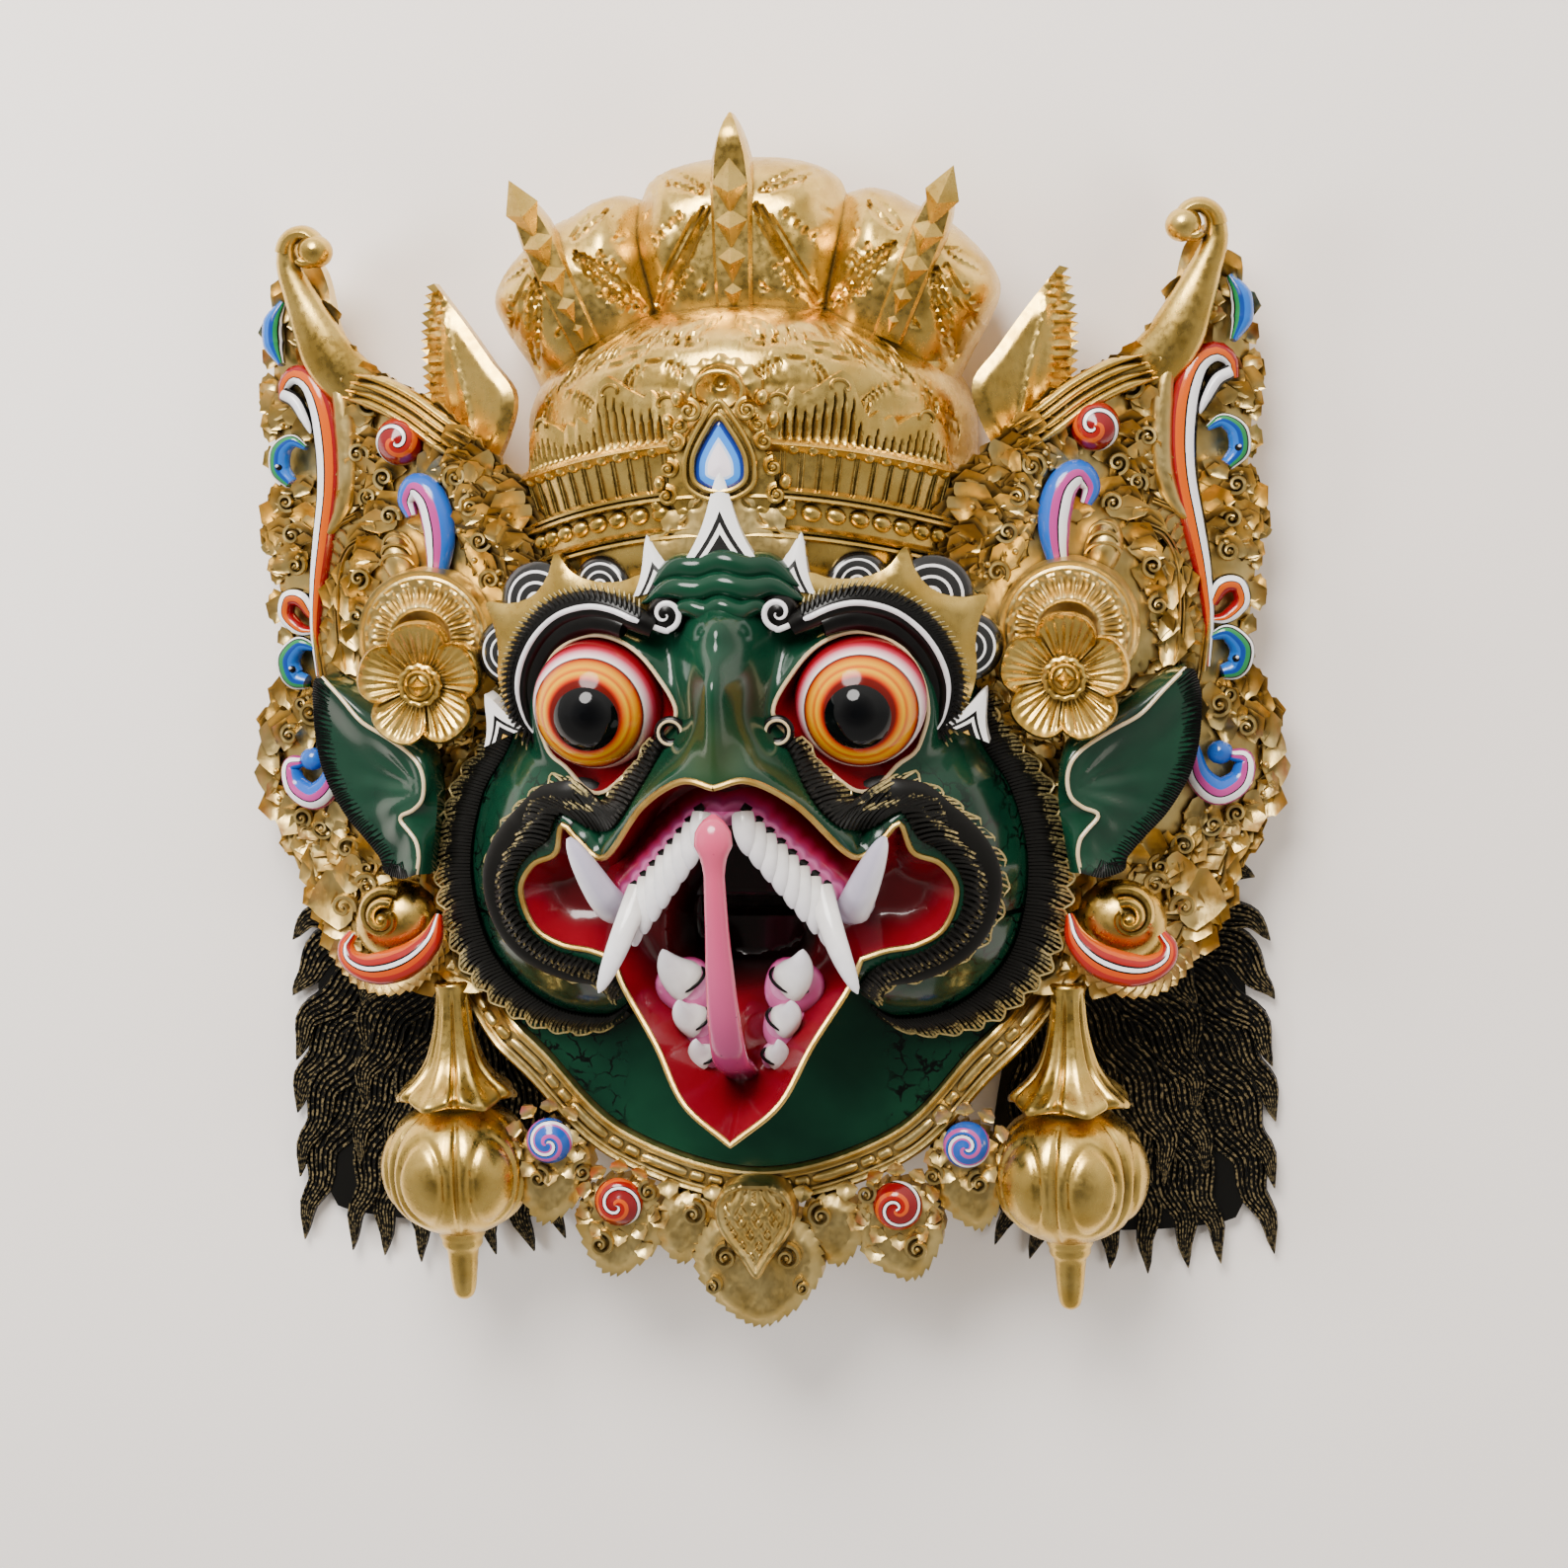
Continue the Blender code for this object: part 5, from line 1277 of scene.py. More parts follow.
# %% The cap's surface
CAP_WIDE, CAP_DEEP, CAP_AXIS, CAP_DROOP, CAP_FLARE = 97.0, 94.0, 22.0, 20.0, 0.0035
TOP_EDGE = [(0, 137), (16, 139), (19.4, 138.4), (22, 141.2), (24.5, 137.6), (27, 141.4), (30, 138.6),
            (36, 141.6), (40, 144.5), (44.7, 147.4), (48, 145), (50, 137.6), (53, 131), (55, 128.6),
            (58, 131.4), (60.5, 127.4), (63, 129.4), (65.5, 125.6), (69, 128.4), (72, 130), (75.8, 130.4),
            (79, 127), (83, 121.5), (84.5, 116), (86.3, 111), (90, 105), (95, 100), (103, 98)]


def on_cap(share, height, turn, lift=0.0, flare_top=1e3):
    """A point of the cap: radius share, height at the middle, and the turn round the axis in degrees."""
    angle = np.radians(turn)
    flare = CAP_FLARE * np.clip(np.asarray(height) - 99, 0, 40) * (height < flare_top)
    x = (CAP_WIDE * share + lift) * np.sin(angle) * (1 + flare)
    y = height - CAP_DROOP * (share * np.sin(angle)) ** 2
    return np.stack(np.broadcast_arrays(x, y, CAP_AXIS + (CAP_DEEP * share + lift) * np.cos(angle)), -1)


def engraved(place, start, end, width, depth):
    """A cut leaf: two hollows side by side along a line, with a sharp rib left between them."""
    start, end = np.asarray(start, float), np.asarray(end, float)
    span = end - start
    t = ((place - start) @ span) / (span @ span)
    side = ((place - start) @ np.array((-span[1], span[0]))) / np.linalg.norm(span)
    wide = width * np.sqrt(np.clip(np.sin(np.pi * np.clip(t, 0, 1)), 0, 1)) + 1e-6
    share = np.abs(side) / wide
    return np.where((t > 0) & (t < 1) & (share < 1), -depth * 2.6 * share * (1 - share**2), 0)


def nicks(place, start, end, count, size, depth):
    """A row of crescent gouge nicks between two places."""
    found = np.zeros(place.shape[:-1])
    start, end = np.asarray(start, float), np.asarray(end, float)
    run = (end - start) / np.linalg.norm(end - start)
    for share in np.linspace(0, 1, count):
        away = place - (start + (end - start) * share)
        along, side = away @ run, away @ np.array((-run[1], run[0]))
        bent = along - 0.25 * side**2 / size
        found -= depth * np.exp(-(bent / (size * 0.36)) ** 2 - (side / (size * 1.1)) ** 2)
        found += 0.5 * depth * np.exp(-((along - size * 0.7) / (size * 0.4)) ** 2 - (side / size) ** 2)
    return found


def petal_arc(place, centre, radius, depth):
    """Two bows over a place, as on the dome behind the diadem."""
    away = place - np.asarray(centre, float)
    far = np.hypot(away[..., 0], away[..., 1] * 1.35)
    bow = np.exp(-((far - radius) / 0.8) ** 2) + 0.8 * np.exp(-((far - radius + 2.6) / 0.6) ** 2)
    sunk = (far < radius - 4) & (away[..., 1] > -1)
    return np.where(away[..., 1] > -1, -depth * bow, 0) + np.where(sunk, -0.5, 0)


STEP = 0.35
turns = np.arange(-296, 297) * STEP
bands = [(0.98, 68), (1.0, 71), (1.0, 83.6), (1.03, 84.2), (1.045, 85), (1.04, 86), (1.015, 86.5),
         (1.035, 87.1), (1.04, 88), (1.02, 88.9), (1.0, 89.6), (1.0, 95), (1.0, 98.6), (1.03, 99.2),
         (1.05, 100), (1.045, 101), (1.02, 101.5), (1.035, 102.1), (1.035, 103), (1.01, 103.8),
         (0.985, 104.4), (0.985, 110), (0.99, 117.4), (1.005, 118.6), (1.02, 120.4), (1.005, 121.6),
         (0.985, 122.4)]
edge_height = np.interp(np.abs(102 * np.sin(np.radians(turns))), *np.array(TOP_EDGE).T)
edge_height = np.maximum(edge_height + CAP_DROOP * 0.9 * np.sin(np.radians(turns)) ** 2, 123.5)
skin = [on_cap(share, height, turns) for share, height in bands]
ray = (turns / (6 * STEP)) % 1 - 0.5
rayed = (np.abs(turns) > 12) & (np.abs(turns) < 84)
for share in np.linspace(0, 1, 17)[1:]:
    height = 122.4 + (edge_height - 122.4) * share
    tip = edge_height - 6.5
    left = np.clip((tip - height) / np.maximum(tip - 122.4, 1), 0, 1)
    groove = np.clip(1 - np.abs(ray) / (0.46 * left**0.7 + 1e-4), 0, 1) * (left > 0) * rayed
    skin.append(on_cap(0.985 - 0.026 * share, height, turns, -2.6 * groove * np.clip(left * 6, 0, 1)))
skin.append(on_cap(0.950, edge_height + 0.1, turns))
skin.append(on_cap(0.928, edge_height - 0.2, turns))
skin.append(on_cap(0.915, edge_height - 3, turns))
skin.append(on_cap(0.905, np.full(len(turns), 123.0), turns))
for share, height in soft_line([(0.915, 126), (0.92, 140), (0.905, 151), (0.83, 161.5), (0.63, 171.5),
                                (0.36, 176.3), (0.12, 177.4)], 36):
    skin.append(on_cap(share, height, turns, 0, 0) * (1.055, 1, 1))
skin = np.array(skin)
dome_rows = np.arange(len(skin)) >= len(skin) - 36
side_plan = np.stack([np.abs(skin[..., 0]), skin[..., 1]], -1)
cut = (petal_arc(side_plan, (26, 142), 14, 2.0) + petal_arc(side_plan, (66, 131), 14, 2.0)
       + petal_arc(side_plan, (88, 118), 11, 1.8))
for start, end in (((3, 169), (24, 158)), ((30, 158), (54, 150)), ((6, 158), (40, 164)),
                   ((50, 158), (72, 142)), ((42, 166), (66, 152)), ((78, 136), (88, 120))):
    cut += engraved(side_plan, start, end, 3.0, 1.7)
for start, end, count in (((12, 161), (18, 158), 4), ((24, 163), (30, 160), 4), ((44, 158), (50, 155), 4),
                          ((62, 152), (66, 148), 4), ((74, 144), (78, 139), 3)):
    cut += nicks(side_plan, start, end, count, 1.9, 1.3)
skin[..., 2] += np.where(dome_rows[:, None], cut, 0)
skin[..., 2] = np.maximum(skin[..., 2], 0)
cap = Carving()
rows, columns = skin.shape[:2]
cap.add(skin, grid_faces(rows, columns))
peak = np.concatenate([skin[-1], [(0, 177.6, CAP_AXIS)]])
k = np.arange(columns - 1)
cap.add(peak, np.stack([k, k + 1, np.full(columns - 1, columns)], 1))
back = np.concatenate([skin[:, 0], skin[:, -1]])
k = np.arange(rows - 1)
cap.add(back, np.stack([k, k + 1, k + 1 + rows, k + rows], 1))
under = skin[0]
k = np.arange(columns // 2)
cap.add(under, np.stack([k, columns - 1 - k, columns - 2 - k, k + 1], 1)[:, ::-1])

# %% [markdown]
# Beads, panel ribs and little domed heads stand on the tiers as small bodies of their own.


# %% Beads and ribs of the diadem
def beads(store, places, radii, turns, look=0, sides=12, rings=7, **marks):
    """Small round bodies: places (m, 3), half sizes (3) or (m, 3), and turns in plan in degrees."""
    places = np.asarray(places, float)
    points, quads, fan = dome((0, 0, 0), 1.0, sides, rings, 100)
    size = np.broadcast_to(np.asarray(radii, float), (len(places), 3))[:, None]
    angle = np.radians(np.broadcast_to(np.asarray(turns, float), (len(places),)))[:, None]
    shape = points[None] * size
    x = shape[..., 0] * np.cos(angle) - shape[..., 1] * np.sin(angle)
    y = shape[..., 0] * np.sin(angle) + shape[..., 1] * np.cos(angle)
    put = np.stack([x, y, shape[..., 2]], -1) + places[:, None]
    base = np.arange(len(places))[:, None, None] * len(points)
    store.add(put, (quads[None] + base).reshape(-1, 4), look, **marks)
    store.add(put, (fan[None] + base).reshape(-1, 3), look, **marks)


def cap_beads(store, turns, share, height, half, look=0):
    """Beads on the cap, each turned to face out from the axis."""
    points, quads, fan = dome((0, 0, 0), 1.0, 14, 8, 100)
    for turn in turns:
        angle = math.radians(turn)
        middle = on_cap(share, height, turn)
        slope = -2 * CAP_DROOP * share * math.sin(angle) / CAP_WIDE
        across = np.array((math.cos(angle), slope * math.cos(angle), -math.sin(angle)))
        out = np.array((math.sin(angle), 0, math.cos(angle)))
        up = np.array((0, 1.0, 0))
        put = middle + points[:, :1] * half[0] * across
        put = put + points[:, 1:2] * half[1] * up + points[:, 2:] * half[2] * out
        store.add(put, quads, look)
        store.add(put, fan, look)


BEAD_TURNS = [side * turn for turn in np.arange(14.5, 88, 5.9) for side in (-1, 1)] + [0, -8.8, 8.8]
cap_beads(cap, BEAD_TURNS, 0.998, 95.0, (4.4, 3.7, 3.8))
PANEL_TURNS = np.arange(15.5, 90, 4.3)
cap_beads(cap, [side * turn for turn in PANEL_TURNS for side in (-1, 1)], 0.99, 119.2, (2.7, 2.6, 2.6))
ribs = []
for turn in np.concatenate([PANEL_TURNS - 2.15, [PANEL_TURNS[-1] + 2.15]]):
    for side in (-1, 1):
        for shift in (-0.45, 0.45):
            ribs.append([on_cap(0.989, height, side * turn + shift) for height in np.linspace(104, 119.5, 5)])
cap.rod(ribs, 0.42, 0.9, 6)
cusps = []
for x, height in ((43.5, 144.5), (74.5, 138), (21, 137)):
    for side in (-1, 1):
        turn = side * math.degrees(math.asin(x / 102))
        ring = [on_cap(0.962, height + 2.6 * math.sin(a), turn + 2.0 * math.cos(a), 0.4)
                for a in np.radians(np.linspace(-30, 210, 15))]
        cusps.append(ring)
cap.rod(cusps, 0.75, 0.8, 6)
cap.piece("crown_cap_form", "gold_leaf", [burnished_gold], "crown_cap")

# %% [markdown]
# The gem is a painted drop, dark blue at its rim and paler to a pinkish white heart. It is set in a frame
# with a petal hood over it and a volute at each side. Under it the painter put a white leaf with black
# chevrons, and one more at each side of the forehead.

# %% Gem and chevron leaves
gem_paint = enamel("painted gem enamel", "ring", [(0.0, "#0F3390"), (0.17, "#2E86E8"), (0.44, "#BFD3F2"),
                                                  (0.55, "#F1E4EC")], 0.12, "CONSTANT", 0.9)


def swelling(store, outline, depth, rise, thick, look=0, spacing=1.2, power=0.5, mark=None, hollow=0.0):
    """A pillow over an outline: its front rises from the rim; a mark gives the distance from the rim."""
    line = soft_line(outline, max(24, len(outline) * 6), True)
    corners, faces = plan_net(line, [], spacing)
    edge = nearest(corners, line, True)[0]
    most = max(edge.max(), 1e-6)
    x, y = corners.T
    base = depth(x, y) if callable(depth) else depth
    z = base + rise * (edge / most) ** power - hollow * (edge / most) ** 2
    points = np.concatenate([np.stack([x, y, z], 1), np.stack([x, y, base + 0 * x - thick], 1)])
    values = {mark: np.concatenate([edge / most, np.zeros(len(x))])} if mark else {}
    store.add(points, faces, look, **values)
    store.add(points, rim_walls(faces, len(x)), look, **values)
    return corners, edge


gem = Carving("ring", "chevron")
GEM = [(0, 129), (4.5, 123.5), (8.6, 116), (9.6, 110.5), (8.8, 106), (4.5, 103), (0, 102.5)]
gem_line = soft_line(both_sides(GEM), 80, True)
swelling(gem, gem_line[::-1], 121.0, 2.6, 8, 1, 0.7, 0.8, "ring")
for grow, width, depth, high in ((1.10, 1.15, 122.4, 1.6), (1.42, 1.1, 121.4, 1.7)):
    ring = (gem_line - (0, 112)) * grow + (0, 112.6)
    gem.rod(np.column_stack([ring, np.full(80, depth)])[np.r_[0:80, 0]], width, high, 8)
FRAME = [(0, 136), (7, 131), (13, 124), (17.5, 116), (20.5, 108), (20, 99), (15, 92), (8, 90), (0, 90)]
swelling(gem, both_sides(FRAME)[::-1], 117.5, 2.0, 14, 0, 2.0, 0.5)
HOOD = [(0, 155), (3.5, 152.6), (6.5, 153.2), (9, 150.6), (12.2, 150.2), (13.6, 146.6), (16, 144.2),
        (15.6, 139.5), (13, 136), (8, 137), (4, 134.5), (0, 133.5)]
corners, edge = swelling(gem, both_sides(HOOD)[::-1], 115.5, 3.6, 14, 0, 0.9, 0.6)
for place, size, deep in (((0, 141.5), 7.5, 2.6), ((0, 144), 2.4, 1.6)):
    hole = deep * np.exp(-((np.hypot(corners[:, 0], corners[:, 1] - place[1]) / size) ** 4))
    gem.points[-1][:len(corners), 2] -= hole
    gem.points[-2][:len(corners), 2] -= hole
bow = np.radians(np.linspace(-20, 200, 30))
gem.rod(np.stack([9.3 * np.cos(bow), 140.5 + 7.4 * np.sin(bow), 120.6 + 0 * bow], 1), 0.9, 1.2, 8)
for side in (-1, 1):
    for x, y, radius, depth in ((11.2, 133.0, 4.3, 121.5), (17.5, 121, 3.6, 119.5), (20.5, 111, 3.6, 118),
                                (21.5, 100.5, 3.8, 117.5), (15.5, 127.5, 3.0, 119.5)):
        curl = spiral((side * x, y), radius, 1.3, 90, side, 34, 0.1)
        gem.rod(np.column_stack([curl, depth + 2.2 * np.linspace(0, 1, 34) ** 2]),
                np.linspace(1.4, 0.8, 34), 1.9, 8)
        beads(gem, [(side * x, y, depth + 1.6)], (1.4, 1.4, 1.9), 0)
    beads(gem,
          [(side * 16.5, 137.5, 117), (side * 20.5, 129, 116), (side * 24.5, 105, 115),
           (side * 26, 97, 114)], (2.6, 3.4, 3.2), side * -20)
LEAF = [(0, 115), (4, 111), (9.5, 107.5), (12.5, 103.5), (16.5, 102.5), (18.2, 98.5), (17.4, 95.5),
        (22, 94.5), (24.6, 91), (24, 87.5), (28, 86), (31, 82), (32, 76), (26, 72), (10, 72), (0, 72)]
corners, edge = swelling(gem, both_sides(LEAF)[::-1], lambda x, y: 119.5 - 0.16 * np.abs(x), 2.0, 12, 3,
                         1.1, 0.45)
for x, y, turn in ((9, 97, 40), (15, 90, 55), (8, 104, 35), (21, 85, 60)):
    for side in (-1, 1):
        dent = nicks(corners, (side * x, y), (side * (x + 0.5), y + 0.5), 1, 2.6, 0.9)
        gem.points[-1][:len(corners), 2] += dent
        gem.points[-2][:len(corners), 2] += dent
painted_leaf(gem, (0, 77), 13.2, 34, 0, 125.5, 8, 2, -3.5)
for side in (-1, 1):
    painted_leaf(gem, (side * 25.5, 64), 10.5, 22, side * -13, 119, 14, 2, -4)
gem.piece("gem_and_leaves", "accent_paint", [burnished_gold, gem_paint, chevrons, pale_gold], "crown_cap")
# %% [markdown]
# The crest is one padded fan of lobes, like a pumpkin cut in half: it is round at its scalloped edge and
# pressed in along the seams, where the carver ran a deep knife line. Long leaves and rows of nicks are cut
# into the skin, and a ribbed spike stands over each lobe. Its front is one height over the plan, so that the
# cuts, which follow no edge of the mesh, are made in numbers.

# %% Crest shape
CREST_EDGE = [(0, 235.5), (17, 234.5), (31, 231), (39.5, 225.5), (42.5, 219.5)]
CREST_SIDE = [(42.5, 219.5), (52, 221.5), (62, 219), (70, 214.5), (79, 210.5), (88, 204), (98, 194),
              (104, 184), (104.5, 176), (100, 166), (93, 154), (87.5, 143)]
CREST_FOOT = [(87.5, 143), (76, 140), (56, 143), (30, 150), (0, 150)]
SEAM = [(42.5, 219.5), (42, 208), (39.5, 194), (35.5, 176), (33, 152)]
crest_top = np.concatenate([soft_line(CREST_EDGE, 30)[:-1], soft_line(CREST_SIDE, 70)])
crest_foot = soft_line(CREST_FOOT, 30)
crest_seam = soft_line(SEAM, 40)


def rounded(share):
    """A quarter circle: 0 and steep at 0, level from 1 on."""
    return np.sqrt(np.clip(1 - (1 - np.clip(share, 0, 1)) ** 2, 0, 1))


def crest_cuts(x, y):
    """The carving on the right half: x is the distance from the middle."""
    place = np.stack([x, y], 1)
    cut = engraved(place, (33.2, 173), (9, 215), 4.2, 2.6) + engraved(place, (11, 219.5), (34, 229), 3.6, 2.2)
    cut += engraved(place, (38, 174), (65, 197), 4.2, 2.6) + engraved(place, (51, 218), (67, 202), 3.4, 2.0)
    cut += engraved(place, (86, 150), (80, 188), 3.6, 2.4) + engraved(place, (101, 184), (84, 195), 3.4, 2.1)
    cut += engraved(place, (96, 160), (84, 189), 2.8, 1.9)
    for start, end, count, size in (((21, 210.5), (32, 201), 5, 1.7), ((17.5, 190), (25, 178), 5, 1.6),
                                    ((24, 224.5), (33, 221), 4, 1.5), ((54, 197), (47, 190), 4, 1.6),
                                    ((54, 181), (43, 173.5), 5, 1.6), ((58, 215), (50, 211), 3, 1.4),
                                    ((92, 180), (96, 171), 4, 1.5), ((82, 172), (85, 160), 4, 1.5),
                                    ((90, 199), (98, 190), 3, 1.4)):
        cut += nicks(place, start, end, count, size * 1.15, 1.8)
    for at in ((11.8, 181), (36.5, 211), (47, 203), (72, 165)):
        cut += nicks(place, at, (at[0] + 1, at[1] + 1), 1, 2.6, 2.0)
    return cut


def crest_front(x, y, carved=True):
    x, y = np.abs(np.asarray(x, float)), np.asarray(y, float)
    place = np.stack([x, y], 1)
    out, seam, foot = (nearest(place, line)[0] for line in (crest_top, crest_seam, crest_foot + (0, 10)))
    z = 33 + 37 * rounded(out / 27) - 13 * (1 - np.clip(seam / 15, 0, 1)) ** 2 * rounded(out / 10)
    z = z - 16 * (1 - rounded((foot + 4) / 34))
    if carved:
        z = z + crest_cuts(x, y) * ease(out, 0.5, 4)
    return z


def crest_spike(lean_middle, angle, length, store, broad=1.0):
    """The rib over a lobe: a band with pyramids that grow into a faceted spike."""
    t = np.linspace(0, 1, 26)
    low, tip = -30.0, length
    y = low + (tip - low) * t
    half = np.interp(t, [0, 0.5, 0.68, 0.8, 0.9, 0.97, 1], [7.2, 8.2, 8.4, 7.2, 4.8, 2.2, 0.5]) * broad
    turn = math.radians(angle)
    under = crest_front(lean_middle[0] + y * math.sin(turn), lean_middle[1] + y * math.cos(turn), False)
    front = np.maximum.accumulate(under + 0.6) - 2.5 * ease(y, tip - 6, tip)
    shape = [(-1, -1.0), (-1, 0.0), (-0.82, 0.75), (0, 1.0), (0.82, 0.75), (1, 0.0), (1, -1.0)]
    rise = np.interp(t, [0, 0.7, 0.9, 1], [2.0, 3.0, 5.5, 1.0])
    rows = [np.stack([half * a, y, front + rise * b - (10 if b < -0.5 else 0)], 1) for a, b in shape]
    grid = np.array(rows)
    index = np.arange(grid.shape[0] * grid.shape[1]).reshape(grid.shape[:2])
    quads = grid_faces(*index.shape, True)
    closing = np.stack([index[-1, :-1], index[0, :-1], index[0, 1:], index[-1, 1:]], -1)
    pieces = [(grid.reshape(-1, 3), np.concatenate([quads, closing])[:, ::-1])]
    end = index[:, -1]
    pieces.append((grid.reshape(-1, 3), end[None]))
    for i, (y0, size) in enumerate(((-24, 3.2), (-15, 4.6), (-3.5, 5.8), (10, 6.6), (24, 7.2))):
        level = np.interp(y0, y, front + rise)
        top = size * (1.0 if i < 4 else 1.7)
        corners = np.array([(-size, y0 + size * 0.85, level - 0.6), (size, y0 + size * 0.85, level - 0.6),
                            (0, y0 - size * 1.05, level - 0.8), (0, y0 + size * 0.30, level + size * 0.85),
                            (0, y0 + top * 1.5, level + 0.4)])
        pieces.append((corners, np.array([(0, 2, 3), (2, 1, 3), (1, 4, 3), (4, 0, 3)])))
    (cx, cy), turn = lean_middle, math.radians(angle)
    for points, faces in pieces:
        x = cx + points[:, 0] * math.cos(turn) + points[:, 1] * math.sin(turn)
        yy = cy - points[:, 0] * math.sin(turn) + points[:, 1] * math.cos(turn)
        store.add(np.stack([x, yy, points[:, 2]], 1), faces)


crest = Carving()
half_outline = np.concatenate([crest_top, crest_foot[1:]])
outline = both_sides([tuple(point) for point in half_outline])
corners, faces = plan_net(outline, [], 1.5, [crest_seam, crest_seam * (-1, 1)])
x, y = corners.T
top = np.stack([x, y, crest_front(x, y)], 1)
n = len(corners)
points = np.concatenate([top, np.stack([x * 0.985, (y - 150) * 0.985 + 150, np.full(n, 20.0)], 1)])
crest.add(points, faces)
crest.add(points, faces[:, ::-1] + n)
crest.add(points, rim_walls(faces, n))
crest_spike((0, 192), 0, 58, crest)
crest_spike((72.5, 187), 23, 38, crest, 0.85)
crest_spike((-72.5, 187), -23, 38, crest, 0.85)
crest.piece("crown_crest_form", "gold_leaf", [burnished_gold], "crown_crest", angle=32)

# %% [markdown]
# Between crest and wing stands a long leaf with a saw edge on its outer side, gouged between the teeth.

# %% Saw-edged leaves
BLADE = [(108, 106), (98, 124), (94, 141), (104, 155), (115, 170), (129, 187.5)]
BLADE_OUT = [(129, 187.5), (132.5, 172), (133.5, 158), (133, 146), (132.5, 136)]


def blade_front(x, y):
    """The saw-edged leaf leans back towards its outer side."""
    return 66 - 0.39 * (x - 110) - 14.4 + 0 * y


saw_line = soft_line(BLADE_OUT, 15)
saw = []
for i in range(len(saw_line) - 1):
    saw += [saw_line[i], saw_line[i] * 0.25 + saw_line[i + 1] * 0.75 + (3.2, 1.6)]
outline = np.concatenate([soft_line(BLADE, 30)[:-1], saw, saw_line[-1:], [(124, 118)]])
points, faces = slab_net(outline, blade_front, lambda x, y: blade_front(x, y) - 8.5, 1.5)
edge = nearest(points[:, :2], outline, True)[0]
front = points[:, 2] > blade_front(points[:, 0], points[:, 1]) - 4
far, _, place = nearest(points[:, :2], saw_line)
notch = np.sin(place * math.pi * 2 * (len(saw_line) - 1))
band = 1 - ease(far, 6.5, 9.0)
points[:, 2] += np.where(front,
                         np.minimum(edge, 5) * 0.55 - band * (1.2 + 1.1 * notch) * ease(edge, 0.2, 1.6), 0)
mid = nearest(points[:, :2], soft_line([(112, 112), (116, 140), (126, 180)], 20))[0]
points[:, 2] += np.where(front, 1.2 * np.exp(-((mid / 1.4) ** 2)), 0)
saw_leaf = Carving()
saw_leaf.add(points, faces)
saw_leaf.pair("saw_leaf_*", "gold_leaf", [burnished_gold], "blade_*")
# %% [markdown]
# The painted scrolls are rods that swell and taper. Each stripe follows its scroll: the paint reads how
# far across the rod a point lies. The swirl balls are domes on which the same stripes run in a spiral.

# %% Painted scrolls
RED_STRIPES = [(0.0, "#8A0810"), (0.30, "#C65202"), (0.58, "#080708"), (0.63, "#F1EEF0"), (0.90, "#080708")]
BLUE_STRIPES = [(0.0, "#1A5CBC"), (0.36, "#AC3A82"), (0.60, "#080708"), (0.65, "#F1EEF0"), (0.90, "#AC3A82")]
TWO_BLUES = [(0.0, "#1864C0"), (0.42, "#123C8C"), (0.62, "#1A7A40"), (0.80, "#080708"), (0.87, "#F1EEF0"),
             (0.95, "#080708")]
red_scroll = enamel("red and orange scroll enamel", "stripe", RED_STRIPES, 0.16, "CONSTANT", 0.25)
blue_scroll = enamel("blue and pink scroll enamel", "stripe", BLUE_STRIPES, 0.16, "CONSTANT", 0.25)
sea_scroll = enamel("blue and green scroll enamel", "stripe", TWO_BLUES, 0.16, "CONSTANT", 0.25)
hot_swirl = enamel("red and orange swirl enamel", ("swirl_sin", "swirl_cos"),
                   [(0.0, "#7C080E"), (0.28, "#C64C02"), (0.46, "#94120A"), (0.66, "#080708"),
                    (0.71, "#F1EEF0"), (0.84, "#080708"), (0.89, "#7C080E")], 0.16, "CONSTANT", 0.25)
cool_swirl = enamel("blue and pink swirl enamel", ("swirl_sin", "swirl_cos"),
                    [(0.0, "#1A52AC"), (0.38, "#B44A90"), (0.58, "#1A52AC"), (0.70, "#080708"),
                     (0.75, "#F1EEF0"), (0.90, "#B44A90")], 0.16, "CONSTANT", 0.25)


def scroll(store, line, widths, height, look, flip=False, sides=16):
    """A striped rod; widths are given at even steps along it, and the first stripe lies on its outer side."""
    line = soft_line(line, 48)
    width = np.interp(np.linspace(0, 1, 48), np.linspace(0, 1, len(widths)), widths)
    points, quads, marks = rods(line, width, height * np.minimum(1, width / max(widths)) ** 0.5, sides)
    across = -marks["across"] if flip else marks["across"]
    store.add(points, quads, look, stripe=0.5 - 0.5 * across)


def swirl_ball(store, centre, radius, look, high=0.8, hand=1, turns=1.1, start=0.0):
    """A dome on which one striped arm winds in to the middle."""
    points, quads, fan = dome((0, 0, 0), radius, 60, 30, 96)
    far = np.hypot(points[:, 0], points[:, 1]) / radius
    phase = hand * np.arctan2(points[:, 1], points[:, 0]) + 2 * math.pi * turns * (1 - far) ** 0.85 + start
    relief = 0.35 * np.cos(phase)
    points[:, 2] = points[:, 2] * high + relief
    store.add(points + centre, quads, look, swirl_sin=np.sin(phase), swirl_cos=np.cos(phase))
    store.add(points + centre, fan, look, swirl_sin=np.sin(phase), swirl_cos=np.cos(phase))


def volute(store, centre, radius, look=0, hand=1, turns=1.4, start=90, thick=1.5, rise=2.0, wall=2.4):
    """A carved snail: a spiral ridge that climbs to a round eye."""
    curl = spiral(centre[:2], radius, turns, start, hand, 28, 0.14)
    t = np.linspace(0, 1, 28)
    line = np.column_stack([curl, centre[2] + rise * t**1.5])
    store.rod(line, thick * (1 - 0.4 * t), wall, 6, look=look)
    beads(store, [(centre[0], centre[1], centre[2] + rise * 0.6)],
          (radius * 0.24, radius * 0.24, wall * 0.9), 0, look, 10, 6)


# %% [markdown]
# A wing is a board with leaf work standing on it. The leaves are copies of two carved forms. Their places
# come from an even scatter, they keep clear of the painted scrolls, and they lie as water would flow round
# the disc and up the wing, each a little different in size and turn, as hand carving is.


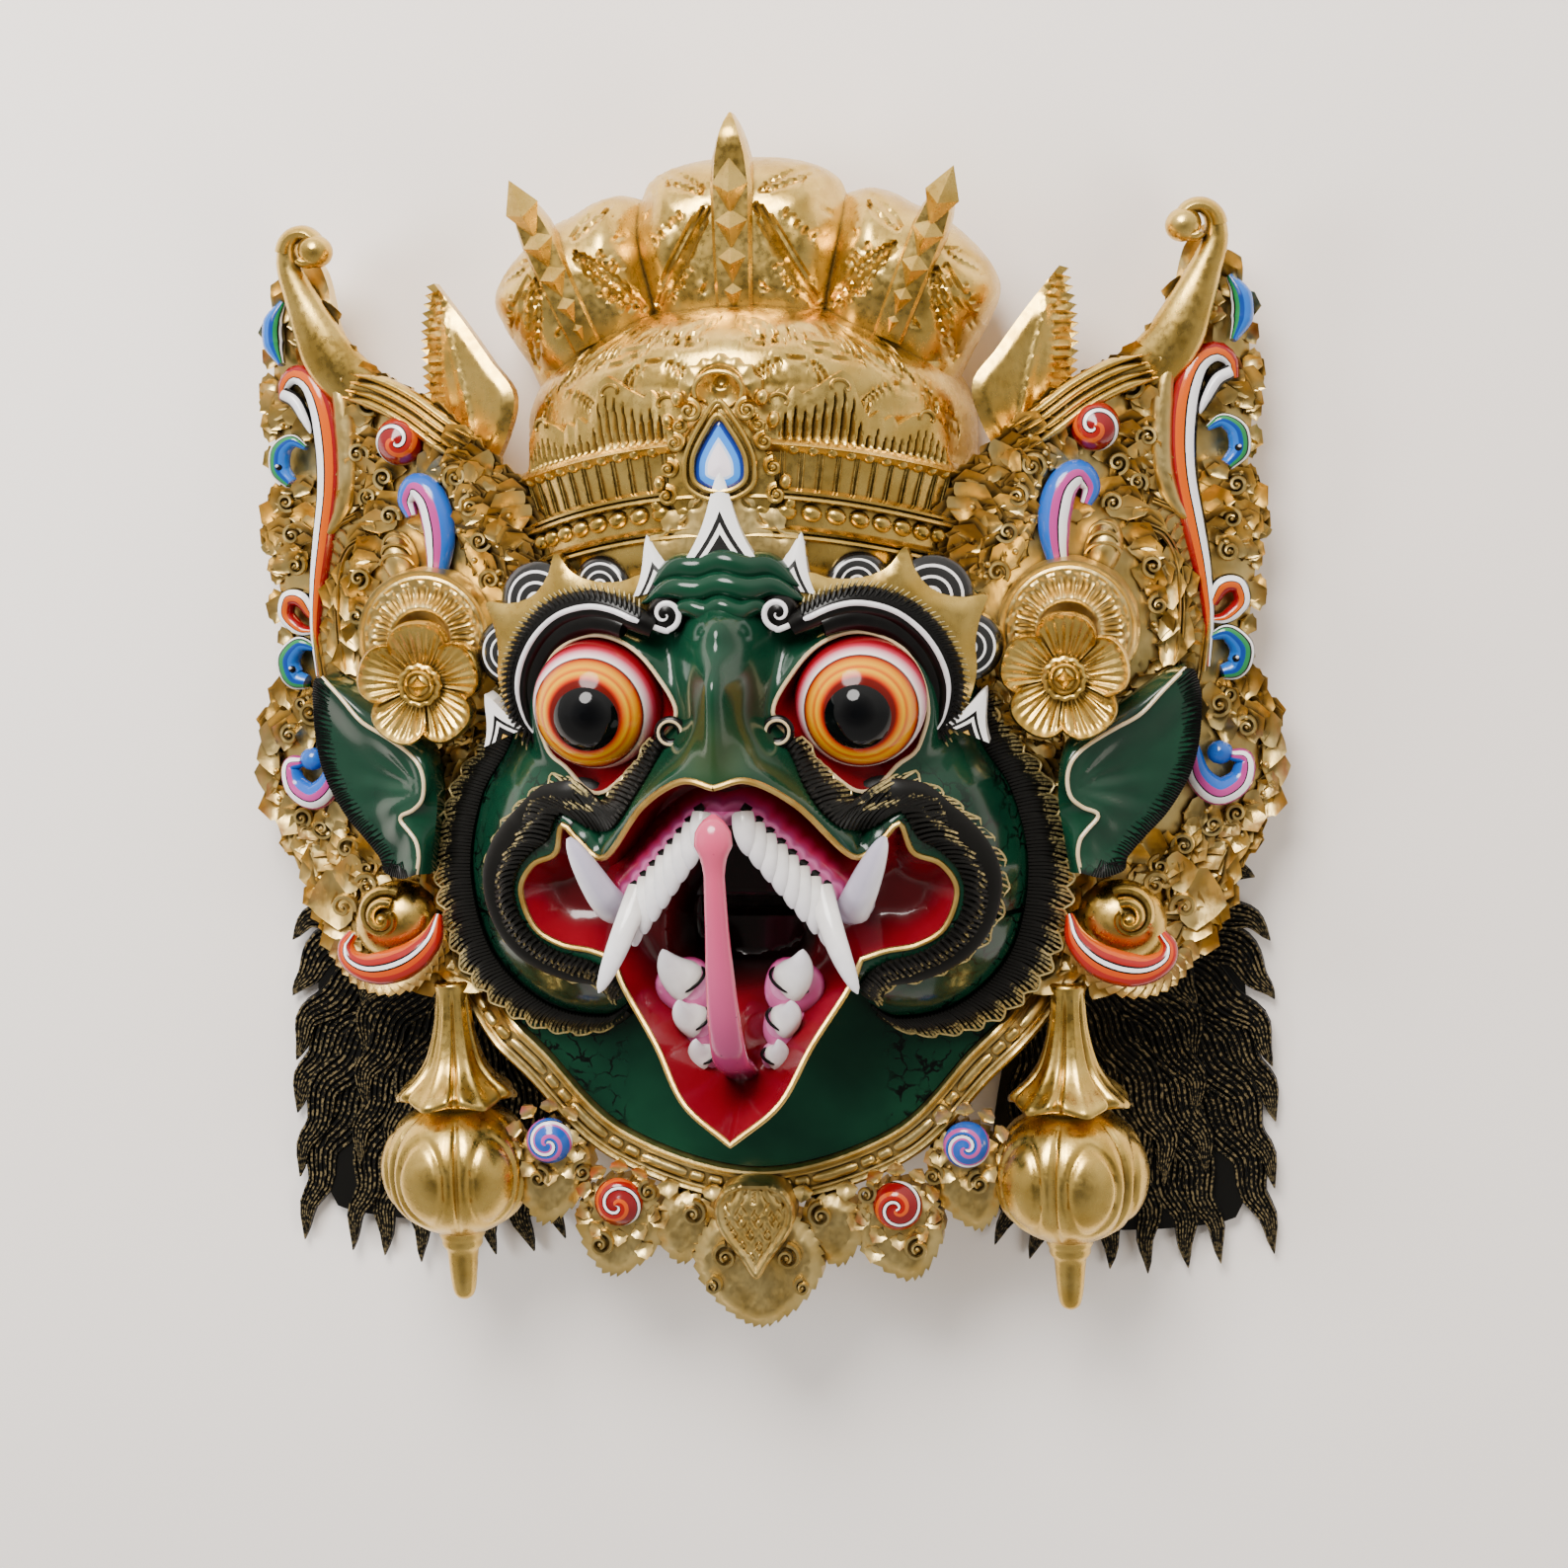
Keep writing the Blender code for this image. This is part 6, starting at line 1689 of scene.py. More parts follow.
# %% Wing board
def wing_front(x, y=0):
    """The wing leans back towards its outer side."""
    return 66 - 0.39 * (np.asarray(x) - 110) + 0 * np.asarray(y)


WING = [(112, -98), (104, -60), (90, -12), (86, 40), (86, 92), (104, 112), (125, 130), (140, 138), (157, 148),
        (167, 158), (174, 172), (176, 183), (180, 196), (190, 204), (195, 196), (199, 182), (203, 172),
        (205, 160), (206, 146), (207, 134), (206, 118), (205, 102), (208, 84), (208, 65), (206, 46),
        (204, 30), (207, 14), (214, 2), (213, -14), (211, -32), (204, -48), (196, -60), (194, -72),
        (186, -86), (174, -97), (160, -104), (140, -104), (124, -103)]
HALO = (132.0, 43.0)
LONG_SCROLL = [(199, 141), (197.5, 148), (191, 151.5), (183.5, 146.5), (179, 134), (177.5, 118), (178.5, 102),
               (182, 84), (186, 64), (188.5, 44), (188, 24)]
COMMA = [(131.5, 60), (127.5, 72), (126.5, 86), (129.5, 99), (136, 104.5), (141, 99), (139, 92)]
ARC = [(163, 88), (174, 82), (180.5, 70), (182.3, 54), (181.6, 36), (178.5, 18)]
KEEP_CLEAR = [(LONG_SCROLL, 7.5), (COMMA, 8), ([(143, 123), (143, 122)], 12), (ARC, 7.5),
              ([(194, 27), (197, 34)], 10), ([(196, 49), (197, 58)], 9), ([(194, 112), (196, 118)], 9.5),
              ([(199, 157), (202, 172), (197, 180)], 6), ([(145, 68), (147, 77)], 9),
              ([(194, -19), (194, -20)], 13.5), ([(142, -2), (160, 6), (178, 22)], 8),
              ([(135, -16), (140, -40), (146, -55)], 10), ([(165, -42), (176, -24), (183, -2)], 7),
              ([(160, -20), (150, -30)], 14), ([HALO, (132, 42)], 30.5),
              ([(134, -76), (150, -95), (166, -92)], 9), ([(154, -74), (155, -75)], 12),
              ([(181, 190), (186, 204)], 8)]
wing_line = soft_line(WING, 210, True)
wing = Carving()
points, faces = slab_net(wing_line,
                         lambda x, y: wing_front(x) - 3.2 + 0.9 * np.sin(x * 0.9) * np.sin(y * 0.8),
                         lambda x, y: wing_front(x) - 13.8, 3.0)
edge = nearest(points[:, :2], wing_line, True)[0]
points[:, 2] += np.where(points[:, 2] > wing_front(points[:, 0]) - 9, 1.6 * (ease(edge, 0, 4) - 1), 0)
wing.add(points, faces)

# %% [markdown]
# The leaf work: two leaf forms scattered over the board, a row of leaves along the rim, snails and beads.

# %% Wing foliage
curled = leaf_form(7, 7, 3, 0.10, -0.16, 0.34, 0.50)
broad = leaf_form(7, 7, 4, 0.08, -0.12, 0.22, 0.62)


def free(places, room=0.0):
    """Which places in plan stay clear of the painted scrolls and discs."""
    keep = np.ones(len(places), bool)
    for line, width in KEEP_CLEAR:
        keep &= nearest(places, np.asarray(line, float))[0] > width + room
    return keep


def flow(places):
    """The lie of the leaves in degrees from +Y: up the wing, out to its edge, and round the disc."""
    away = places - np.array(HALO)
    out = np.degrees(np.arctan2(-away[:, 0], away[:, 1]))
    up = np.where(places[:, 1] > 60, -25, np.where(places[:, 1] > -30, -70, -120))
    near = np.exp(-((np.hypot(*away.T) - 30) / 22) ** 2)
    return out * near + up * (1 - near)


step = 6.9
rows = []
for i, y in enumerate(np.arange(-104, 190, step * 0.8)):
    xs = np.arange(88 + (i % 2) * step / 2, 212, step)
    rows.append(np.stack([xs, np.full(len(xs), y)], 1))
scatter = np.concatenate(rows)
scatter = scatter + chance.uniform(-1.3, 1.3, scatter.shape)
far = nearest(scatter, wing_line, True)[0]
scatter = scatter[inside(scatter, wing_line) & (far > 2.5) & free(scatter)]
print("leaves on the wing:", len(scatter))
count = len(scatter)
turns = flow(scatter) + chance.uniform(-38, 38, count)
sizes = chance.uniform(10.0, 14.5, count)
lifts = chance.uniform(-2.6, 0.4, count)
for form, chosen in ((curled, np.arange(count) % 3 != 0), (broad, np.arange(count) % 3 == 0)):
    put_leaves(wing, form, scatter[chosen], turns[chosen], sizes[chosen], wing_front, lifts[chosen], 1.0,
               0.10)
rim = soft_line(WING[12:], 200)
rim = rim[(rim[:, 1] < 178)]
out = np.stack([np.gradient(rim[:, 1]), -np.gradient(rim[:, 0])], 1)
out /= np.linalg.norm(out, axis=1, keepdims=True)
out *= -1 if (out[80] @ (1, 0)) < 0 else 1
pick = np.arange(3, len(rim), 4)
pick = pick[free(rim[pick] - out[pick] * 4, -4.5)]
turns = np.degrees(np.arctan2(-out[pick, 0], out[pick, 1])) + np.where(np.arange(len(pick)) % 2, 34, -22)
put_leaves(wing, curled, rim[pick] - out[pick] * 4.2, turns, chance.uniform(8, 12.0, len(pick)), wing_front,
           chance.uniform(-4.5, -1.0, len(pick)), 1.0, 0.04)
inner = soft_line([(91, -8), (88, 40), (88, 92), (106, 112), (125, 129), (141, 137), (157, 147)], 40)
put_leaves(wing, curled, inner + (1, -1), np.linspace(70, 15, 40) + chance.uniform(-30, 30, 40),
           chance.uniform(8, 11, 40), wing_front, -2.5, 1.0, 0.05)
SNAILS = [(158, 139, 5, 1), (168, 149, 4.5, -1), (152, 108, 4.5, 1), (164, 118, 4.5, -1), (160, 100, 4, 1),
          (150, 92, 4.2, -1), (118, 108, 5.5, 1), (112, 96, 4.5, -1), (108, 82, 4.5, 1), (166, 66, 4.5, -1),
          (168, 50, 4, 1), (198, 84, 4.5, -1), (200, 98, 4, 1), (197, 71, 4.2, 1), (193, 8, 5, 1),
          (204, -2, 4.4, -1), (197, 12, 3.6, 1), (190, -42, 5.5, 1), (178, -50, 5, -1), (168, -58, 4.5, 1),
          (200, -38, 4.2, -1), (176, -70, 5, 1), (185, -78, 4.2, -1), (104, 66, 4.5, 1), (96, 52, 4, -1),
          (98, 30, 4.5, 1), (101, 8, 4.5, -1), (114, -70, 5, 1), (118, -90, 4.5, -1), (122, -60, 4.2, 1),
          (170, 12, 4, 1)]
for x, y, radius, hand in SNAILS:
    volute(wing, (x, y, float(wing_front(x)) + 1.0), radius, 0, hand, 1.4, 90 + 37 * (x % 7), 1.25, 2.4, 2.2)
dots = scatter[::5] + (3, 2)
dots = dots[free(dots, 0.5) & inside(dots, wing_line)]
beads(wing, np.column_stack([dots, wing_front(dots[:, 0]) + 1.4]), (1.4, 1.4, 1.8), 0)

# %% [markdown]
# Between the leaves lie the smooth parts: the neck that ends in a curl, the pale rim by the long scroll, the
# band of little shells, and the ribbed bulb above the disc.

# %% Smooth parts of the wing
neck = [(150, 128, 36), (163, 143, 40), (174, 156, 43), (181, 170, 43.5), (187, 184, 42.5), (191.5, 197, 42),
        (190, 206, 43), (185, 210, 45)]
wing.rod(soft_line(neck, 40),
         np.interp(np.linspace(0, 1, 40), [0, 0.2, 0.45, 0.72, 1], [5, 12.5, 11, 6.5, 3.0]),
         np.linspace(7, 5, 40), 18, look=1)
hook = spiral((183.5, 202), 9.2, 0.85, 0, 1, 34, 0.35)
wing.rod(np.column_stack([hook, 43 + 3.5 * np.linspace(0, 1, 34)]), np.linspace(3.6, 2.6, 34),
         np.linspace(6.5, 5.0, 34), 12, look=1)
beads(wing, [(178.5, 202.0, 46)], (7.4, 6.8, 7.5), 20, 1, 32, 16)
shoulder = [(112, 118, 58), (124, 126, 57), (138, 136, 54), (152, 143, 50), (164, 146, 46)]
for shift, width in ((0, 6.5), (5.5, 2.2), (-5.5, 2.2), (1.8, 2.0), (-2.2, 1.8)):
    line = soft_line(shoulder, 30) + (-0.55 * shift, 0.83 * shift, 3.2 if width < 6 else 0)
    wing.rod(line, width * np.interp(np.linspace(0, 1, 30), [0, 0.25, 0.8, 1], [0.3, 1, 1, 0.3]), 4.2, 12,
             look=1)
pale_rim = soft_line([(175, 152), (170.5, 138), (169.5, 120), (170.5, 104), (174.5, 92), (183, 80),
                      (187.3, 62), (188.8, 44), (186.5, 22)], 70)
wing.rod(np.column_stack([pale_rim, wing_front(pale_rim[:, 0]) + 1.0]),
         np.interp(np.linspace(0, 1, 70), [0, 0.15, 0.42, 0.55, 1], [2, 5.0, 4.2, 1.6, 1.3]), 4.2, 12)
arc_line = soft_line(ARC, 60)
side = np.stack([np.gradient(arc_line[:, 1]), -np.gradient(arc_line[:, 0])], 1)
side /= np.linalg.norm(side, axis=1, keepdims=True)
for shift, width, rise in ((5.6, 0.9, 2.6), (4.0, 0.6, 2.2), (-5.0, 0.9, 2.4), (-6.3, 0.6, 2.0)):
    line = arc_line + side * shift
    wing.rod(np.column_stack([line, wing_front(line[:, 0]) + 1.0]), width, rise, 8)
shells = soft_line(ARC, 17)[1:-1]
turned_by = np.degrees(np.arctan2(-np.gradient(shells[:, 0]), np.gradient(shells[:, 1])))
put_leaves(wing, broad, shells + (1.6, 0), turned_by + 180, 7.6, wing_front, 0.2, 0.95, 0.15)
floor_line = np.column_stack([arc_line, wing_front(arc_line[:, 0]) - 1.0])
wing.rod(floor_line, 6.2, 1.8, 8)
beads(wing, [(146, 74, 52.5)], (7.6, 12.2, 9.5), -16, 0, 30, 15)
for lift in (0, 4.4, 8.4):
    bow = [(146 + 7.4 * math.cos(a) * (1 - lift * 0.03), 71 + lift + 5.5 * math.sin(a),
            58 + 3.6 * math.sin(a))
           for a in np.linspace(0.25, math.pi - 0.25, 14)]
    wing.rod(bow, 0.75, 0.9, 6)

# %% [markdown]
# The disc behind the flower is turned like a plate: a double rim, a band of scallops and one of short rays.

# %% Ribbed disc
sides, rings = 176, 28
far = np.linspace(0.02, 1, rings)[:, None]
turn = (2 * np.pi * np.arange(sides) / sides)[None]
radius = 28.5 * far
depth = 74 + 5.0 * np.exp(-((radius - 12.5) / 3.2) ** 2) + 1.6 * np.exp(-((radius - 27) / 0.9) ** 2)
depth = depth + 1.0 * np.exp(-((radius - 24.6) / 0.6) ** 2) + 1.5 * ease(radius, 12, 8)
ray_band = ease(radius, 13.5, 14.5) * (1 - ease(radius, 19.5, 21.5))
scallop_line = 21.6 + 1.5 * np.abs(np.sin(turn * 10))
depth = depth + ray_band * 0.9 * np.cos(turn * 48) + 0.9 * np.exp(-((radius - scallop_line) / 0.6) ** 2)
depth = depth - 3.5 * ease(radius, 27.6, 28.5)
ring = np.stack(np.broadcast_arrays(HALO[0] + radius * np.cos(turn), HALO[1] + radius * np.sin(turn),
                                    depth), -1)
skirt = ring[-1:] * (1, 1, 0) + (0, 0, 48)
disc = np.concatenate([ring, skirt])
wing.add(disc, round_faces(len(disc), sides))
wing.add(ring[0], np.arange(sides)[None])

# %% [markdown]
# Under the ear a big gold volute rolls in over a red comma, with a fan of small leaves below it.

# %% Scroll under the ear
beads(wing, [(152, -79, 56)], (19, 17.5, 15), -20, 1, 40, 20)
for radius, rise in ((11.5, 68), (6.5, 71)):
    curl = spiral((155, -74.5), radius, 0.9, 120, -1, 40, 0.3)
    wing.rod(np.column_stack([curl, rise + 3 * np.linspace(0, 1, 40)]), np.linspace(2.6, 1.4, 40), 3.4, 10,
             look=1)
beads(wing, [(155.5, -75.5, 71.5)], (3, 3, 4), 0, 1)
fan_line = soft_line([(130, -84), (138, -95), (149, -102), (160, -104.5), (171, -102), (180, -94)], 17)
fan_out = fan_line - (154, -84)
turns = np.degrees(np.arctan2(-fan_out[:, 0], fan_out[:, 1]))
put_leaves(wing, broad, fan_line + (154 - fan_line[:, :1]) * (0.22, 0) + (0, 3.5), turns, 10.5,
           lambda x, y: 60 - 0.2 * (x - 150), -2, 0.7, 0.12)
for x, y, turn, size in ((172, -70, -100, 24), (176, -80, -115, 15), (168, -62, -80, 16), (146, -58, 10, 10),
                         (156, -58, -15, 12), (137, -64, 50, 12)):
    put_leaves(wing, broad, [(x, y)], [turn], [size], wing_front, 3.0, 0.75, 0.05)
volute(wing, (178, -74, 50), 5.5, 0, -1, 1.3, 200, 1.5, 2.4, 2.6)
volute(wing, (166, -64, 54), 5.0, 0, 1, 1.3, 20, 1.4, 2.4, 2.6)

# %% [markdown]
# The scrolls, commas and swirl balls lie in the places that the leaves left free.

# %% Painted scrolls of the wing
paint_work = Carving("stripe", "swirl_sin", "swirl_cos")
long_line = np.column_stack([LONG_SCROLL, wing_front(np.array(LONG_SCROLL)[:, 0]) + 1.5])
scroll(paint_work, long_line, [2.0, 4.6, 6.2, 6.6, 6.2, 5.6, 5.2, 4.4, 3.2, 2.2, 1.2], 5.6, 0)
drop_line = soft_line([(197.5, 143.5, 38), (192, 140.5, 39.5), (187.5, 133, 41), (185, 127, 41)], 20)
for grow, lift, look in ((1.35, 0.0, 4), (1.0, 0.9, 3)):
    paint_work.rod(drop_line + (0, 0, lift),
                   grow * 2.4 * np.sqrt(np.clip(1 - np.linspace(-0.35, 1, 20) ** 2, 0.02, 1)), 2.4, 12,
                   look=look)
comma = np.column_stack([COMMA, wing_front(np.array(COMMA)[:, 0]) + 2.5])
scroll(paint_work, comma, [2.0, 4.5, 6.4, 7.0, 6.4, 5.0, 2.5], 6.0, 1, True)
swirl_ball(paint_work, (143, 123, 56.5), 10.0, 5, 1.0, -1, 1.0, 0.6)
scroll(paint_work, [(197, 182, 33), (201.5, 174, 33), (202, 165, 33), (198.5, 156, 35)],
       [1.5, 4.6, 4.8, 1.5], 5.2, 2, True)
scroll(paint_work, [(188, 121, 40), (194, 124, 39), (200, 120, 37), (201, 112, 36), (196, 106, 37)],
       [1.2, 3.2, 4.6, 4.6, 3.0], 4.6, 2)
scroll(paint_work, [(190, 50, 36), (194, 57, 37), (200, 57, 35), (202, 50, 34), (196, 44, 35), (190, 43, 36)],
       [2.4, 4.0, 4.0, 3.6, 3.2, 1.6], 4.6, 0)
scroll(paint_work, [(189, 36, 37), (196, 37.5, 36), (202, 31, 34), (200, 23, 34), (194, 21, 35)],
       [1.4, 4.0, 5.2, 5.2, 3.2], 4.8, 2)
scroll(paint_work,
       [(182, -9, 38), (184, -21, 39), (192, -28, 38), (201, -24, 35), (203, -15, 34), (197, -13, 36)],
       [2.6, 5.0, 6.0, 5.6, 4.6, 2.2], 5.6, 1, True)
beads(paint_work, [(193, -12, 36)], (5.5, 5.0, 4.5), 0, 6)
beads(paint_work, [(200.5, 113, 39.8), (199.5, 27, 38)], (1.6, 1.6, 1.5), 0, 4)
beads(paint_work, [(201.0, 113.6, 41), (200.0, 27.6, 39.2)], (0.7, 0.7, 0.8), 0, 3)
SMILE = [(131.3, -73.7, 70), (134, -83, 73), (141.5, -90.5, 75), (151.6, -94.8, 75.5), (161.7, -95.5, 75),
         (169.5, -92, 73), (171.5, -86.5, 71), (168.5, -81.5, 70)]
scroll(paint_work, SMILE, [1.6, 4.6, 6.4, 7.4, 7.2, 5.6, 4.0, 2.2], 5.8, 7)
blue_plain = enamel("blue enamel", None, [(0.3, "#17489C"), (0.7, "#2062BE")], 0.16, coat=0.25)
smile_scroll = enamel("red scroll enamel with a white line", "stripe",
                      [(0.0, "#7C080E"), (0.10, "#A61408"), (0.30, "#C44404"), (0.46, "#080708"),
                       (0.51, "#F1EEF0"), (0.63, "#080708"), (0.68, "#94100C"), (0.84, "#C44C04")], 0.16,
                      "CONSTANT", 0.25)
looks = [red_scroll, blue_scroll, sea_scroll, white_enamel, black_enamel, hot_swirl, blue_plain, smile_scroll]
wing.pair("wing_form_*", "pale_gold_leaf", [pale_gold, burnished_gold], "wing_*")
paint_work.piece("wing_scrolls_right", "accent_paint", looks, "wing_right")
paint_work.mirrored().piece("wing_scrolls_left", "accent_paint", looks, "wing_left")
# %% [markdown]
# The ears are green leaves folded along a cream rim. The broad half is dished and has a comb of fine black
# strokes on its outer edge; the narrow fold turns in towards the flower.


# %% Ears
EAR_RIM = [(178.5, 26), (170, 18), (160.6, 8.6), (150.7, 3.5), (143.5, -0.3), (137, -4.5), (132.8, -9.5),
           (131.3, -16), (132.6, -23), (137.2, -27.5), (142.5, -30), (143, -32.5), (138.8, -37), (136, -41),
           (135.2, -47), (136.5, -54)]
EAR_OUT = [(136.5, -54), (145, -57), (153.3, -55.2), (154.8, -50.4), (158, -46.2), (163, -41), (170.5, -33.4),
           (177, -24), (181.5, -14.8), (184, -4.7), (185, 7), (184.5, 17), (182, 25), (178.5, 26)]
FOLD_IN = [(178.5, 26), (168, 22), (152.4, 12), (142.4, 5.5), (132.3, -1), (128.5, -8.9), (127.5, -24),
           (129.5, -39.4), (131.8, -54.8)]
rim_line = soft_line(EAR_RIM, 90)


def ear_depth(x):
    """The ear leans back towards its tip."""
    return 85 - 0.46 * (x - 133)


ear = Carving("vein", "glaze", "soot")
trim = Carving("along", "height")
outline = np.concatenate([rim_line[:-1], soft_line(EAR_OUT, 90)[:-1]])
corners, faces = plan_net(outline, [], 1.5)
x, y = corners.T
far_rim, _, _ = nearest(corners, rim_line)
far_out, _, _ = nearest(corners, soft_line(EAR_OUT, 90))
angle = np.arctan2(y + 20, x - 133)
folds = 0.7 * np.cos(angle * 14) * np.exp(-((np.hypot(x - 138, y + 20) - 12) / 14) ** 2)
z = ear_depth(x) - 5.5 * ease(far_rim, 0, 16) + 2.0 * (1 - ease(far_out, 0, 7)) + folds * ease(far_rim, 1, 5)
z = np.maximum(z, wing_front(x) + 1.2)
n = len(corners)
low = np.stack([x, y, np.minimum(wing_front(x) - 4, z - 1)], 1)
ear.add(np.concatenate([np.stack([x, y, z], 1), low]), faces,
        soot=np.concatenate([1 - ease(far_out, 0.6, 2.2), np.ones(n)]),
        vein=np.concatenate([0.35 * (1 - ease(far_out, 4, 12)), np.zeros(n)]))
walls = rim_walls(faces, n)
ear.rings.append(walls)
ear.looks.append(np.zeros(len(walls)))
t = np.linspace(0, 1, 10)[:, None, None]
inner_fold = soft_line(FOLD_IN, 90)
sheet = rim_line[None] * (1 - t) + inner_fold[None] * t
depth = ear_depth(sheet[..., 0]) - 7.5 * t[..., 0] ** 1.3 + 1.2 * np.sin(np.pi * t[..., 0])
grid = np.concatenate([sheet, depth[..., None]], -1)
grid = np.concatenate([grid, grid[-1:] - (0, 0, 14)])
ear.add(grid, grid_faces(11, 90), vein=0.1)
trim.rod(np.column_stack([rim_line, ear_depth(rim_line[:, 0]) + 0.5]), 0.85, 0.9, 8)
out_line = soft_line(EAR_OUT, 96)[4:-3]
toward = np.stack([-np.gradient(out_line[:, 1]), np.gradient(out_line[:, 0])], 1)
toward /= np.linalg.norm(toward, axis=1, keepdims=True)
toward *= np.sign(np.sum(toward * (np.array((155, -12)) - out_line), axis=1))[:, None]
strokes = []
for i, (place, way) in enumerate(zip(out_line, toward)):
    reach = 4.5 + 3.5 * abs(math.sin(i * 1.7))
    steps = np.linspace(0, 1, 5)[:, None]
    flat = place + way * steps * reach + np.array((0.0, -1.2)) * steps**2
    far = nearest(flat, rim_line)[0]
    out_far = nearest(flat, soft_line(EAR_OUT, 60))[0]
    lift = ear_depth(flat[:, 0]) - 5.5 * ease(far, 0, 16) + 2.0 * (1 - ease(out_far, 0, 7)) + 0.15
    strokes.append(np.column_stack([flat, np.maximum(lift, wing_front(flat[:, 0]) + 1.35)]))
trim.rod(strokes, np.array([0.55, 0.5, 0.42, 0.3, 0.12]), 0.35, 6, look=1)
ear.pair("ear_form_*", "green_lacquer", [green_enamel], "ear_*")
trim.piece("ear_trim_right", "black_paint", [cream_line, black_enamel], "ear_right")
trim.mirrored().piece("ear_trim_left", "black_paint", [cream_line, black_enamel], "ear_left")

# %% [markdown]
# The flower has five ribbed petals that overlap like a pinwheel, so each is a patch of its own round the same
# heart. The heart is a notched ring with a four-sided stud.

# %% Flowers
FLOWER = (130.6, 24.8)
flower = Carving()
rows, columns = 22, 49
for k in range(5):
    s = np.linspace(-1, 1, columns)[None]
    q = np.linspace(0, 1, rows)[:, None]
    angle = np.radians(88 + 72 * k + 40 * s)
    far = 5.5 + q * (26.2 * (1 - 0.30 * np.abs(s) ** 3.2) - 5.5)
    ribs_on = ease(q, 0.08, 0.25) * (1 - ease(q, 0.82, 0.96))
    z = 84.0 + 5.2 * q**1.6 + 1.3 * (1 - s**2) - 1.2 * s + 0.45 * np.cos(s * math.pi * 8.5) * ribs_on
    z = z + 1.0 * np.exp(-((q - 0.95) / 0.05) ** 2) - 1.2 * ease(q, 0.97, 1.0)
    top = np.stack(np.broadcast_arrays(FLOWER[0] + far * np.cos(angle), FLOWER[1] + far * np.sin(angle), z),
                   -1)
    skirt = top[-1:] - (0, 0, 3.0)
    sides_low = np.concatenate([top, skirt])
    flower.add(sides_low, grid_faces(rows + 1, columns, True))
    under = sides_low[-1] * (1, 1, 0) + (0, 0, 82.4)
    hub = np.array([(*FLOWER, 82.4)])
    j = np.arange(columns - 1)
    ring = np.concatenate([sides_low[-1], under])
    flower.add(ring, np.stack([j, j + columns, j + 1 + columns, j + 1], 1))
    flower.add(np.concatenate([under, hub]), np.stack([j + 1, j, np.full(columns - 1, columns)], 1))
    for edge in (0, -1):
        strip = np.concatenate([sides_low[:, edge], sides_low[:, edge] * (1, 1, 0) + (0, 0, 82.4)])
        j = np.arange(rows)
        quad = np.stack([j, j + 1, j + 2 + rows, j + 1 + rows], 1)
        flower.add(strip, quad if edge else quad[:, ::-1])
turn = np.radians(np.linspace(0, 360, 61))
for radius, width, depth, high in ((7.6, 1.5, 88.5, 2.2), (5.4, 1.2, 89.5, 2.4)):
    wave = 1 + (0.05 * np.cos(turn * 12) if radius > 6 else 0)
    ring = np.column_stack([FLOWER[0] + radius * wave * np.cos(turn),
                            FLOWER[1] + radius * wave * np.sin(turn), np.full(61, depth)])
    flower.rod(ring, width, high, 8)
beads(flower, [(*FLOWER, 87.0)], (6.2, 6.2, 5.5), 0, 0, 32, 12)
x, y = FLOWER
stud = np.array([(x - 4.4, y, 91.2), (x, y - 4.4, 91.2), (x + 4.4, y, 91.2), (x, y + 4.4, 91.2),
                 (x, y, 97.0)])
flower.add(stud, [(0, 1, 4), (1, 2, 4), (2, 3, 4), (3, 0, 4)])
flower.pair("flower_form_*", "gold_leaf", [burnished_gold], "flower_*")

# %% [markdown]
# A pendant is turned first and then fluted: six sharp valleys run down the skirt, and the bulb below has six
# lobes, each with an oval panel inside a groove. The valleys are functions of the turn round the axis.

# %% Pendants
PENDANT_LINE = [(0.5, -104.8), (7.2, -104.8), (7.0, -110), (7.6, -120), (9.5, -130), (12.5, -139),
                (17.5, -146), (22.5, -150.5), (24.6, -153), (24.0, -155), (18, -156.2), (13.5, -158),
                (18, -160.5), (24.5, -165), (29.5, -172), (32, -180), (32.2, -188), (30, -197),
                (25, -204.5), (18.5, -209.5), (12.5, -212.5), (10, -213.5), (9.8, -216), (8.8, -217),
                (8.6, -220), (7.2, -221.5), (6.6, -224), (6.1, -230), (5.4, -237), (4.2, -242),
                (2.0, -244.0), (0.3, -244.1)]
profile = soft_line(PENDANT_LINE, 124)
around = 180
turn = 2 * np.pi * np.arange(around) / around
height = profile[:, 1][:, None]
valley = (turn * 6 / (2 * np.pi) + 0.32) % 1 - 0.5
far_valley = np.abs(np.abs(valley) - 0.5)[None]
mid_valley = np.abs(valley)[None]
skirt_on = ease(-height, 106, 116) * (1 - ease(-height, 154.5, 156.5))
bulb_on = ease(-height, 158, 164) * (1 - ease(-height, 206, 212))
flute = 0.17 * np.exp(-((far_valley / 0.075) ** 2)) - 0.05 * np.exp(-((mid_valley / 0.10) ** 2))
share = 1 - skirt_on * flute
share = share - bulb_on * 0.085 * np.exp(-((far_valley / 0.045) ** 2))
oval = np.hypot(valley[None] / 0.33, (height + 186.5) / 18.5)
share = share - bulb_on * (0.048 * np.exp(-(((oval - 1) / 0.10) ** 2)) - 0.035 * np.clip(1 - oval**2, 0, 1))
share = share - bulb_on * 0.02 * np.exp(-(((far_valley - 0.10) / 0.02) ** 2))
radius = profile[:, 0][:, None] * share
sag = 3.4 * skirt_on * ease(-height, 138, 154) * (np.cos(valley[None] * math.pi) ** 2 - 0.6)
body = np.stack([130 + radius * np.cos(turn), height - sag + 0 * radius, 58 + radius * np.sin(turn)], -1)
pendant = Carving()
pendant.add(body, round_faces(len(profile), around)[:, ::-1])
pendant.add(body[0], np.arange(around)[None])
pendant.add(body[-1], np.arange(around)[None, ::-1])
pendant.pair("pendant_form_*", "gold_leaf", [burnished_gold], "pendant_*", angle=60)
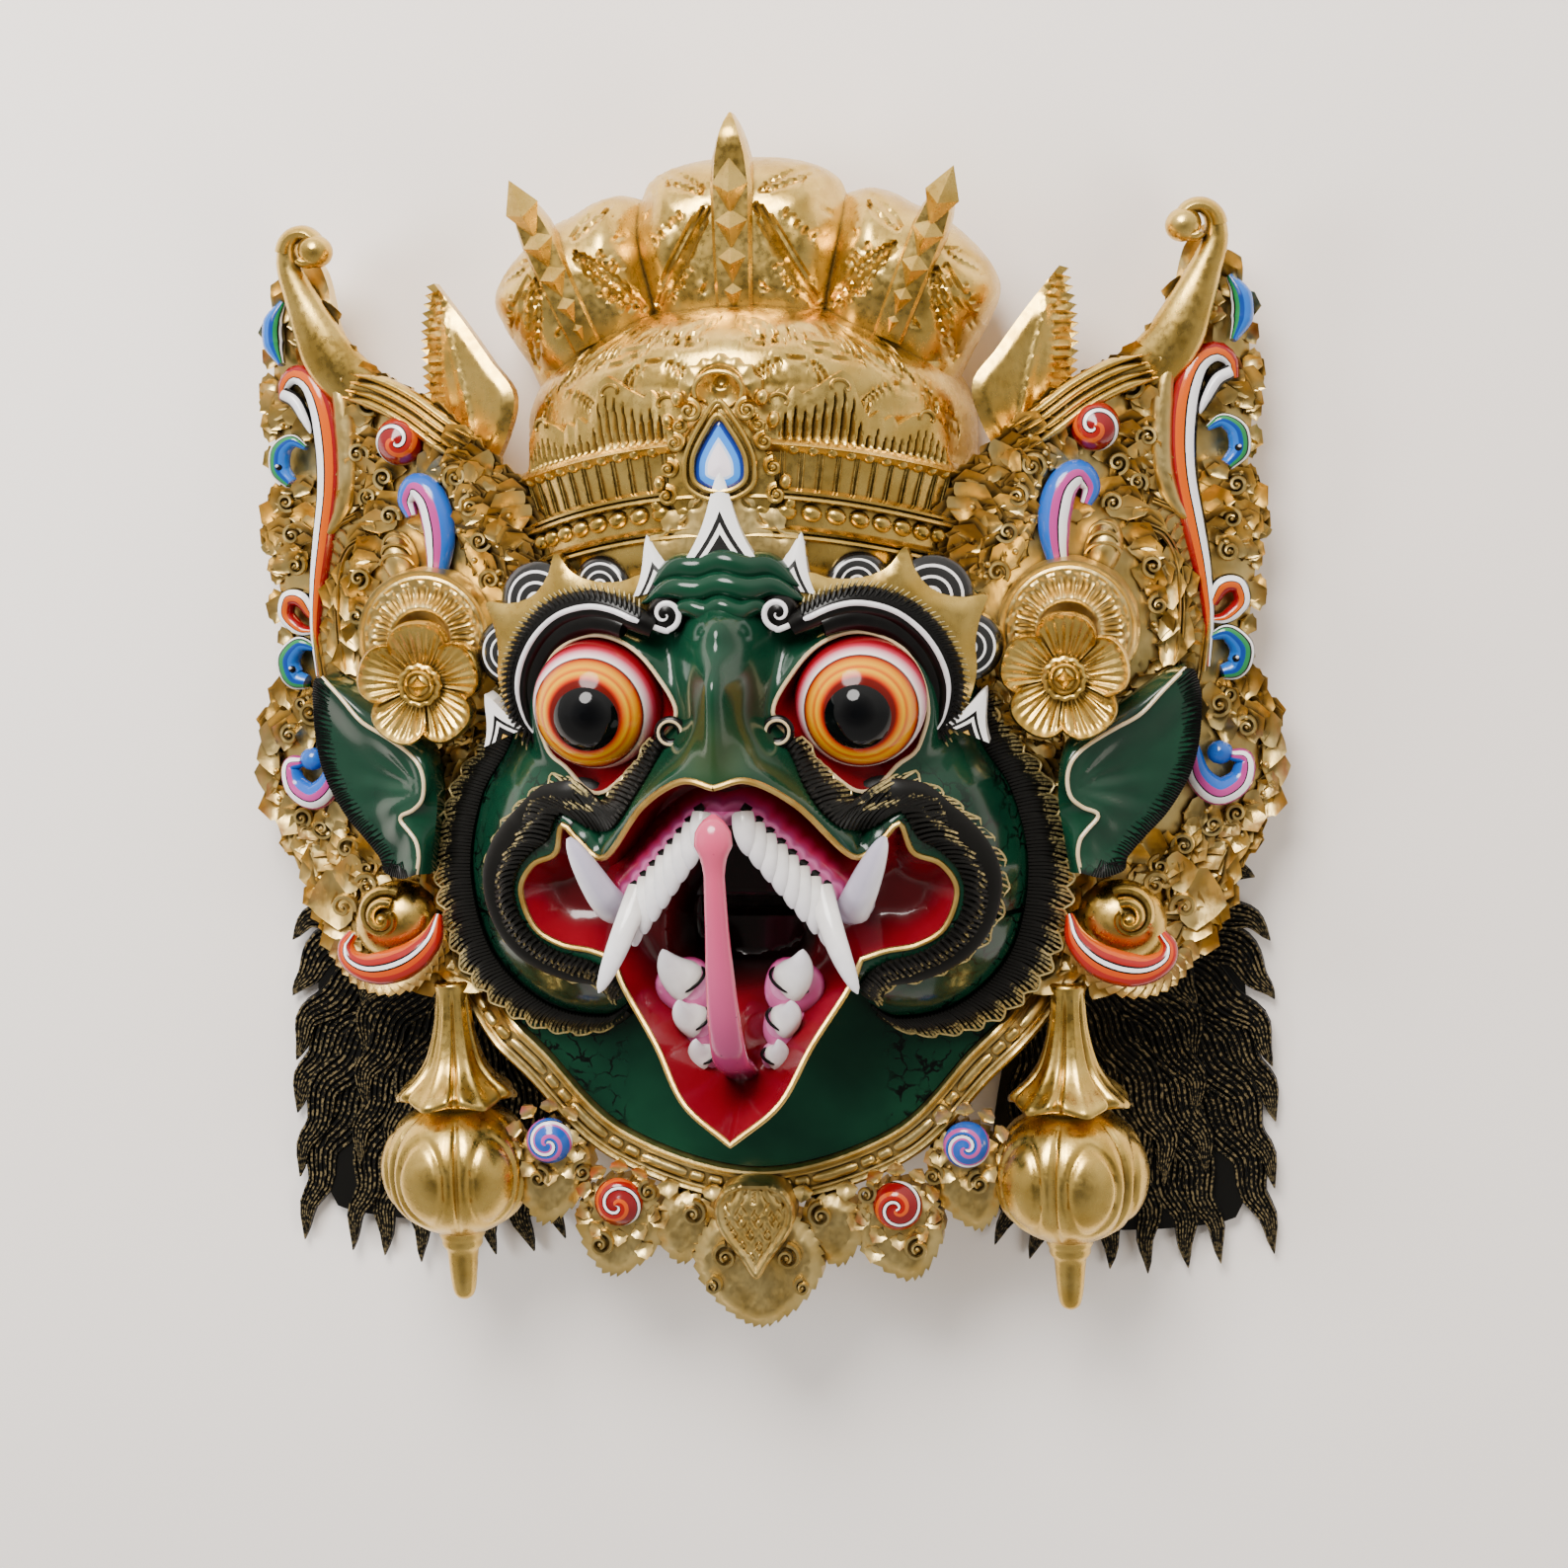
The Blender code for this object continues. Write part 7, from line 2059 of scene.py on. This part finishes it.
# %% [markdown]
# The hair is a flat black board carved into wavy locks. Each lock is a bundle of six or seven strands that
# run side by side along one wavy line and draw together in a hooked tip. A front row of locks lies over the
# back row, and the gold sits on the ridges of the strands.


# %% Locks of hair
def lock(store, root, tip, strands, depth, hook, wave, spacing=2.9):
    """One lock from its root to its tip, both in plan; hook bends its end, wave shifts its ripples."""
    n = 30
    t = np.linspace(0, 1, n)
    root, tip = np.array(root, float), np.array(tip, float)
    span = tip - root
    length = np.linalg.norm(span)
    along = span / length
    across = np.array((-along[1], along[0]))
    ripple = 2.7 * np.sin(2 * math.pi * (t * length / 33 + wave)) * (1 - ease(t, 0.80, 1.0)) * (0.5 + 0.5 * t)
    bend = hook * np.sin(math.pi * t**1.7) * 0.6
    middle = root + span * t[:, None] + across * (ripple + bend)[:, None]
    end = np.clip(1 - (np.clip(t - 0.60, 0, 1) / 0.402) ** 1.5, 0.0, 1) ** 0.8
    turn = np.stack([np.gradient(middle[:, 0]), np.gradient(middle[:, 1])], 1)
    turn /= np.linalg.norm(turn, axis=1, keepdims=True)
    side = np.stack([-turn[:, 1], turn[:, 0]], 1)
    half = spacing * strands / 2 * (0.65 + 0.35 * ease(t, 0, 0.25)) * end + 0.2
    base = np.column_stack([middle, np.full(n, depth - 0.6)])
    points, quads, marks = rods(base, half * 0.94, 2.4 * np.minimum(1, half / 3) + 0.1, 8)
    store.add(points, quads, 0, height=-1, along=0)
    lines = []
    for k in range(strands):
        place = (k + 0.5) / strands * 2 - 1
        shift = (half - 0.3) * place * 0.97
        rise = depth + 1.4 * np.sqrt(np.clip(1 - place**2 * 0.8, 0, 1)) * np.minimum(1, half / 3)
        lines.append(np.column_stack([middle + side * shift[:, None], rise]))
    width = spacing * 0.43 * np.maximum(end * (0.65 + 0.35 * ease(t, 0, 0.25)), 0.10)
    points, quads, marks = rods(lines, width, 2.0 * np.maximum(end, 0.15), 6)
    store.add(points, quads, 0, height=marks["height"], along=marks["along"])


BACK_TIPS = [(208.5, -70), (215, -97), (217, -123), (216, -152), (217.5, -177), (217, -206), (217, -236),
             (194, -240), (180, -243), (162.5, -245), (146, -244), (128, -241), (111, -240), (96, -233)]
FRONT_TIPS = [(186, -104), (183, -126), (183, -150), (184, -172), (188, -199), (170, -203), (157, -214)]
hair = Carving("height", "along")
for i, tip in enumerate(BACK_TIPS):
    turn = math.radians(18 - 108 * i / (len(BACK_TIPS) - 1))
    root = (118 + 30 * math.cos(turn), -84 + 26 * math.sin(turn))
    lock(hair, root, tip, 6 if i % 2 else 7, 4.2 + 2.6 * (i % 2), 15 if i < 7 else 9, 0.31 * i, 2.8)
for i, tip in enumerate(FRONT_TIPS):
    turn = math.radians(-8 - 62 * i / (len(FRONT_TIPS) - 1))
    root = (118 + 26 * math.cos(turn), -84 + 22 * math.sin(turn))
    lock(hair, root, tip, 6, 9.8 + 1.8 * (i % 2), 13, 0.27 * i + 0.15, 2.8)
board = [(112, -60), (150, -66), (196, -76), (203, -100), (205, -130), (204, -160), (204, -190),
         (202, -218), (180, -224), (150, -226), (120, -224), (98, -218), (96, -180), (104, -130), (104, -90)]
points, faces = slab_net(soft_line(board, 60, True), lambda x, y: 5.5 + 0 * x, lambda x, y: 0.4 + 0 * x, 9)
hair.add(points, faces, 0, height=-1, along=0)
for part in hair.points:
    part[:, 2] = np.clip(part[:, 2], 0.2, 16)
hair.pair("hair_form_*", "black_paint", [hair_paint], "hair_*")
# %% [markdown]
# The collar is a ring round the throat: a double rim, a channel with flat tiles (one long, two short), and a
# double rim again. Under it hang leaves with saw edges, volutes and swirl balls, and a shield in the middle.

# %% Collar ring
inner = edge_line[edge_line[:, 1] < -92][:, :2]
inner = inner[np.argsort(np.arctan2(inner[:, 1] + 20, inner[:, 0]))]
inner = soft_line(inner, 240)
out = inner - (0, -20)
out /= np.linalg.norm(out, axis=1, keepdims=True)
collar = Carving()
SECTION = [(0.6, 46), (0.6, 64), (1.4, 65.6), (2.4, 66), (3.2, 65), (3.8, 64.6), (4.3, 65.2), (4.9, 65),
           (5.4, 63.6), (10.4, 63.6), (11.0, 65.2), (11.7, 65.4), (12.3, 64.8), (12.9, 65.6), (14.0, 66),
           (15.0, 65), (15.6, 63), (15.6, 46)]
sunk = -16 * ease(inner[:, 1], -124, -104)
band = np.array([np.column_stack([inner + out * reach, depth + sunk * (depth > 50)]) for reach,
                 depth in SECTION])
index = np.arange(band.shape[0] * 240).reshape(band.shape[0], 240)
nxt = np.roll(index, -1, axis=0)
collar.add(band, np.stack([index[:, :-1], index[:, 1:], nxt[:, 1:], nxt[:, :-1]], -1).reshape(-1, 4)[:, ::-1])
collar.add(band[:, 0], np.arange(len(SECTION))[None])
collar.add(band[:, -1], np.arange(len(SECTION))[None, ::-1])
run = np.concatenate(([0], np.cumsum(np.linalg.norm(np.diff(inner + out * 7.9, axis=0), axis=1))))
at, tiles = 4.0, []
while at < run[-1] - 4:
    for length in (20.0, 6.4, 6.4):
        tiles.append((at, at + length))
        at += length + 1.5
for start, end in tiles:
    if end > run[-1] - 2:
        continue
    s = np.linspace(start, end, 12)
    middle = np.stack([np.interp(s, run, (inner + out * 7.9)[:, k]) for k in (0, 1)], 1)
    swell = np.array([0.55, 0.88, 0.98, 1, 1, 1, 1, 1, 1, 0.98, 0.88, 0.55])
    depth = 64.2 - 16 * ease(middle[:, 1], -124, -104)
    collar.rod(np.column_stack([middle, depth]), 2.25 * swell, 2.0 * swell, 10)

# %% [markdown]
# The leaves under the ring are flat boards with saw edges; the shield has a lattice in its heart.

# %% Collar leaves, shield and swirls


def saw_outline(x, y, half, tall, lean, teeth, depth=0.10):
    """A hanging leaf with teeth along its edge, its point down."""
    t = np.linspace(0, 2 * math.pi, teeth * 8, endpoint=False)
    saw = 1 + depth * (((t * teeth / (2 * math.pi)) % 1) - 0.5)
    a, b = half * np.sin(t) * saw, tall * 0.5 * np.cos(t) * saw
    a = np.where(b < 0, a * (1 - 0.35 * np.clip(b / (tall * 0.5), -1.2, 0) ** 2), a)
    b = np.where(b < 0, b * 1.25, b)
    turn = math.radians(lean)
    return np.stack([x + a * math.cos(turn) - b * math.sin(turn),
                     y + a * math.sin(turn) + b * math.cos(turn)], 1)


def flat_leaf(store, outline, depth, rise, thick, veins, centre):
    """A carved leaf over an outline, with soft dents as a small gouge leaves them."""
    corners, faces = plan_net(outline, [], 1.75)
    edge = nearest(corners, outline, True)[0]
    x, y = corners.T
    dents = 0.35 * np.sin(x * 1.9 + y * 0.7) * np.sin(y * 1.7 - x * 0.6)
    angle = np.arctan2(y - centre[1], x - centre[0])
    z = depth + rise * ease(edge, 0, 5) + dents * ease(edge, 1, 3) + veins * np.cos(angle * 9) * ease(edge,
                                                                                                      0.5, 3)
    n = len(corners)
    points = np.concatenate([np.stack([x, y, z], 1), np.stack([x, y, np.full(n, depth - thick)], 1)])
    store.add(points, faces)
    store.add(points, faces[:, ::-1] + n)
    store.add(points, rim_walls(faces, n))


swirls = Carving("swirl_sin", "swirl_cos")
flat_leaf(collar, saw_outline(0, -221, 27.5, 47, 0, 34, 0.07), 70, 3.0, 15, 0.3, (0, -214))
for side in (-1, 1):
    flat_leaf(collar, saw_outline(side * 31, -207, 13.5, 28, side * 10, 17, 0.12), 67, 2.6, 13, 0.25,
              (side * 29, -200))
    flat_leaf(collar, saw_outline(side * 59, -207, 19, 38, side * 14, 24, 0.10), 66, 2.6, 13, 0.3,
              (side * 59, -200))
    flat_leaf(collar, saw_outline(side * 88, -184, 16.5, 40, side * 12, 22, 0.10), 64.5, 2.6, 13, 0.3,
              (side * 88, -172))
    for x, y, depth, radius, hand in ((13, -218, 75.5, 5.4, -1), (27, -201, 71, 5.6, 1),
                                      (67, -215, 70, 5.4, 1), (93, -187, 68.5, 5.0, 1),
                                      (46, -192, 69, 4.4, -1), (74, -184, 68, 4.4, -1),
                                      (19, -231, 74, 3.6, 1)):
        volute(collar, (side * x, y, depth), radius, 0, side * hand, 1.5, 90, 1.25, 2.6, 2.4)
    leaf_places = []
    for cx, cy in ((59, -197), (88, -171)):
        for step in range(9):
            angle = math.radians(200 + step * 36)
            leaf_places.append((cx + 11.5 * math.cos(angle), cy + 11.5 * math.sin(angle),
                                math.degrees(angle) - 90))
    leaf_places = np.array(leaf_places)
    put_leaves(collar, curled, leaf_places[:, :2] * (side, 1), leaf_places[:, 2] * side, 7.5,
               lambda x, y: 69.0 + 0 * x, 0, 0.9, 0.05)
    swirl_ball(swirls, (side * 59, -197, 69.5), 10.4, 0, 0.62, side, 1.25, 0.4)
    swirl_ball(swirls, (side * 88, -171, 68.5), 9.8, 1, 0.62, side, 1.25, 2.2)
for x, y, turn, size in ((38, -186, 175, 9), (44, -200, 150, 9), (50, -214, 160, 8), (72, -200, 215, 8),
                         (76, -172, 190, 8), (20, -188, 170, 8), (22, -212, 140, 8)):
    for side in (-1, 1):
        put_leaves(collar, curled, [(side * x, y)], [side * turn], [size], lambda x, y: 68.5 + 0 * x, 0.5,
                   0.9)
SHIELD = [(0, -185), (7, -185.5), (13, -188.5), (16.8, -195), (16.2, -203), (12, -211), (6, -219), (0, -227)]
line = soft_line(both_sides(SHIELD), 120, True)
corners, faces = plan_net(line, [], 0.8)
x, y = corners.T
edge = nearest(corners, line, True)[0]
low_heart = (y < -195.5 + 2.0 * np.cos(x * 1.1)) & (edge > 4.2)
lattice = np.minimum(np.abs(((x + y * 0.72) / 3.6) % 1 - 0.5), np.abs(((x - y * 0.72) / 3.6) % 1 - 0.5))
angle = np.arctan2(x, y + 180)
z = 78.5 + 2.2 * ease(edge, 0, 1.2) - 1.1 * ease(edge, 2.4, 3.2) + 1.2 * ease(edge, 3, 9)
z = z - np.where(low_heart, 0.9 * np.exp(-((lattice / 0.10) ** 2)), 0)
z = z - np.where((y > -194) & (edge > 2.6), 0.9 * np.exp(-((np.abs((angle * 3.4) % 1 - 0.5) / 0.12) ** 2)), 0)
heart_edge = np.abs(edge - 4.2)
z = z - np.where(y < -194, 0.6 * np.exp(-((heart_edge / 0.5) ** 2)), 0)
n = len(corners)
points = np.concatenate([np.stack([x, y, z], 1), np.stack([x, y, np.full(n, 64.0)], 1)])
collar.add(points, faces)
collar.add(points, rim_walls(faces, n))
collar.piece("collar_form", "pale_gold_leaf", [pale_gold], "collar")
swirls.piece("collar_swirls", "accent_paint", [hot_swirl, cool_swirl], "collar")
